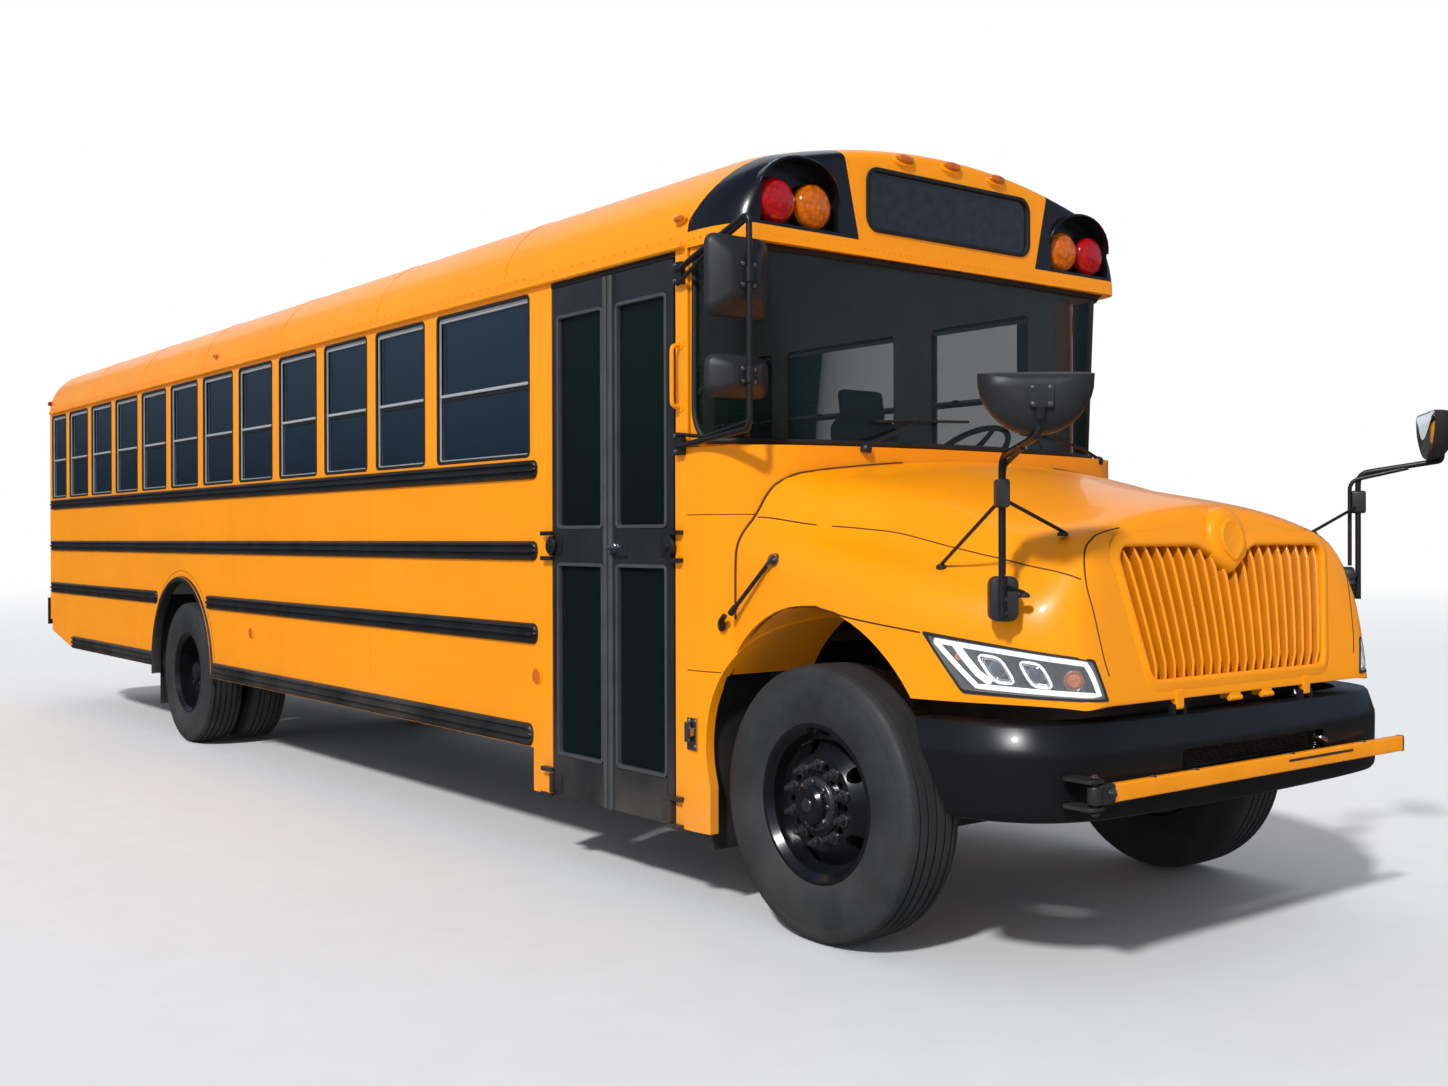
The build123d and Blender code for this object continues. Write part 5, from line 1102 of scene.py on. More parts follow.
def headlamp(side, name):
    """A wrapped lamp: black border and housing, a white light band, two projectors and an amber bulb under a clear
    lens."""
    border, housing, band, rings, bulbs, lens, bezels = pieces(7)
    loops = [[lamp_skin(a, b, depth, side) for a, b in lamp_edge(grow)]
        for grow, depth in ((0.035, 0.004), (0.030, -0.0035), (-0.030, -0.0035), (-0.040, 0.006), (-0.045, 0.060))]
    border.faces(loops, capped=False)
    columns, rows = 22, 6

    def patch(piece, low, high, near, far, depth, curve=0.0):
        piece.sheet(columns, rows, lambda i, j: lamp_skin(
            near + (far - near) * i / columns, low + (high - low) * j / rows, depth - curve * sin(pi * j / rows),
            side))

    patch(housing, 0.0, 1.0, 0.0, 1.0, 0.058)
    patch(lens, 0.035, 0.965, 0.012, 0.988, 0.001, 0.003)

    def tube(piece, points, radius):
        piece.pipe([lamp_skin(a, b, depth, side) for a, b, depth in points], radius, 8)

    top = [(0.03 + 0.93 * k / 14, 0.88, 0.020) for k in range(15)]
    foot = [(0.98 - 0.86 * k / 14, 0.11, 0.020) for k in range(15)]
    tube(band, top + [(0.975, 0.70, 0.020), (0.985, 0.40, 0.020)] + foot
        + [(0.085, 0.35, 0.020), (0.05, 0.65, 0.020), (0.03, 0.86, 0.020)], 0.0092)
    tube(band, [(0.155, 0.86, 0.026), (0.165, 0.60, 0.026), (0.185, 0.36, 0.026), (0.235, 0.20, 0.026)], 0.0125)
    for centre_a, centre_b, wide in ((0.335, 0.48, 0.080), (0.585, 0.47, 0.075)):
        for piece, scale, depth, radius in ((band, 1.0, 0.022, 0.0042), (bezels, 0.80, 0.030, 0.0060)):
            line = []
            for k in range(25):
                angle = 2 * pi * k / 24
                ca, sa = cos(angle), sin(angle)
                grow = 1 / max(abs(ca) ** 4 + abs(sa) ** 4, 0.1) ** 0.25
                line.append((centre_a + wide * scale * ca * grow * 0.95, centre_b + 0.26 * scale * sa * grow,
                    depth))
            tube(piece, line, radius)
        middle = lamp_skin(centre_a, centre_b, 0.040, side)
        outward = (lamp_skin(centre_a, centre_b, 0.0, side) - middle).normalized()
        rings.lathe(middle, outward,
            [(-0.015, 0.036), (0.004, 0.036), (0.012, 0.030), (0.016, 0.018), (0.018, 0.0)], 24)
    middle = lamp_skin(0.815, 0.42, 0.044, side)
    outward = (lamp_skin(0.815, 0.42, 0.0, side) - middle).normalized()
    bezels.lathe(middle, outward, [(-0.010, 0.034), (0.006, 0.034), (0.002, 0.026), (-0.010, 0.024)], 24)
    bulbs.lathe(middle, outward, [(-0.008, 0.024), (0.010, 0.024), (0.020, 0.017), (0.024, 0.0)], 20)
    middle = lamp_skin(0.105, 0.62, 0.046, side)
    bulbs.lathe(middle, outward, [(-0.008, 0.013), (0.008, 0.013), (0.014, 0.0)], 14)
    border.done(f"headlamp_border_{name}", M_PLASTIC, body="hood", smooth=50, replaces=["headlamps"])
    housing.done(f"headlamp_housing_{name}", M_LAMP_BLACK, body="hood", smooth=50)
    band.done(f"headlamp_light_band_{name}", M_LED, body="hood", smooth=70)
    rings.done(f"headlamp_projectors_{name}", M_PROJECTOR, body="hood", smooth=50)
    bezels.done(f"headlamp_bezels_{name}", M_CHROME, body="hood", smooth=60)
    bulbs.done(f"headlamp_turn_bulbs_{name}", M_AMBER_LENS, body="hood", smooth=60)
    lens.done(f"headlamp_lens_{name}", M_CLEAR_LENS, body="hood", smooth=60)


for lamp_side, lamp_name in SIDES:
    headlamp(lamp_side, lamp_name)

# ---------------------------------------------------------------- front cap

CAP_FACE = FRONT_AXLE_Y + 0.377
CAP_ROOT = FRONT_AXLE_Y + 0.690
CAP_LOW = 2.690
CAP_WALL = 0.034
SIGN_Z, SIGN_WIDTH, SIGN_HEIGHT = 2.934, 1.020, 0.260
CAP_LAMP_Z = 2.864


def cap_ring(t, inset=0.0, push=0.0):
    """A section of the cap, from its root at t 0 to its rounded face at t 1."""
    round_off = 1 - max(0.0, 1 - t ** 2.3) ** (1 / 2.3)
    line = roof_line(HALF - 0.115 * round_off - inset, ROOF_TOP - 0.070 * round_off - inset,
        CORNER_RADIUS - 0.060 * round_off - inset, 12, CAP_LOW - push)
    return [Vector((x, CAP_ROOT - (CAP_ROOT - CAP_FACE) * t, z)) for x, z in line]


def pocket_line(side, grow=0.0):
    """The outline of one pair of warning lamps: straight sides under an arch."""
    points = [(1.088 + grow, 2.768 - grow), (1.088 + grow, 2.885)]
    points += [(0.880 + (0.208 + grow) * cos(radians(a)), 2.895 + (0.142 + grow) * sin(radians(a)))
        for a in range(8, 180, 12)]
    points += [(0.672 - grow, 2.885), (0.672 - grow, 2.768 - grow)]
    return [(side * x, z) for x, z in points]


def front_cap():
    """The cap over the windscreen with its black corners, warning lamps, blank sign and marker lamps."""
    stations = [sin(radians(90 * k / 14)) for k in range(15)]
    outer, inner = pieces(2)
    outer.faces([cap_ring(t) for t in stations])
    inner.faces([[p + Vector((0, 0.05, 0)) for p in cap_ring(0, CAP_WALL, 0.05)]]
        + [[p + Vector((0, CAP_WALL, 0)) for p in cap_ring(t, CAP_WALL, 0.05)] for t in stations])
    shell = outer.cutter("front_cap_shell")
    cutters = [inner.cutter("cap_hollow")]
    openings = [(f"cap_pocket_{name}", pocket_line(side)) for side, name in SIDES]
    openings.append(("cap_sign_cut", rounded(0, SIGN_Z, SIGN_WIDTH, SIGN_HEIGHT, 0.060, 6)))
    for name, line in openings:
        cutters.append(Piece().plate("y", line, CAP_FACE - 0.1, CAP_FACE + 0.2).cutter(name))
    carve(shell, cutters)
    darks = []
    for side, name in SIDES:
        region = Piece()
        outline = [(FRONT_AXLE_Y + 0.2, 2.754), (FRONT_AXLE_Y + 0.712, 2.754), (FRONT_AXLE_Y + 0.700, 2.790),
            (FRONT_AXLE_Y + 0.430, 3.190), (FRONT_AXLE_Y + 0.2, 3.190)]
        region.faces([[Vector((side * (0.556 + (z - 2.752) * 0.235), y, z)) for y, z in outline],
            [Vector((side * 1.4, y, z)) for y, z in outline]])
        cutter = region.cutter(f"cap_dark_{name}")
        dark = shell.copy()
        dark.data = shell.data.copy()
        dark.name = f"front_cap_corner_{name}"
        scene.collection.objects.link(dark)
        spare = cutter.copy()
        spare.data = cutter.data.copy()
        scene.collection.objects.link(spare)
        carve(dark, [spare], "INTERSECT")
        darks.append((dark, cutter))
    carve(shell, [cutter for _, cutter in darks])
    for dark, _ in darks:
        dark.data.materials.clear()
        dark.data.materials.append(M_BLACK)
        soften(reface(dark, 40), 0.003)
        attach(dark, BODY)
    soften(reface(shell, 40), 0.002)
    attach(shell, BODY)
    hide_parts("front_cap")
    walls, visors, bezels, reds, ambers = pieces(5)
    for side, _ in SIDES:
        line = pocket_line(side, 0.001)
        walls.faces([[at("y", x, z, y) for x, z in line] for y in (CAP_FACE + 0.004, CAP_FACE + 0.074)],
            capped=False)
        walls.bm.faces.new([walls.bm.verts.new(at("y", x, z, CAP_FACE + 0.074)) for x, z in line])
        arch_out, arch_in = pocket_line(side, 0.010)[1:-1], pocket_line(side, -0.002)[1:-1]
        loops = []
        for k in range(len(arch_out)):
            ends = min(k, len(arch_out) - 1 - k) / 6
            proud = 0.004 + 0.028 * min(1, ends)
            loops.append([at("y", *arch_out[k], CAP_FACE + 0.010), at("y", *arch_out[k], CAP_FACE - proud * 0.7),
                at("y", *arch_in[k], CAP_FACE - proud), at("y", *arch_in[k], CAP_FACE + 0.010)])
        visors.faces(loops)
        for x, piece in ((0.787, ambers), (0.983, reds)):
            centre = (side * x, CAP_FACE + 0.060, CAP_LAMP_Z)
            bezels.lathe(centre, (0, -1, 0), [(-0.010, 0.0975), (0.010, 0.0975), (0.016, 0.094), (0.0, 0.092)], 36)
            piece.lathe(centre, (0, -1, 0),
                [(0.0, 0.093), (0.026, 0.093), (0.044, 0.087), (0.058, 0.070), (0.065, 0.046), (0.0685, 0.022),
                (0.069, 0.0)], 36)
    walls.done("cap_lamp_pockets", M_LAMP_BLACK, smooth=30)
    visors.done("cap_lamp_visors", M_BLACK, bevel=0.002)
    bezels.done("cap_lamp_bezels", M_RUBBER, replaces=["cap_lamps"])
    reds.done("cap_red_lamps", M_RED_LENS, smooth=60)
    ambers.done("cap_amber_lamps", M_AMBER_LENS, smooth=60)
    gasket, face, rivets, lamps, pads = pieces(5)
    border = rounded(0, SIGN_Z, SIGN_WIDTH + 0.002, SIGN_HEIGHT + 0.002, 0.060, 6)
    gasket.ring("y", grown(border, 0.006), grown(border, -0.012), CAP_FACE - 0.007, CAP_FACE + 0.016)
    face.plate("y", grown(border, -0.008), CAP_FACE + 0.006, CAP_FACE + 0.010)
    gasket.done("sign_gasket", M_RUBBER, bevel=0.003)
    face.done("sign_blank_face", M_SIGN)
    for k in range(61):
        rivets.rivet((-1.05 + 2.10 * k / 60, CAP_FACE, 2.722), (0, -1, 0), *SKIN_RIVET)
    for x in (-0.29, 0, 0.29):
        up, normal = Vector((0, 0.42, 0.907)), Vector((0, -0.907, 0.42))
        centre = Vector((x, CAP_FACE + 0.006, 3.136 - x * x * 0.15))
        for piece, a, b, steps in (
                (pads, 0.072, 0.032, ((-0.016, 1.0), (0.004, 0.98), (0.009, 0.90), (0.009, 0.80))),
                (lamps, 0.052, 0.021, ((0.0, 1.0), (0.016, 0.97), (0.023, 0.80), (0.025, 0.45)))):
            piece.oval(centre, Vector((a, 0, 0)), up * b, normal, steps, 24)
    for side, _ in SIDES:
        for k in range(6):
            rivets.rivet((side * HALF, FRONT_AXLE_Y + 0.50 + 0.04 * k + 0.02, 2.722), (side, 0, 0), *SKIN_RIVET)
        centre = axle_point(side, HALF - 0.002, 0.735, 2.815)
        for piece, a, b, steps in ((pads, 0.040, 0.020, ((-0.004, 1.0), (0.004, 0.95))),
                (lamps, 0.034, 0.014, ((0.0, 1.0), (0.014, 0.9), (0.018, 0.5)))):
            piece.oval(centre, Vector((0, a, 0)), Vector((0, 0, b)), Vector((side, 0, 0)), steps)
    rivets.done("cap_rivets", M_YELLOW_PLAIN)
    pads.done("marker_lamp_pads", M_YELLOW_PLAIN, smooth=60)
    lamps.done("marker_lamps", M_AMBER_LENS, smooth=60)


front_cap()

# ---------------------------------------------------------------- windscreen and wipers

def screen_line(top):
    """The glass's plan at its bottom (0) or top (1), from its left edge to its right, as (x, y)."""
    corner_x, corner_y, middle_y = ((1.075, 0.486, 0.300), (1.050, 0.425, 0.402))[top]
    corner_y, middle_y, edge = FRONT_AXLE_Y + corner_y, FRONT_AXLE_Y + middle_y, (1.205, FRONT_AXLE_Y + 0.682)
    half = [edge] + arc(edge, (corner_x, corner_y), (0, -1), 8)
    sag = corner_y - middle_y
    radius = (corner_x ** 2 + sag ** 2) / (2 * sag)
    limit = atan2(corner_x, radius - sag)
    front = [(radius * sin(limit * (1 - k / 18)), middle_y + radius - radius * cos(limit * (1 - k / 18)))
        for k in range(1, 36)]
    return half + front + [(-x, y) for x, y in reversed(half)]


SCREEN_LOW, SCREEN_HIGH = screen_line(0), screen_line(1)
SCREEN_Z = (1.884, 2.689)


def screen_at(s, z, out=0.0):
    """A point on the glass: s from its left edge to its right, height z, and how far out from it."""
    share = (z - SCREEN_Z[0]) / (SCREEN_Z[1] - SCREEN_Z[0])
    place = max(0.0, min(s, 1.0)) * (len(SCREEN_LOW) - 1)
    k = min(int(place), len(SCREEN_LOW) - 2)
    ends = [Vector(a).lerp(Vector(b), share) for a, b in zip(SCREEN_LOW[k:k + 2], SCREEN_HIGH[k:k + 2])]
    point = ends[0].lerp(ends[1], place - k)
    ahead = (ends[1] - ends[0]).normalized()
    normal = Vector((-ahead.y, ahead.x))
    if normal.y > 0.3:
        normal = -normal
    return Vector((point.x + normal.x * out, point.y + normal.y * out, z))


def wiper_share(x, z=1.98):
    """How far across the glass the point at x lies."""
    low, high = 0.0, 1.0
    for _ in range(30):
        mid = (low + high) / 2
        if screen_at(mid, z).x > x:
            low = mid
        else:
            high = mid
    return low


def windscreen():
    """The wrapped pane, its rubber gasket, the yellow surround and the two wipers."""
    pane, gasket, filler = pieces(3)
    columns, rows = 52, 10
    low, high = 1.890, 2.686
    pane.sheet(columns, rows, lambda i, j: screen_at(i / columns, low + (high - low) * j / rows, -0.004))
    outline, corners = [], []
    for cs, cz, first, radius in ((0.985, 2.676, 0, 0.07), (0.015, 2.676, 90, 0.07), (0.015, 1.902, 180, 0.150),
            (0.985, 1.902, 270, 0.150)):
        rs = radius * 0.36
        for step in range(11):
            angle = radians(first + 9 * step)
            outline.append((cs + (-rs if cs > 0.5 else rs) + rs * cos(angle), cz + (-radius if cz > 2 else radius)
                + radius * sin(angle)))
            corners.append((1.0 if cs > 0.5 else 0.0, SCREEN_Z[1] if cz > 2 else SCREEN_Z[0]))
    line, outer = [], []
    for k, (s, z) in enumerate(outline):
        following = outline[(k + 1) % len(outline)]
        line.append((s, z))
        outer.append(corners[k])
        if abs(following[0] - s) > 0.2:
            for n in range(1, 30):
                mid = s + (following[0] - s) * n / 30
                line.append((mid, z))
                outer.append((mid, SCREEN_Z[1] if z > 2 else SCREEN_Z[0]))
    ring = [screen_at(s, z, 0.004) for s, z in line]
    gasket.pipe(ring + ring[:2], 0.0125, 10)
    filler.faces([[screen_at(s, z, 0.0015) for s, z in line], [screen_at(s, z, 0.0015) for s, z in outer]],
        capped=False)
    pane.done("windscreen_pane", M_SCREEN, smooth=60, replaces=["windshield"])
    gasket.done("windscreen_gasket", M_RUBBER, smooth=70)
    filler.done("windscreen_surround", M_YELLOW, smooth=60)
    arms, blades = pieces(2)
    for pivot, tip, ends in (
        ((-0.660, 0.232, 1.872), (wiper_share(-0.300), 2.000),
        ((wiper_share(-0.506), 1.996), (wiper_share(0.021), 2.016))),
        ((0.920, 0.305, 1.872), (wiper_share(0.579), 1.984),
        ((wiper_share(0.780), 1.976), (wiper_share(0.300), 2.000))),
    ):
        base = Vector((pivot[0], FRONT_AXLE_Y + pivot[1], pivot[2]))
        arms.lathe(base - Vector((0, 0, 0.012)), (0, -0.25, 1),
            [(0.0, 0.024), (0.020, 0.024), (0.032, 0.016), (0.036, 0.0)], 20)
        reach = screen_at(tip[0], tip[1], 0.028)
        arms.pipe([base + Vector((0, 0, 0.012)), base.lerp(reach, 0.35) + Vector((0, -0.02, 0.012)), reach], 0.009,
            8, 0.006)
        (s0, z0), (s1, z1) = ends
        for lift, bow, radius, sides in ((0.018, 0.006, 0.006, 8), (0.007, 0.0, 0.0042, 6)):
            blades.pipe([screen_at(s0 + (s1 - s0) * k / 10, z0 + (z1 - z0) * k / 10, lift + bow * sin(pi * k / 10))
                for k in range(11)], radius, sides)
    arms.done("wiper_arms", M_SATIN, smooth=60)
    blades.done("wiper_blades", M_RUBBER, smooth=60)


windscreen()

# ---------------------------------------------------------------- entrance door

DOOR_FRONT = FRONT_AXLE_Y + 0.778
DOOR_REAR = FRONT_AXLE_Y + 1.740
LEAF_OUT, LEAF_IN = -1.221, -1.187
DOOR_HINGE_Z = (0.389, 1.478)
DOOR_PANES_Z = ((0.520, 1.400), (1.556, 2.530))
STEP_RISE, STEP_RUN = 0.2583, 0.177


def door_leaf(name, near, far, hinge_y):
    """One leaf: extruded frame, glazing seals, panes, the grey seal at its meeting edge and its hinges."""
    frame_, seals, panes, meeting, metal = pieces(5)
    low, high = 0.329, 2.660
    stile = 0.046
    for y0, y1, z0, z1 in ((near, near + stile, low, high), (far - stile, far, low, high),
            (near + stile, far - stile, low, DOOR_PANES_Z[0][0]),
            (near + stile, far - stile, DOOR_PANES_Z[0][1], DOOR_PANES_Z[1][0]),
            (near + stile, far - stile, DOOR_PANES_Z[1][1], high)):
        frame_.box((LEAF_OUT, y0, z0), (LEAF_IN, y1, z1))
    for z0, z1 in DOOR_PANES_Z:
        line = rounded((near + far) / 2, (z0 + z1) / 2, far - near - 2 * stile + 0.004, z1 - z0 + 0.004, 0.026)
        seals.ring("x", line, grown(line, -0.016), LEAF_OUT - 0.005, LEAF_IN + 0.004)
        inner = grown(line, -0.012)
        panes.plate("x", inner, -1.207, -1.202)
    edge, inward = (far, -1) if hinge_y < (near + far) / 2 else (near, 1)
    shape = [(0.0, -0.001), (0.0, 0.012), (0.006, 0.016), (0.024, 0.016), (0.030, 0.010), (0.030, -0.001)]
    meeting.faces([[Vector((LEAF_OUT - out, edge + inward * run, z)) for run, out in shape]
        for z in (low + 0.004, high - 0.004)])
    for z in DOOR_HINGE_Z:
        metal.lathe((-1.235, hinge_y, z - 0.045), (0, 0, 1), [(0, 0.012), (0.090, 0.012)], 16)
        metal.box((-1.234, hinge_y - 0.011, z - 0.044), (LEAF_OUT + 0.001, hinge_y + 0.011, z + 0.044))
        reach = -0.075 * inward
        metal.box((-1.2265, hinge_y, z - 0.040), (LEAF_OUT + 0.001, hinge_y + reach, z + 0.040))
        for step in (0.45, 0.8):
            for up in (-0.022, 0.022):
                metal.rivet((-1.2265, hinge_y + reach * step, z + up), (-1, 0, 0), 0.006, 0.003, 8)
    metal.lathe((-1.236, hinge_y, DOOR_HINGE_Z[1]), (-1, 0, 0),
        [(-0.004, 0.040), (0.006, 0.040), (0.010, 0.034), (0.011, 0.016), (0.018, 0.014), (0.019, 0.0)], 28)
    body = f"door_leaf_{name}"
    frame_.done(f"door_frame_{name}", M_DOOR, body=body, bevel=0.003, replaces=[body])
    # The glazing seals are grey rubber, lighter than black rubber, also standing in for the highlights along the
    # pane edges: a painted highlight
    seals.done(f"door_glazing_seals_{name}", M_SEAL, body=body, bevel=0.003)
    panes.done(f"door_panes_{name}", M_DOOR_GLASS, body=body)
    meeting.done(f"door_meeting_seal_{name}", M_SEAL, body=body, bevel=0.002)
    metal.done(f"door_hinges_{name}", M_SATIN, body=body, bevel=0.001)


door_leaf("front", DOOR_FRONT + 0.006, DOOR_FRONT + 0.476, DOOR_FRONT + 0.018)
door_leaf("rear", DOOR_FRONT + 0.486, DOOR_FRONT + 0.956, DOOR_REAR - 0.018)


def door_fittings():
    """The door's handle, step mats, grab handles and the latches of the panels ahead of it."""
    handle, treads, nosings, grab, latch = pieces(5)
    y = DOOR_FRONT + 0.440
    handle.pipe(bend([(-1.236, y, 1.470), (-1.262, y, 1.470), (-1.266, y - 0.125, 1.474)], 0.012), 0.009, 10,
        0.007)
    handle.lathe((-1.221, y, 1.470), (-1, 0, 0), [(0, 0.026), (0.010, 0.026), (0.016, 0.018), (0.017, 0)], 20)
    handle.done("door_handle", M_STEEL, body="door_leaf_front", smooth=60)
    for step in range(3):
        z = 0.345 + STEP_RISE * step
        x = -1.178 + STEP_RUN * step
        treads.box((x, DOOR_FRONT + 0.02, z), (x + 0.172, DOOR_REAR - 0.02, z + 0.004))
        for rib in range(6):
            treads.box((x + 0.030 + 0.022 * rib, DOOR_FRONT + 0.03, z + 0.003),
                (x + 0.040 + 0.022 * rib, DOOR_REAR - 0.03, z + 0.007))
        nosings.box((x, DOOR_FRONT + 0.02, z - 0.010), (x + 0.020, DOOR_REAR - 0.02, z + 0.008))
    # The mats' pale colour is partly painted light
    treads.done("step_tread_mats", M_TREAD_PAINTED_LIGHT, bevel=0.001)
    nosings.done("step_nosings", M_WHITE, bevel=0.002)
    post = FRONT_AXLE_Y + 0.735
    grab.pipe(bend([(-1.214, post, 2.300), (-1.262, post, 2.295), (-1.262, post, 2.050), (-1.214, post, 2.045)],
        0.030), 0.0095, 12)
    for z in (2.300, 2.045):
        grab.lathe((-1.219, post, z), (-1, 0, 0), [(-0.002, 0.020), (0.004, 0.020), (0.007, 0.012)], 18)
    grab.done("entrance_grab_handle", M_YELLOW_PLAIN, smooth=60)
    rail = Piece()
    ahead, behind = DOOR_FRONT + 0.05, DOOR_REAR - 0.04
    for run in ([(-1.10, ahead, 1.10), (-1.10, ahead, 2.10), (-0.98, DOOR_FRONT + 0.03, 2.20)],
            [(-1.165, behind, 0.80), (-1.13, behind, 0.84), (-0.70, behind, 1.95), (-0.66, behind, 2.00)]):
        rail.pipe(bend(run, 0.06), 0.014, 12)
    rail.done("step_handrails", M_STEEL, smooth=60)
    for side, _ in SIDES:
        x, y0 = side * HALF, FRONT_AXLE_Y + 0.657
        latch.box((x - side * 0.001, y0 - 0.030, 0.655), (x + side * 0.007, y0 + 0.030, 0.785))
        latch.rod((x + side * 0.022, y0 + 0.006, 0.690), (x + side * 0.022, y0 + 0.006, 0.770), 0.013)
        latch.box((x, y0 - 0.022, 0.715), (x + side * 0.030, y0 - 0.004, 0.745))
        for u in (-0.020, 0.020):
            for v in (0.668, 0.772):
                latch.bolt((x + side * 0.006, y0 + u, v), (side, 0, 0), 0.006, 0.005)
    latch.done("panel_latches", M_STEEL, bevel=0.001)


door_fittings()

# ---------------------------------------------------------------- mirrors

def oriented(origin, x_dir, z_dir):
    """Turns (u, v, w) into a point: u along x_dir, v upwards, w along z_dir."""
    x_dir, z_dir = Vector(x_dir).normalized(), Vector(z_dir).normalized()

    def place(u, v, w):
        return Vector(origin) + x_dir * u + Vector((0, 0, v)) + z_dir * w
    return place


def side_mirrors(side, name, mirror_x, mirror_y, width, root_y):
    """A flat mirror over a round one on a tube loop from the body at root_y, clamped and bolted."""
    tubes, heads, plates, glasses, fixings = pieces(5)
    x, root = side * mirror_x, side * (HALF + 0.027)
    upper, low = 2.600, 1.885
    hanger = [(x, mirror_y, 2.60), (x, mirror_y, 1.960), (x, mirror_y + 0.015, low + 0.045),
        (root - side * 0.006, root_y, low)]
    for lift, rest, radius in ((0.0, hanger, 0.0125), (-0.055, [], 0.009)):
        tubes.pipe(bend([(root - side * 0.006, root_y, upper + lift),
            (root + side * 0.030, (root_y + mirror_y) / 2, upper + 0.055 + lift * 0.5),
            (x, mirror_y + 0.002, 2.755 + lift * 0.3)] + rest, 0.035, 6), radius, 14)
    tubes.pipe([(root, root_y, low + 0.050), (x * 0.4 + root * 0.6, mirror_y * 0.4 + root_y * 0.6, low + 0.030),
        (x, mirror_y + 0.012, low + 0.075)], 0.008, 10)
    place = oriented((x, mirror_y, 0), (1, 0, 0), (0, 1, 0))
    for height, z, corner in ((0.320, 2.520, 0.045), (0.168, 2.135, 0.050)):
        half, tall = width / 2, height / 2
        flat = min(0.46, 0.06 / half + 0.30)
        steps = ((0.012, flat, 0.40, 0.3), (0.018, flat + 0.06, 0.52, 0.5), (0.058, 0.94, 0.94, 1.0),
            (0.070, 0.985, 0.985, 1.0), (0.084, 1.0, 1.0, 1.0), (0.092, 1.0, 1.0, 1.0), (0.094, 0.97, 0.96, 1.0))
        heads.faces([[place(u, v, w)
            for u, v in rounded(0, z, 2 * half * sw, 2 * tall * sh, corner * max(0.3, share) * min(sw, 1), 5)]
            for w, sw, sh, share in steps])
        glass_line = rounded(0, z, 2 * half * 0.92, 2 * tall * 0.90, corner * 0.8, 5)
        bulge = 0.010 if height < 0.2 else 0.0
        glasses.faces([[place(u * scale, (v - z) * scale + z, w) for u, v in glass_line]
            for w, scale in ((0.092, 1.0), (0.0955, 0.995), (0.0955 + bulge * 0.7, 0.6), (0.0955 + bulge, 0.15))])
        plates.faces([[place(u, v, w) for u, v in rounded(0, z, 0.078, 0.112 if height > 0.2 else 0.07, 0.008, 3)]
            for w in (0.004, 0.016)])
        plates.pipe([place(0, z + 0.030, 0.0), place(0, z - 0.030, 0.0)], 0.019, 16)
        for u in (-0.028, 0.028):
            for v in (-0.040, 0.040) if height > 0.2 else (-0.024, 0.024):
                fixings.bolt(place(u, z + v, 0.004), (0, -1, 0), 0.0055, 0.005)
    for z in (upper - 0.010, low + 0.010):
        plates.box((side * (HALF + 0.0005), root_y - 0.027, z - 0.045), (root, root_y + 0.027, z + 0.045))
        for v in (-0.032, 0.032):
            fixings.bolt((root, root_y + 0.012, z + v), (side, 0, 0), 0.007, 0.007)
    tubes.done(f"mirror_tubes_{name}", M_SATIN, smooth=60, replaces=["side_mirrors"])
    heads.done(f"mirror_heads_{name}", M_PLASTIC, bevel=0.004, smooth=32)
    plates.done(f"mirror_clamps_{name}", M_SATIN, bevel=0.002)
    glasses.done(f"mirror_glasses_{name}", M_MIRROR, smooth=60)
    fixings.done(f"mirror_bolts_{name}", M_STEEL)


side_mirrors(-1, "right", 1.240, FRONT_AXLE_Y + 0.260, 0.300, FRONT_AXLE_Y + 0.724)
side_mirrors(1, "left", 1.345, FRONT_AXLE_Y + 1.010, 0.150, FRONT_AXLE_Y + 0.735)


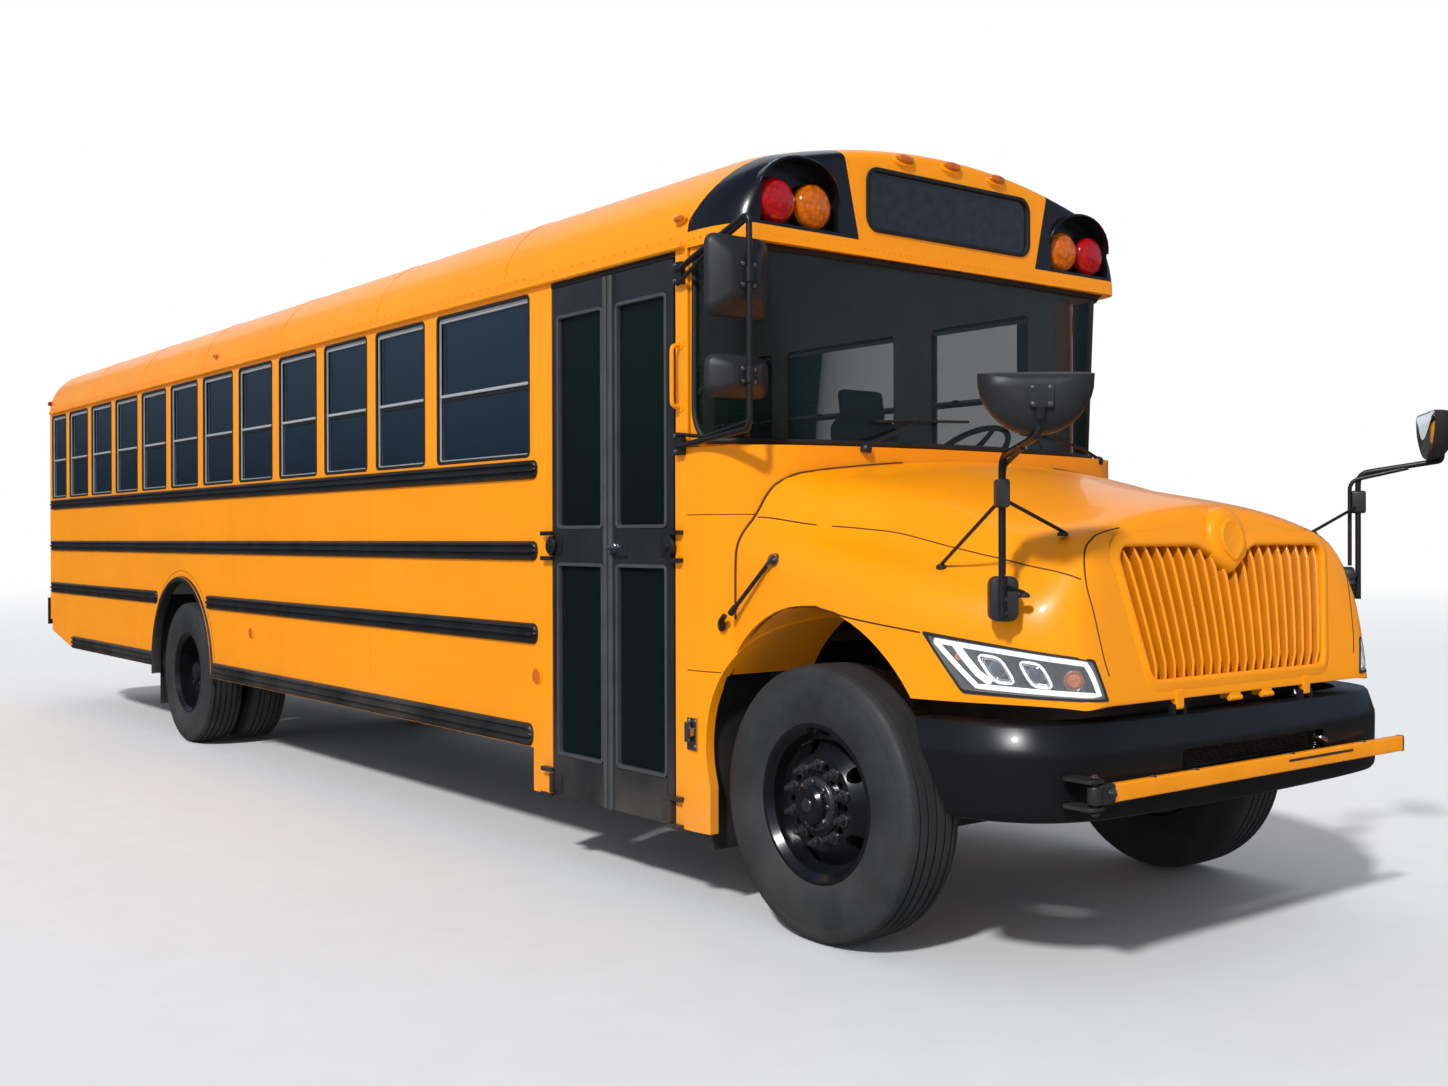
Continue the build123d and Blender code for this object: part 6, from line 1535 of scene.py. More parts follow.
def cross_view(side, name):
    """Half-moon mirror shell on a bent twin stalk with a small box, braces and a lower head."""
    tubes, shell, glasses, boxes, fixings = pieces(5)
    foot = axle_point(side, 1.110, -0.886, 1.250)
    top = Vector((foot.x, foot.y, 1.775))
    centre = axle_point(side, 1.277, -1.190, 1.960)
    turn = radians(38)
    ahead = Vector((side * sin(turn), -cos(turn), 0))
    sideways = Vector((cos(turn), side * sin(turn), 0))
    place = oriented(centre, sideways, ahead)
    neck = centre - ahead * 0.030
    tubes.pipe(bend([foot, top, (centre.x * 0.9 + top.x * 0.1, centre.y * 0.9 + top.y * 0.1, 1.822),
        (neck.x, neck.y, 1.850), (neck.x, neck.y, 1.950)], 0.045, 6), 0.0115, 14)
    second = Vector((0.030 * -side, 0.020, 0))
    tubes.pipe(bend([foot + second + Vector((0, 0, 0.14)), top + second + Vector((0, 0, -0.03)),
        Vector((centre.x * 0.55 + top.x * 0.45, centre.y * 0.55 + top.y * 0.45, 1.795))], 0.04, 6), 0.0085, 12)
    for end in ((1.010, -0.520, 1.418), (0.785, -0.872, 1.532), (1.022, -0.905, 1.330)):
        spot = axle_point(side, *end)
        tubes.pipe([Vector((foot.x, foot.y, 1.640)) if end[2] > 1.35 else Vector((foot.x, foot.y, 1.36)), spot],
            0.0065, 10)
        boxes.lathe(spot + Vector((0, 0, -0.016)), (0, 0, 1), [(0, 0.019), (0.010, 0.019), (0.018, 0.010)], 16)
    width, drop, head = 0.178, 0.150, 0.056
    rim = [(width * cos(radians(a)), head - 0.012 + drop * 1.18 * sin(radians(a))) for a in range(180, 361, 10)]
    rim = [(width, head)] + [(width - 0.02 * k, head + 0.004) for k in range(1, 17)] + [(-width, head)] + rim[1:-1]
    rim = list(reversed(rim))

    def shrunk(scale):
        return [(u * scale, v * scale) for u, v in rim]
    profile = ((-0.092, 0.985), (-0.088, 1.01), (-0.070, 1.015), (-0.050, 0.985), (-0.030, 0.90), (-0.012, 0.74),
        (-0.003, 0.52), (0.0, 0.25))
    shell.faces([[place(u, v, w) for u, v in shrunk(scale)] for w, scale in profile])
    glasses.faces([[place(u, v, w) for u, v in shrunk(scale)]
        for w, scale in ((-0.0885, 0.965), (-0.094, 0.94), (-0.104, 0.72), (-0.110, 0.42), (-0.112, 0.12))])
    boxes.faces([[place(u, v, w) for u, v in rounded(0, -0.020, 0.076, 0.070, 0.010, 3)] for w in (-0.010, 0.010)])
    boxes.pipe([place(0, -0.045, 0.004), place(0, -0.085, -0.012)], 0.017, 14)
    for u in (-0.027, 0.027):
        for v in (-0.044, 0.006):
            fixings.bolt(place(u, v, 0.009), ahead, 0.0055, 0.005)
    lower = oriented((foot.x - side * 0.040, foot.y + 0.030, 1.310), sideways, ahead)
    boxes.faces([[lower(u * s, v * s, w) for u, v in rounded(0, 0, 0.096, 0.150, 0.028, 4)]
        for w, s in ((-0.030, 0.96), (-0.024, 1.0), (0.018, 1.0), (0.026, 0.95), (0.028, 0.88))])
    for v in (-0.045, 0.0, 0.040):
        fixings.bolt(lower(0.0, v, 0.0275), ahead, 0.0058, 0.004)
    post = oriented((foot.x, foot.y, 1.656), sideways, ahead)
    boxes.faces([[post(u * s, v * s, w) for u, v in rounded(0, 0, 0.046, 0.094, 0.012, 4)]
        for w, s in ((-0.026, 0.95), (-0.020, 1.0), (0.022, 1.0), (0.028, 0.93))])
    tubes.done(f"cross_view_stalk_{name}", M_SATIN, body="hood", smooth=60,
        replaces=["cross_view_mirrors"])
    shell.done(f"cross_view_shell_{name}", M_PLASTIC, body="hood", smooth=50)
    glasses.done(f"cross_view_glass_{name}", M_MIRROR, body="hood", smooth=60)
    boxes.done(f"cross_view_boxes_{name}", M_PLASTIC, body="hood", bevel=0.002, smooth=45)
    fixings.done(f"cross_view_bolts_{name}", M_STEEL, body="hood")


for mirror_side, mirror_name in SIDES:
    cross_view(mirror_side, mirror_name)

# ---------------------------------------------------------------- front bumper and crossing arm

CROSSING_ARM_Y, ARM_Z = -6.029, 0.690
HOOD_PIVOT_X = 0.402
SLOT_Z = 0.747
BUMPER_PLAN = [(1.195, -0.540), (1.190, -0.640), (1.170, -0.760), (1.125, -0.880), (1.055, -0.975),
    (0.960, -1.040), (0.850, -1.078), (0.700, -1.098), (0.450, -1.114), (0.200, -1.123), (0.0, -1.125)]


def bumper_curve(out, end_y):
    """The bumper's plan, moved outwards, from its left end to its right end, cut at end_y."""
    kept = [p for p in whole_plan(BUMPER_PLAN, out) if p.y < end_y - 0.004]
    run = [Vector((kept[0].x, end_y))] + kept + [Vector((kept[-1].x, end_y))]
    lengths = run_lengths(run)
    result = []
    samples = 96
    k = 0
    for n in range(samples + 1):
        target = lengths[-1] * n / samples
        while k < len(run) - 2 and lengths[k + 1] < target:
            k += 1
        span = max(lengths[k + 1] - lengths[k], 1e-9)
        result.append(run[k].lerp(run[k + 1], (target - lengths[k]) / span))
    return [Vector((p.x, FRONT_AXLE_Y + p.y)) for p in result]


def front_bumper():
    """The formed bumper with its slot and tow hook, the hood's pivots and the crossing arm."""
    # Columns: how far out from the plan, height
    profile = [(-0.150, 0.900), (-0.052, 0.900), (-0.036, 0.897), (-0.026, 0.886), (-0.006, 0.822),
        (-0.001, 0.808), (0.0, 0.790), (0.0, 0.615), (-0.003, 0.598), (-0.012, 0.585), (-0.030, 0.578),
        (-0.062, 0.578), (-0.062, 0.584), (-0.038, 0.590), (-0.034, 0.800), (-0.052, 0.888), (-0.150, 0.892)]
    curves = []
    for out, z in profile:
        cut = -0.540 - 0.170 * max(0.0, min(1.0, (0.900 - z) / 0.322))
        curves.append([Vector((p.x, p.y, z)) for p in bumper_curve(out, cut)])
    rings = [[curve[n] for curve in curves] for n in range(len(curves[0]))]
    shell = Piece()
    shell.faces(rings)
    bumper = shell.done("front_bumper_shell", M_BUMPER, body=None)
    slot_cut = Piece()
    slot_cut.plate("y", rounded(0.0, SLOT_Z, 0.900, 0.074, 0.020, 4), FRONT_AXLE_Y - 1.20, FRONT_AXLE_Y - 1.02)
    carve(bumper, [slot_cut.cutter("bumper_slot_cut")])
    soften(reface(bumper, 30), 0.0025)
    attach(bumper, BODY)
    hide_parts("front_bumper")
    fins, hook, lugs, bracket, bolts = pieces(5)
    fins.plate("y", rounded(0.0, SLOT_Z, 0.930, 0.100, 0.020, 4), FRONT_AXLE_Y - 1.062, FRONT_AXLE_Y - 1.056)
    for k in range(9):
        z = 0.716 + 0.0078 * k
        fins.box((-0.452, FRONT_AXLE_Y - 1.084, z - 0.0018), (0.452, FRONT_AXLE_Y - 1.060, z + 0.0018))
    hook.pipe(bend([(0.405, FRONT_AXLE_Y - 1.060, 0.750), (0.405, FRONT_AXLE_Y - 1.130, 0.756),
        (0.440, FRONT_AXLE_Y - 1.130, 0.740), (0.440, FRONT_AXLE_Y - 1.060, 0.736)], 0.02, 6), 0.009, 12)
    for side, _ in SIDES:
        lugs.box((side * HOOD_PIVOT_X - 0.030, FRONT_AXLE_Y - 1.098, 0.780),
            (side * HOOD_PIVOT_X + 0.030, FRONT_AXLE_Y - 0.92, 0.850))
        for edge in (-1, 1):
            x = side * HOOD_PIVOT_X + edge * 0.031
            lugs.plate("x", [(FRONT_AXLE_Y - 1.074, 0.845), (FRONT_AXLE_Y - 1.046, 0.845),
                (FRONT_AXLE_Y - 1.048, 0.932), (FRONT_AXLE_Y - 1.060, 0.938), (FRONT_AXLE_Y - 1.072, 0.932)],
                x - 0.006, x + 0.006)
    for end in (-1, 1):
        z = ARM_Z + end * 0.044
        bracket.faces([[Vector((x, y, zz))
            for x, y in rounded(-0.972, FRONT_AXLE_Y - 1.105, 0.078, 0.125, 0.020, 4)]
            for zz in (z - 0.006, z + 0.006)])
    bracket.lathe((-0.975, CROSSING_ARM_Y, 0.630), (0, 0, 1), [(0, 0.010), (0.120, 0.010)], 14)
    for z in (0.632, 0.748):
        bolts.bolt((-0.975, CROSSING_ARM_Y, z), (0, 0, -1 if z < 0.69 else 1), 0.011, 0.009)
    fins.done("bumper_slot_fins", M_SATIN)
    hook.done("tow_hook", M_STEEL, smooth=60)
    lugs.done("hood_pivot_lugs", M_SATIN, bevel=0.002)
    bracket.done("crossing_arm_bracket", M_SATIN, bevel=0.002)
    bolts.done("crossing_arm_bracket_bolts", M_STEEL)
    arm, ends, screws, strip = pieces(4)
    y = CROSSING_ARM_Y
    shape = rounded(y, ARM_Z, 0.030, 0.060, 0.007, 4)
    arm.plate("x", shape, -0.925, 0.940)
    ends.lathe((-0.975, y, 0.661), (0, 0, 1), [(0, 0.022), (0.004, 0.024), (0.054, 0.024), (0.058, 0.022)], 24)
    ends.plate("x", rounded(y, ARM_Z, 0.0345, 0.0645, 0.007, 4), -0.965, -0.890)
    ends.plate("x", rounded(y, ARM_Z, 0.033, 0.063, 0.007, 4), 0.936, 0.945)
    for x in (-0.672, -0.434, 0.158, 0.655):
        screws.bolt((x, y, 0.7195), (0, 0, 1), 0.009, 0.006)
    screws.bolt((-0.905, y - 0.017, ARM_Z), (0, -1, 0), 0.013, 0.010)
    strip.box((0.12, y - 0.0165, 0.694), (0.56, y - 0.0145, 0.703))
    arm.done("crossing_arm_tube", M_YELLOW_PLAIN, body="crossing_arm", bevel=0.001,
        replaces=["crossing_arm"])
    ends.done("crossing_arm_ends", M_SATIN, body="crossing_arm", bevel=0.002)
    screws.done("crossing_arm_screws", M_STEEL, body="crossing_arm")
    strip.done("crossing_arm_slot", M_RUBBER, body="crossing_arm")
    tabs = Piece()
    for x in (-0.060, 0.142):
        tabs.box((x - 0.032, FRONT_AXLE_Y - 1.066, 0.928), (x + 0.032, FRONT_AXLE_Y - 1.020, 0.952))
        tabs.rod((x - 0.038, FRONT_AXLE_Y - 1.062, 0.932), (x + 0.038, FRONT_AXLE_Y - 1.062, 0.932), 0.010)
    for side, _ in SIDES:
        tabs.box((side * HOOD_PIVOT_X - 0.0215, FRONT_AXLE_Y - 1.072, 0.918),
            (side * HOOD_PIVOT_X + 0.0215, FRONT_AXLE_Y - 1.046, 0.985))
        tabs.lathe((side * HOOD_PIVOT_X - 0.022, FRONT_AXLE_Y - 1.060, 0.925), (1, 0, 0),
            [(0, 0.0118), (0.044, 0.0118)], 16)
    tabs.done("hood_pivot_tabs", M_YELLOW_PLAIN, body="hood", bevel=0.003)


front_bumper()

# ---------------------------------------------------------------- wheels

STUD_CIRCLE, HUB_CIRCLE = 0.142875, 0.0825
TREAD_BLOCKS = 96


def wheel(name, side, y, centres, face_x, tyre_node):
    """Grooved tyres, and the nuts, studs and hub parts on the CAD rims."""
    tyres, nuts, studs, hub, valve = pieces(5)

    def round_hub(x, radius, angle):
        return Vector((side * x, y + radius * cos(angle), AXLE_Z + radius * sin(angle)))
    half = [(-0.104, 0.288), (-0.112, 0.296), (-0.118, 0.306), (-0.121, 0.318), (-0.128, 0.336), (-0.136, 0.366),
        (-0.1395, 0.398), (-0.1395, 0.428), (-0.136, 0.452), (-0.1325, 0.462), (-0.1325, 0.467), (-0.129, 0.480),
        (-0.123, 0.497), (-0.117, 0.507), (-0.108, 0.5135)]
    tread = []
    grooves = (-0.080, -0.042, 0.0, 0.042, 0.080)
    for spot in grooves:
        crown = TYRE_RADIUS - 0.0045 * (spot / 0.108) ** 2
        tread += [(spot - 0.0062, crown), (spot - 0.0048, crown - 0.013), (spot + 0.0048, crown - 0.013),
            (spot + 0.0062, crown)]
    profile = half + tread + [(-a, r) for a, r in reversed(half)]
    for x in centres:
        tyres.lathe((side * x, y, AXLE_Z), (side, 0, 0), profile + [(0.090, 0.292), (-0.090, 0.292)], TREAD_BLOCKS)
        for k in range(TREAD_BLOCKS):
            angle = 2 * pi * k / TREAD_BLOCKS
            turn = Vector((0, cos(angle), sin(angle)))
            for edge in (-1, 1):
                start = Vector((side * x + edge * 0.1175, y, AXLE_Z)) + turn * 0.5045
                end = Vector((side * x + edge * 0.1065, y, AXLE_Z)) + turn * 0.5125
                across = end - start
                wide = turn.cross(Vector((1, 0, 0))) * 0.0022
                up = Vector((edge, 0, 0)) * 0.0018 + turn * 0.0018
                loop = [start - wide, start + wide, start + wide * 0.6 + up, start - wide * 0.6 + up]
                tyres.faces([loop, [p + across for p in loop]])
    for k in range(10):
        spot = round_hub(face_x, STUD_CIRCLE, 2 * pi * (k + 0.5) / 10)
        nuts.lathe(spot, (side, 0, 0), [(-0.001, 0.025), (0.005, 0.025), (0.008, 0.020)], 20)
        nuts.lathe(spot, (side, 0, 0), [(0.004, 0.0195), (0.026, 0.0195), (0.030, 0.0165)], 6)
        studs.lathe(spot, (side, 0, 0), [(0.0, 0.0105), (0.046, 0.0105), (0.048, 0.009)], 14)
    hub_x = side * (face_x - 0.004)
    for k in range(8):
        spot = round_hub(face_x + 0.028, HUB_CIRCLE, 2 * pi * k / 8)
        nuts.lathe(spot, (side, 0, 0), [(-0.010, 0.0115), (0.008, 0.0115), (0.010, 0.009)], 6)
    hub.lathe((hub_x, y, AXLE_Z), (side, 0, 0),
        [(0.0, 0.110), (0.008, 0.110), (0.014, 0.104), (0.028, 0.100), (0.032, 0.095), (0.032, 0.070),
        (0.042, 0.066), (0.058, 0.060), (0.064, 0.053), (0.064, 0.028), (0.069, 0.024), (0.070, 0.0)], 48)
    angle = radians(75)
    spot = round_hub(face_x - 0.020, 0.235, angle)
    valve.pipe([spot, spot + Vector((side * 0.050, -0.012 * cos(angle), -0.012 * sin(angle)))], 0.0045, 8, 0.0038)
    tyres.done(f"{name}_tyres", M_TYRE, body=name, smooth=34, replaces=[tyre_node])
    nuts.done(f"{name}_nuts", M_NUT, body=name, smooth=35)
    studs.done(f"{name}_studs", M_NUT, body=name, smooth=40)
    hub.done(f"{name}_hub", M_NUT, body=name, smooth=40)
    valve.done(f"{name}_valve", M_STEEL, body=name)


for wheel_side, wheel_name in SIDES:
    wheel(f"wheel_front_{wheel_name}", wheel_side, FRONT_AXLE_Y, (1.030,), 1.122, f"front_tyre_{wheel_name}")
    wheel(f"wheel_rear_{wheel_name}", wheel_side, REAR_AXLE_Y, (1.062, 0.732), 0.962, f"rear_tyres_{wheel_name}")

# ---------------------------------------------------------------- cowl

def cowl():
    """The rounded wall under the windscreen with its posts, and the black lugs of the door hinges."""
    rear = DOOR_FRONT - 0.006
    outer, inner, cabin, bay, arches = pieces(5)
    outer.plate("z", cowl_front(0.0) + [(-HALF, rear), (HALF, rear)], 0.325, 1.880)
    inner.plate("z", cowl_front(-0.040) + [(-HALF + 0.040, rear + 0.2), (HALF - 0.040, rear + 0.2)], 0.20, 1.866)
    cabin.box((-1.165, FRONT_AXLE_Y + 0.520, 1.80), (1.165, rear + 0.25, 2.0))
    bay.box((-1.159, FRONT_AXLE_Y - 0.255, 0.10), (1.159, FRONT_AXLE_Y + 0.945, 0.960))
    outline = [(FRONT_AXLE_Y - 0.558, 0.0), (FRONT_AXLE_Y + 0.558, 0.0)] + arc_points(FRONT_AXLE_Y, ARCH_Z,
        ARCH_RADIUS, range(-16, 197, 4))
    arches.plate("x", outline, -1.3, 1.3)
    wall = outer.cutter("cowl_wall")
    carve(wall, [piece.cutter(f"cowl_cut_{k}") for k, piece in enumerate((inner, cabin, bay, arches))])
    reface(wall, 30)
    soften(wall, 0.010, 3)
    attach(wall, BODY)
    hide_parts("cowl")
    posts, lugs = pieces(2)
    for side, _ in SIDES:
        posts.box((side * (HALF - WALL), CAP_ROOT, 1.872), (side * HALF, rear, 2.702))
    posts.done("windscreen_posts", M_YELLOW, bevel=0.006)
    for z in DOOR_HINGE_Z:
        for end in (-1, 1):
            mid = z + end * 0.057
            lugs.plate("z", [(-HALF + 0.001, rear), (-HALF + 0.001, rear - 0.055), (-1.247, rear - 0.055),
                (-1.247, DOOR_FRONT + 0.024), (-1.228, DOOR_FRONT + 0.024), (-1.228, rear)], mid - 0.009,
                mid + 0.009)
            back = DOOR_REAR + 0.006
            lugs.plate("z", [(-HALF - 0.0005, back), (-HALF - 0.0005, back + 0.056), (-1.2482, back + 0.056),
                (-1.2482, DOOR_REAR - 0.025), (-1.2275, DOOR_REAR - 0.025), (-1.2275, back)], mid - 0.0100,
                mid + 0.0100)
    lugs.done("door_hinge_lugs", M_SATIN, bevel=0.002)
    header = Piece()
    header.box((-HALF - 0.001, DOOR_FRONT - 0.004, 2.664), (-HALF + 0.030, DOOR_REAR + 0.004, 2.702))
    header.done("door_header_seal", M_RUBBER, bevel=0.003)


cowl()

# ---------------------------------------------------------------- hood seams, straps and wheel-arch liners

def on_hood(points, lift=0.0, steps=8):
    """The points laid on the hood's skin, close together, and lifted off it."""
    tree = BVHTree.FromObject(bpy.data.objects["hood_shell"], bpy.context.evaluated_depsgraph_get())
    result = []
    for point in smooth_run(points, steps):
        spot, normal, _, _ = tree.find_nearest(point)
        if normal.dot(point - Vector((0, FRONT_AXLE_Y, 1.0))) < 0:
            normal = -normal
        result.append(spot + normal * lift)
    return result


def hood_details():
    """Seam lines on the hood's skin as painted shade lines, liners in its arches and the rubber straps that hold
    it down.
    """
    seams, liners, straps, metal, bases = pieces(5)
    bpy.context.view_layer.update()
    fender = [(1.128, 0.362, 1.600), (1.106, 0.295, 1.592), (1.054, 0.083, 1.557), (1.010, -0.103, 1.545),
        (0.959, -0.271, 1.526), (0.922, -0.477, 1.481), (0.900, -0.698, 1.439), (0.884, -0.850, 1.409),
        (0.830, -0.985, 1.372)]
    lower = [(1.150, 0.395, 1.240), (1.185, -0.014, 1.249), (1.184, -0.271, 1.221), (1.158, -0.476, 1.196),
        (1.146, -0.545, 1.187)]
    surround = [(0.770, -1.052, 1.050), (0.788, -1.043, 1.118), (0.806, -1.020, 1.256), (0.817, -0.994, 1.367),
        (0.781, -0.960, 1.461), (0.731, -0.948, 1.504), (0.655, -0.946, 1.532), (0.318, -0.955, 1.562),
        (0.150, -0.958, 1.572)]
    for side, _ in SIDES:
        for line in (fender, lower, surround):
            seams.pipe(on_hood([axle_point(side, *point) for point in line], -0.0022), 0.0042, 6)
        shape, inner = (arc_points(FRONT_AXLE_Y, ARCH_Z, radius, range(29, 152, 3)) for radius in (0.5875, 0.5915))
        liners.faces([[Vector((side * x, y, z)) for y, z in shape + inner[::-1]]
            for x in (0.700, 0.800, 0.860, 0.960, 1.020, 1.125)])
        head = axle_point(side, 1.171, 0.194, 1.429)
        foot = axle_point(side, 1.182, 0.405, 1.235)
        spot = on_hood([head, head + Vector((0, 0.001, 0))], 0.0)[0]
        metal.lathe(spot, (side, 0, 0.35),
            [(-0.004, 0.026), (0.008, 0.026), (0.014, 0.020), (0.022, 0.016), (0.026, 0.0)], 20)
        metal.pipe([spot + Vector((side * 0.014, -0.018, 0.018)), spot + Vector((side * 0.022, 0.022, -0.022))],
            0.010, 10)
        straps.pipe([spot + Vector((side * 0.018, 0.012, -0.010)),
            spot.lerp(foot, 0.55) + Vector((side * 0.020, 0, 0)), foot + Vector((side * 0.022, 0, 0))], 0.0085, 10)
        straps.pipe([foot + Vector((side * 0.022, -0.006, 0.006)), foot + Vector((side * 0.024, 0.020, -0.020))],
            0.013, 10)
        base = axle_point(side, 1.200, 0.485, 1.180)
        bases.pipe(bend([base + Vector((-side * 0.012, 0.014, -0.020)), base + Vector((side * 0.010, 0.0, 0.0)),
            base + Vector((side * 0.012, -0.030, 0.026))], 0.01, 4), 0.0115, 10)
        bases.lathe(base + Vector((-side * 0.006, 0.010, -0.014)), (side, 0.3, 0),
            [(-0.006, 0.024), (0.008, 0.024), (0.012, 0.018)], 16)
    # Painted shade: the seam lines are pipes in a shade colour, standing in for the shade in the panel gaps
    seams.done("hood_seam_shade_lines", M_PAINTED_SHADE, body="hood", smooth=70)
    liners.done("wheel_arch_liners", M_YELLOW_PLAIN, body="hood", smooth=50)
    metal.done("hood_latch_heads", M_STEEL, body="hood", smooth=50)
    straps.done("hood_latch_straps", M_RUBBER, body="hood", smooth=60)
    bases.done("hood_latch_bases", M_SATIN, smooth=50)


hood_details()

# ---------------------------------------------------------------- arch flares, reflectors, flaps

def arc_band(piece, side, centre_y, centre_z, profile, first, last, steps=48):
    """A band round an arch: profile lists (radius, distance out from the skin)."""
    rings = []
    for k in range(steps + 1):
        angle = radians(first + (last - first) * k / steps)
        rings.append([Vector((side * (HALF + out), centre_y + radius * cos(angle), centre_z + radius * sin(angle)))
            for radius, out in profile])
    piece.faces(rings)


def lower_details():
    """Rear arch flares, side reflectors and the bolts of the mud flaps."""
    flares, seams, reflectors, rims, bolts, straps = pieces(6)
    for side, _ in SIDES:
        arc_band(flares, side, REAR_AXLE_Y, REAR_ARCH_Z,
            [(0.6365, -0.042), (0.6365, 0.016), (0.642, 0.0215), (0.668, 0.0215), (0.676, 0.014), (0.678, -0.002),
            (0.660, -0.002), (0.650, -0.042)], -8, 188)
        arc_band(seams, side, REAR_AXLE_Y, REAR_ARCH_Z,
            [(0.716, -0.001), (0.716, 0.0012), (0.719, 0.0012), (0.719, -0.001)], -4, 184)
        for k in range(17):
            angle = radians(4 + 10.75 * k)
            bolts.rivet((side * HALF, REAR_AXLE_Y + 0.700 * cos(angle), REAR_ARCH_Z + 0.700 * sin(angle)),
                (side, 0, 0), 0.0055, 0.003, 8)
        for y, z in ((1.873, 0.866), (5.575, 0.885)):
            spot = (side * HALF, FRONT_AXLE_Y + y, z)
            rims.lathe(spot, (side, 0, 0), [(-0.001, 0.041), (0.005, 0.041), (0.007, 0.037)], 28)
            reflectors.lathe(spot, (side, 0, 0), [(0.003, 0.035), (0.009, 0.035), (0.010, 0.030), (0.010, 0.0)],
                28)
        reflectors.oval(axle_point(side, HALF - 0.002, 6.250, 2.800), Vector((0, 0.034, 0)), Vector((0, 0, 0.014)),
            Vector((side, 0, 0)), ((0, 1), (0.014, 0.9), (0.018, 0.5)))
    flares.done("rear_arch_flares", M_RUBBER, smooth=50)
    # Painted shade: the arch seam is a thin band in a shade colour, standing in for the shade in the gap
    seams.done("rear_arch_seam_shade_lines", M_PAINTED_SHADE)
    bolts.done("rear_arch_rivets", M_YELLOW_PLAIN)
    rims.done("side_reflector_rims", M_YELLOW_PLAIN)
    reflectors.done("side_reflectors", M_REFLECTOR_PAINTED_GLOW, smooth=50)
    for side, _ in SIDES:
        for y, xs, z in ((FRONT_AXLE_Y + 0.640, (0.90, 1.10), 0.80),
                (REAR_AXLE_Y + 0.700, (0.70, 0.95, 1.15), 0.95)):
            for x in xs:
                straps.bolt((side * x, y - 0.008, z), (0, -1, 0), 0.010, 0.008)
    straps.done("mud_flap_bolts", M_STEEL)


lower_details()

# ---------------------------------------------------------------- cabin lining on the CAD shells

def line_inside(node, test, mat):
    """Gives the cabin side of a CAD shell its own finish, face by face."""
    obj = nodes[node]
    obj.data.materials.append(mat)
    place = obj.matrix_world
    turn = place.to_3x3()
    for face in obj.data.polygons:
        centre, normal = place @ face.center, turn @ face.normal
        if test(centre, normal):
            face.material_index = len(obj.data.materials) - 1


line_inside("roof", lambda c, n: n.dot(Vector((c.x, 0, c.z - 2.2))) < 0, M_LINER)
line_inside("rear_wall", lambda c, n: n.y < -0.5, M_LINER)
for inner_side, inner_name in SIDES:
    for shell_node in ("side_wall", "skirt"):
        line_inside(f"{shell_node}_{inner_name}", lambda c, n, s=inner_side: n.x * s < -0.5 and c.z > 1.12,
            M_LINER)
        line_inside(f"{shell_node}_{inner_name}", lambda c, n, s=inner_side: n.x * s < -0.5 and c.z <= 1.12,
            M_CHASSIS)

# ---------------------------------------------------------------- benches and driver's seat

AISLE_X = 0.267
SEAT_PITCH = 0.720


def power(value, exponent):
    """The power of the value's size, with its sign."""
    return (1 if value >= 0 else -1) * abs(value) ** exponent


def pad(cushion, welt, origin, up, size, rings=12, segments=32):
    """A crowned cushion: x across the bus, thickness along up, with a sewn welt round its edge."""
    up = Vector(up).normalized()
    forward = up.cross(Vector((1, 0, 0))).normalized()
    loops = []
    for k in range(rings + 1):
        tilt = -pi / 2 + pi * k / rings
        flat = power(cos(tilt), 0.42)
        rise = power(sin(tilt), 0.62)
        loop = []
        for s in range(segments):
            turn = 2 * pi * s / segments
            pinch = 1 - 0.030 * (1 - abs(power(cos(turn), 0.3) * power(sin(turn), 0.3))) * abs(rise)
            loop.append(Vector(origin) + Vector((size[0] * flat * power(cos(turn), 0.26) * pinch, 0, 0))
                + forward * (size[1] * flat * power(sin(turn), 0.26) * pinch) + up * (size[2] * rise))
        loops.append(loop)
    cushion.faces(loops)
    edge = loops[rings // 2]
    welt.pipe(edge + [edge[0]], 0.0035, 6)


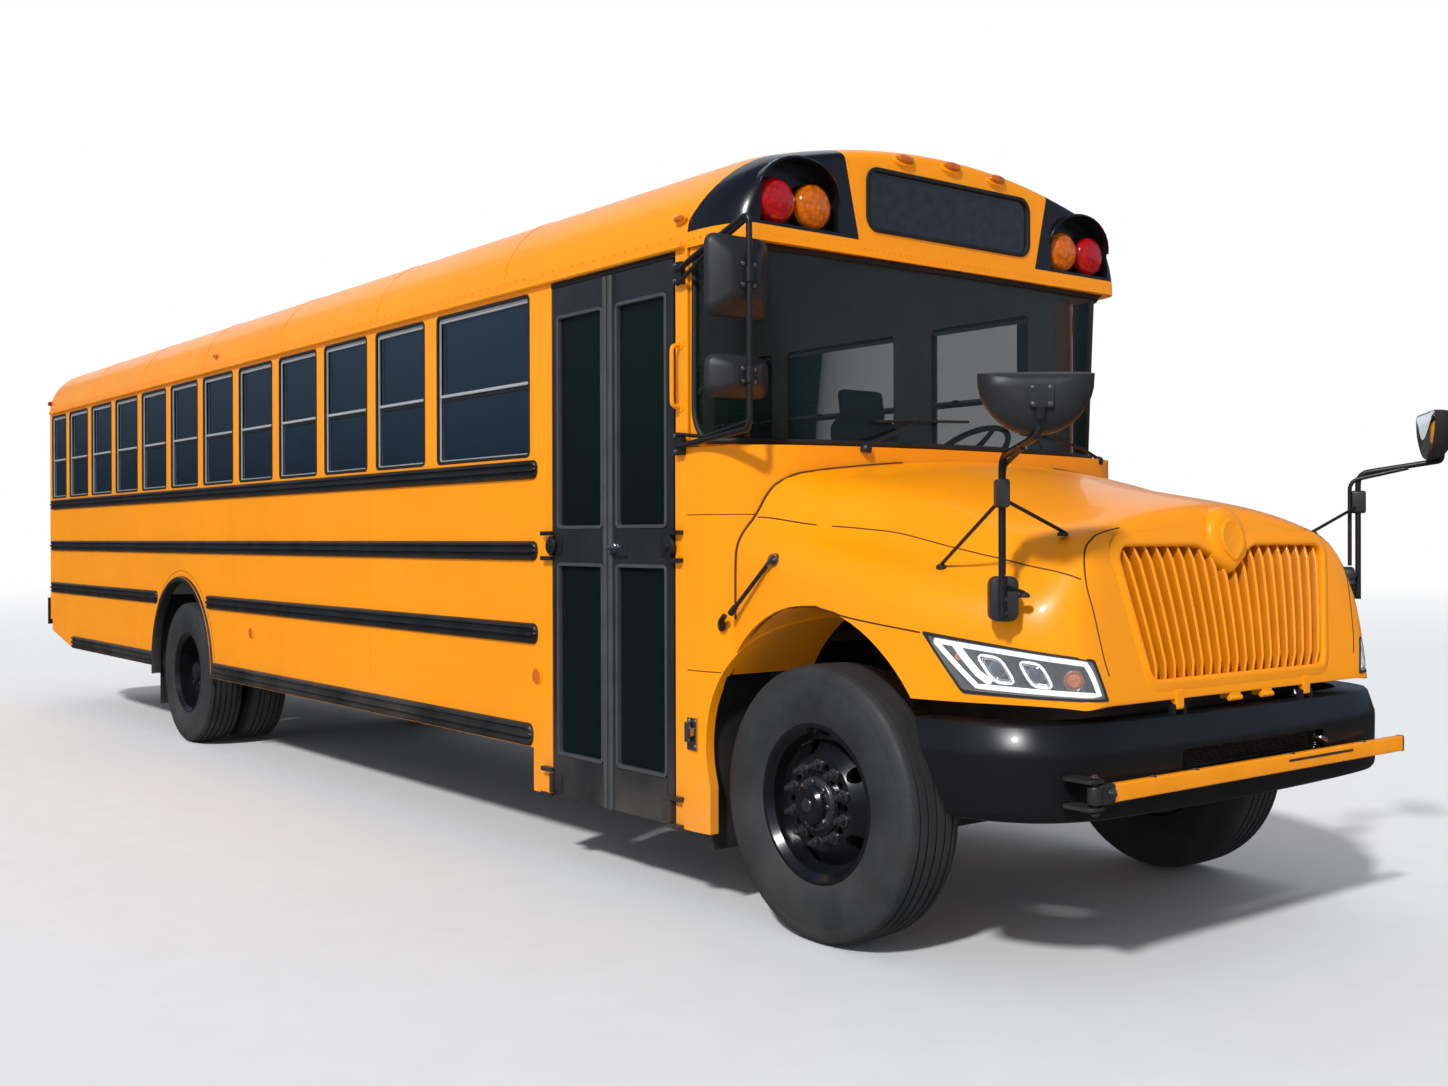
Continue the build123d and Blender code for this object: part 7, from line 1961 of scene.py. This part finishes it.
def seats():
    """Twelve rows of benches each side and the driver's seat."""
    for side, name in SIDES:
        cushion, welt, legs, mounts = pieces(4)
        x = side * 0.687
        for row in range(12):
            y = FRONT_AXLE_Y + 2.350 + SEAT_PITCH * row
            pad(cushion, welt, (x, y + 0.190, 1.492), (0, 0.03, 1), (0.476, 0.196, 0.055))
            pad(cushion, welt, (x, y + 0.440, 1.795), (0, -0.99, 0.125), (0.474, 0.282, 0.042))
            for foot_y in (y + 0.050, y + 0.400):
                legs.pipe([(side * AISLE_X, foot_y, 1.124), (side * AISLE_X, foot_y, 1.440)], 0.015, 12)
            legs.pipe(bend([(side * AISLE_X, y + 0.050, 1.43), (side * AISLE_X, y + 0.40, 1.43),
                (side * AISLE_X, y + 0.470, 2.02), (side * 1.10, y + 0.470, 2.02)], 0.06, 4), 0.013, 10)
            for rail_y in (y + 0.06, y + 0.38):
                legs.pipe([(side * AISLE_X, rail_y, 1.425), (side * 1.160, rail_y, 1.425)], 0.013, 10)
            mounts.box((side * AISLE_X - 0.030, y + 0.010, 1.1205), (side * AISLE_X + 0.030, y + 0.440, 1.127))
            for foot_y in (y + 0.025, y + 0.425):
                mounts.bolt((side * AISLE_X, foot_y, 1.126), (0, 0, 1), 0.010, 0.008)
        cushion.done(f"bench_pads_{name}", M_SEAT, smooth=80, replaces=(f"benches_{name}",))
        welt.done(f"bench_welts_{name}", M_SEAT, smooth=80)
        legs.done(f"bench_frames_{name}", M_SATIN, smooth=60)
        mounts.done(f"bench_feet_{name}", M_STEEL, bevel=0.001)
    cushion, welt, base, arms = pieces(4)
    x, y = 0.560, FRONT_AXLE_Y + 1.250
    pad(cushion, welt, (x, y - 0.020, 1.590), (0, 0.06, 1), (0.236, 0.225, 0.052))
    pad(cushion, welt, (x, y + 0.243, 1.865), (0, -0.985, 0.17), (0.230, 0.270, 0.044))
    pad(cushion, welt, (x, y + 0.300, 2.205), (0, -0.985, 0.17), (0.150, 0.080, 0.036))
    base.box((x - 0.205, y - 0.210, 1.500), (x + 0.205, y + 0.230, 1.540))
    base.box((x - 0.150, y - 0.170, 1.122), (x + 0.150, y + 0.170, 1.150))
    for k in range(9):
        base.box((x - 0.130 + 0.006 * (k % 2), y - 0.150 + 0.006 * (k % 2), 1.150 + 0.039 * k),
            (x + 0.130 - 0.006 * (k % 2), y + 0.150 - 0.006 * (k % 2), 1.189 + 0.039 * k))
    for end in (-1, 1):
        arms.pipe(bend([(x + end * 0.215, y + 0.255, 1.60), (x + end * 0.215, y + 0.255, 1.80),
            (x + end * 0.222, y - 0.02, 1.82)], 0.05, 4), 0.017, 10)
    cushion.done("driver_seat_pads", M_SEAT, smooth=80, replaces=("driver_seat",))
    welt.done("driver_seat_welts", M_SEAT, smooth=80)
    base.done("driver_seat_base", M_PLASTIC, bevel=0.006)
    arms.done("driver_seat_arms", M_PLASTIC, smooth=60)


seats()

# ---------------------------------------------------------------- dashboard, steering wheel, step rail

def dashboard():
    """The dash with its gauges and switches, the steering wheel and the rails by the steps."""
    body, gauges, dials, switches, wheel_rim, spokes = pieces(6)
    y = FRONT_AXLE_Y
    body.plate("x", [(y + 0.430, 1.290), (y + 0.430, 1.826), (y + 0.600, 1.826), (y + 0.660, 1.726),
        (y + 0.620, 1.500), (y + 0.500, 1.290)], -1.080, 1.080)
    body.plate("x", [(y + 0.500, 1.800), (y + 0.530, 1.872), (y + 0.625, 1.884), (y + 0.668, 1.862),
        (y + 0.640, 1.822), (y + 0.600, 1.790)], 0.330, 0.790)
    body.plate("x", [(y + 0.600, 1.710), (y + 0.670, 1.700), (y + 0.670, 1.520), (y + 0.600, 1.500)], -1.040,
        -0.300)
    axis = Vector((0, 0.857, 0.514))
    for k, x in enumerate((0.420, 0.510, 0.610, 0.700)):
        spot = Vector((x, y + 0.632, 1.774))
        radius = 0.036 if k in (1, 2) else 0.028
        gauges.lathe(spot, axis,
            [(-0.002, radius), (0.008, radius), (0.010, radius - 0.003), (0.004, radius - 0.006)], 28)
        dials.lathe(spot, axis, [(0.0, radius - 0.005), (0.0045, radius - 0.005), (0.0045, 0.0)], 28)
    for row in range(3):
        for k in range(6):
            low = (0.820 + 0.034 * k, y + 0.640 - 0.010 * row, 1.660 - 0.052 * row)
            switches.box(low, (low[0] + 0.024, low[1] + 0.020, low[2] + 0.038))
    for k in range(5):
        x = -0.85 + 0.42 * k
        gauges.ring("z", rounded(x, y + 0.515, 0.20, 0.050, 0.012), rounded(x, y + 0.515, 0.188, 0.038, 0.008),
            1.824, 1.831)
    centre = Vector((0.560, y + 0.800, 1.910))
    lean = Vector((0, sin(radians(35)), cos(radians(35))))
    across = lean.cross(Vector((1, 0, 0)))
    rings = []
    for k in range(49):
        turn = 2 * pi * k / 48
        out = Vector((1, 0, 0)) * cos(turn) + across * sin(turn)
        grip = 0.0135 + (0.001 if k % 4 < 2 else 0)
        rings.append([centre + out * (0.214 + grip * cos(2 * pi * s / 12)) + lean * grip * sin(2 * pi * s / 12)
            for s in range(12)])
    wheel_rim.faces(rings, capped=False)
    for turn in (10, 170, 270):
        out = Vector((1, 0, 0)) * cos(radians(turn)) + across * sin(radians(turn))
        side_way = out.cross(lean)
        spokes.faces([[centre + out * r + side_way * (w * a) + lean * (0.007 * b + drop)
            for a, b in ((1, 0.4), (0.6, 1), (-0.6, 1), (-1, 0.4), (-0.6, -1), (0.6, -1))]
            for r, w, drop in ((0.045, 0.026, -0.004), (0.110, 0.020, -0.008), (0.206, 0.015, 0.0))])
    spokes.lathe(centre, lean, [(-0.040, 0.040), (-0.012, 0.062), (0.006, 0.064), (0.014, 0.054), (0.017, 0.030),
        (0.018, 0.0)], 32)
    spokes.lathe(centre, lean, [(-0.270, 0.040), (-0.120, 0.038), (-0.110, 0.032), (-0.030, 0.032)], 24)
    spokes.pipe([centre - lean * 0.10, centre - lean * 0.095 + Vector((-0.16, 0, 0.03))], 0.006, 8)
    body.done("dash_body", M_DASH, bevel=0.014, segments=3, replaces=("dashboard",))
    gauges.done("dash_bezels", M_SATIN, smooth=50)
    dials.done("dash_dials", M_SIGN, smooth=50)
    switches.done("dash_switches", M_PLASTIC, bevel=0.002)
    wheel_rim.done("steering_wheel_rim", M_PLASTIC, smooth=80)
    spokes.done("steering_wheel_hub", M_PLASTIC, smooth=50)
    rail, feet = pieces(2)
    rail.pipe(bend([(-1.120, y + 0.880, 1.000), (-0.760, y + 0.880, 1.560), (-0.660, y + 0.880, 1.560),
        (-0.640, y + 0.880, 1.122)], 0.09, 6), 0.0155, 14)
    rail.pipe(bend([(-1.140, y + 1.640, 1.300), (-0.900, y + 1.640, 1.900), (-0.640, y + 1.640, 1.900),
        (-0.620, y + 1.640, 1.122)], 0.09, 6), 0.0155, 14)
    for spot in ((-0.640, y + 0.880), (-0.620, y + 1.640)):
        feet.lathe((*spot, 1.120), (0, 0, 1), [(0.0, 0.040), (0.006, 0.040), (0.009, 0.026), (0.016, 0.018)], 24)
    rail.done("step_grab_rails", M_STEEL, smooth=70)
    feet.done("grab_rail_feet", M_STEEL, smooth=40)


dashboard()

# ---------------------------------------------------------------- rear: door, glass, lamps, plate, bumper

def rear_end():
    """Rear windows' rubber, lamps, rivets, bumper and number plate, and the emergency door's fittings."""
    gaskets, frame, black, bezels, red, amber, plate, bolts, visors, bumper = pieces(10)
    face = REAR_Y
    radius = 0.084
    marker = (Vector((0.040, 0, 0)), Vector((0, 0, 0.015)), Vector((0, 1, 0)),
        ((-0.001, 1), (0.014, 0.9), (0.019, 0.5)))
    end = arc_points(1.229 - 0.038, face + 0.008, 0.038, range(0, 91, 9))
    bumper.plate("z", [(1.229, face)] + end + [(-x, y) for x, y in reversed(end)] + [(-1.229, face)], 0.710, 0.960)
    for z in (0.790, 0.880):
        bumper.plate("y", rounded(0, z, 2.300, 0.030, 0.014), face + 0.044, face + 0.0492)
    for side, _ in SIDES:
        x = side * 0.760
        gaskets.ring("y", rounded(x, 2.290, 0.536, 0.596, 0.058), rounded(x, 2.290, 0.482, 0.542, 0.032),
            face - 0.006, face + 0.007)
        black.plate("y", rounded(side * 0.886, 2.866, 0.420, 0.214, 0.050), face - 0.001, face + 0.004)
        for lamp_x, z, lens in ((0.789, 2.866, amber), (0.983, 2.866, red), (1.000, 1.560, red),
                (0.770, 1.560, red), (1.000, 1.330, amber)):
            spot = (side * lamp_x, face, z)
            bezels.lathe(spot, (0, 1, 0),
                [(0.0, radius), (0.014, radius), (0.020, radius - 0.003), (0.021, radius - 0.009),
                (0.012, radius - 0.012)], 36)
            lens.lathe(spot, (0, 1, 0), [(0.004, radius - 0.010), (0.018, radius - 0.011), (0.024, radius - 0.022),
                (0.028, radius * 0.5), (0.029, 0.0)], 36)
            if z > 2:
                arc_out, arc_in = (arc_points(side * lamp_x, z, r, range(8, 173, 6)) for r in (0.0905, 0.0875))
                visors.plate("y", arc_out + arc_in[::-1], face + 0.002, face + 0.046)
        spot = (side * 1.105, face, 1.020)
        bezels.lathe(spot, (0, 1, 0), [(0.0, 0.042), (0.006, 0.042), (0.008, 0.038)], 28)
        red.lathe(spot, (0, 1, 0), [(0.002, 0.037), (0.009, 0.037), (0.011, 0.0)], 28)
        for x, z in ((side * 0.150, 3.090), (side * 0.600, 3.050)):
            red.oval((x, face, z), *marker)
        for z in (1.16 + 0.09 * k for k in range(18)):
            for x in (1.150, 0.400):
                bolts.rivet((side * x, face, z), (0, 1, 0), *SKIN_RIVET)
        for k in range(9):
            bolts.rivet((side * (0.44 + 0.088 * k), face, 1.860), (0, 1, 0), *SKIN_RIVET)
        for x in (0.18, 0.62, 1.02):
            for z in (0.745, 0.925):
                bumper.rivet((side * x, face + 0.0455, z), (0, 1, 0), 0.013, 0.0044, 16)
    red.oval((0, face, 3.090), *marker)
    door = nodes["rear_door"]
    heights = [(door.matrix_world @ v.co).z for v in door.data.vertices]
    low_z, high_z = min(heights), max(heights)
    frame.ring("y", rounded(0, (low_z + high_z) / 2, 0.712, high_z - low_z + 0.032, 0.012, 2),
        rounded(0, (low_z + high_z) / 2, 0.684, high_z - low_z + 0.006, 0.003, 2), face - 0.001, face + 0.005)
    plate.plate("y", rounded(0.800, 1.100, 0.305, 0.152, 0.012), face + 0.001, face + 0.004)
    for dx in (-0.0889, 0.0889):
        for dz in (-0.0603, 0.0603):
            bezels.bolt((0.800 + dx, face + 0.004, 1.100 + dz), (0, 1, 0), 0.006, 0.004)
    gaskets.done("rear_window_gaskets", M_RUBBER, bevel=0.002)
    frame.done("rear_door_seal", M_RUBBER)
    black.done("rear_black_plates", M_BLACK, bevel=0.002)
    visors.done("rear_lamp_visors", M_SATIN)
    bumper.done("rear_bumper_bar", M_BLACK, bevel=0.004, segments=3, replaces=("rear_bumper",))
    bezels.done("rear_lamp_bezels", M_PLASTIC, smooth=40)
    red.done("rear_red_lenses", M_RED_LENS, smooth=50, replaces=("rear_lamps",))
    amber.done("rear_amber_lenses", M_AMBER_LENS, smooth=50)
    plate.done("blank_number_plate", M_WHITE, bevel=0.001)
    bolts.done("rear_rivets", M_YELLOW_PLAIN)
    panes, handle, lever, ribs = pieces(4)
    for z, height in ((2.190, 0.620), (1.480, 0.300)):
        panes.ring("y", rounded(0, z, 0.536, height + 0.036, 0.064), rounded(0, z, 0.482, height - 0.018, 0.040),
            face - 0.006, face + 0.007)
    handle.plate("y", rounded(0.235, 1.775, 0.150, 0.090, 0.016), face - 0.001, face + 0.010)
    lever.pipe(bend([(0.275, face + 0.006, 1.775), (0.275, face + 0.034, 1.775), (0.175, face + 0.036, 1.770)],
        0.012, 4), 0.0095, 12)
    lever.lathe((0.275, face + 0.008, 1.775), (0, 1, 0), [(0.0, 0.020), (0.008, 0.018)], 20)
    ribs.ring("y", rounded(0, 1.735, 0.560, 0.130, 0.020), rounded(0, 1.735, 0.548, 0.118, 0.014), face - 0.001,
        face + 0.002)
    panes.done("rear_door_gaskets", M_RUBBER, body="rear_door", bevel=0.002)
    handle.done("rear_door_handle_plate", M_SATIN, body="rear_door", bevel=0.003)
    lever.done("rear_door_lever", M_STEEL, body="rear_door", smooth=60)
    ribs.done("rear_door_rib", M_YELLOW_PLAIN, body="rear_door")


rear_end()

# ---------------------------------------------------------------- stop arm

def stop_arm():
    """The red octagon with its white border, bracket and lamps on both faces."""
    face, border, arm, lens, bezel = pieces(5)
    hinge_y, z, x = FRONT_AXLE_Y + 0.980, 1.640, 1.272
    middle_y = hinge_y + 0.285

    def octagon(radius):
        return arc_points(middle_y, z, radius, [22.5 + 45 * k for k in range(8)])

    face.plate("x", octagon(0.2235), x - 0.0035, x + 0.0035)
    for low, high in ((x + 0.0030, x + 0.0043), (x - 0.0043, x - 0.0030)):
        border.ring("x", octagon(0.2225), octagon(0.2060), low, high)
    arm.plate("x", [(hinge_y - 0.004, z - 0.105), (hinge_y + 0.085, z - 0.075), (hinge_y + 0.115, z - 0.030),
        (hinge_y + 0.115, z + 0.030), (hinge_y + 0.085, z + 0.075), (hinge_y - 0.004, z + 0.105)], x - 0.0062,
        x + 0.0062)
    arm.rod((x, hinge_y, z - 0.120), (x, hinge_y, z + 0.120), 0.0135, 20)
    for dz in (-0.125, 0.125):
        for way, deep in ((1, 0.018), (-1, 0.010)):
            spot = (x + way * 0.003, middle_y, z + dz)
            bezel.lathe(spot, (way, 0, 0), [(0.0, 0.047), (deep * 0.7, 0.047), (deep, 0.042), (deep * 0.8, 0.039)],
                30)
            lens.lathe(spot, (way, 0, 0), [(0.0, 0.040), (deep * 0.7, 0.039), (deep * 0.95, 0.026), (deep, 0.0)],
                30)
    for y in (hinge_y + 0.045, hinge_y + 0.090):
        for dz in (-0.040, 0.040) if y < hinge_y + 0.05 else (0.0,):
            arm.bolt((x + 0.006, y, z + dz), (1, 0, 0), 0.008, 0.006)
    face.done("stop_arm_face", M_RED_PAINT, body="stop_arm", replaces=("stop_arm",))
    border.done("stop_arm_border", M_WHITE, body="stop_arm")
    arm.done("stop_arm_bracket", M_SATIN, body="stop_arm", bevel=0.001)
    bezel.done("stop_arm_bezels", M_PLASTIC, body="stop_arm", smooth=40)
    lens.done("stop_arm_lenses", M_RED_LENS, body="stop_arm", smooth=50)


stop_arm()
# The step well's upward faces get the pale tread colour, partly painted light
line_inside("step_well", lambda c, n: n.z > 0.9, M_TREAD_PAINTED_LIGHT)

# ---------------------------------------------------------------- joint of hood and cowl, cowl seams, as painted shade lines

def cowl_seams():
    """The painted shade line where the hood meets the cowl, painted shade lines along the cowl's panel seams, and
    the rear side markers.
    """
    tree = BVHTree.FromObject(bpy.data.objects["hood_shell"], bpy.context.evaluated_depsgraph_get())
    plan = [Vector((x, y)) for x, y in cowl_front(0.0) if x >= -0.001]

    def plan_x(y):
        for a, b in zip(plan, plan[1:]):
            if min(a.y, b.y) <= y <= max(a.y, b.y) and abs(a.y - b.y) > 1e-6:
                return a.x + (b.x - a.x) * (y - a.y) / (b.y - a.y)
        return HALF

    def last_hit(start, way):
        """The hood's rearmost point met by a ray that starts there and looks that way."""
        low, high = FRONT_AXLE_Y + 0.20, FRONT_AXLE_Y + 0.53
        for _ in range(20):
            mid = (low + high) / 2
            spot = tree.ray_cast(Vector((start.x, mid, start.z)), Vector(way))[0]
            low, high = (mid, high) if spot and spot.z > 1.15 else (low, mid)
        return tree.ray_cast(Vector((start.x, low, start.z)), Vector(way))[0]

    shade_line, seams = pieces(2)
    run = [last_hit(Vector((2, 0, 1.19 + 0.04 * k)), (-1, 0, 0)) + Vector((0.0012, 0.0015, 0)) for k in range(14)]
    for k in range(26):
        spot = last_hit(Vector((1.04 - 0.04 * k, 0, 2.3)), (0, 0, -1))
        if spot and spot.z > run[-1].z + 0.004 * (len(run) < 20) and spot.x < run[-1].x - 0.01:
            run.append(spot + Vector((0, 0.0015, 0.0012)))
    for side, _ in SIDES:
        shade_line.pipe([Vector((side * p.x, p.y, p.z)) for p in smooth_run(run, 3)], 0.0052, 8)
        for z, first in ((1.606, last_hit(Vector((2, 0, 1.606)), (-1, 0, 0)).y + 0.012),
                (0.977, FRONT_AXLE_Y + 0.506)):
            ys = [first + (CAP_ROOT - first) * k / 16 for k in range(17)]
            seams.pipe([Vector((side * (plan_x(y) - 0.0006), y, z)) for y in ys], 0.0022, 6)
    # Painted shade: both runs are pipes in a shade colour, standing in for the shade in the gaps
    shade_line.done("hood_rear_shade_line", M_PAINTED_SHADE, body="hood", smooth=70)
    seams.done("cowl_seams", M_PAINTED_SHADE, smooth=70)
    markers = Piece()
    for side, _ in SIDES:
        markers.oval((side * (HALF - 0.010), 5.933, 2.795), Vector((0, 0.030, 0)), Vector((0, 0, 0.022)),
            Vector((side, 0, 0)), ((0, 1), (0.022, 0.9), (0.030, 0.5)))
    markers.done("rear_side_markers", M_RED_LENS, smooth=50)


cowl_seams()
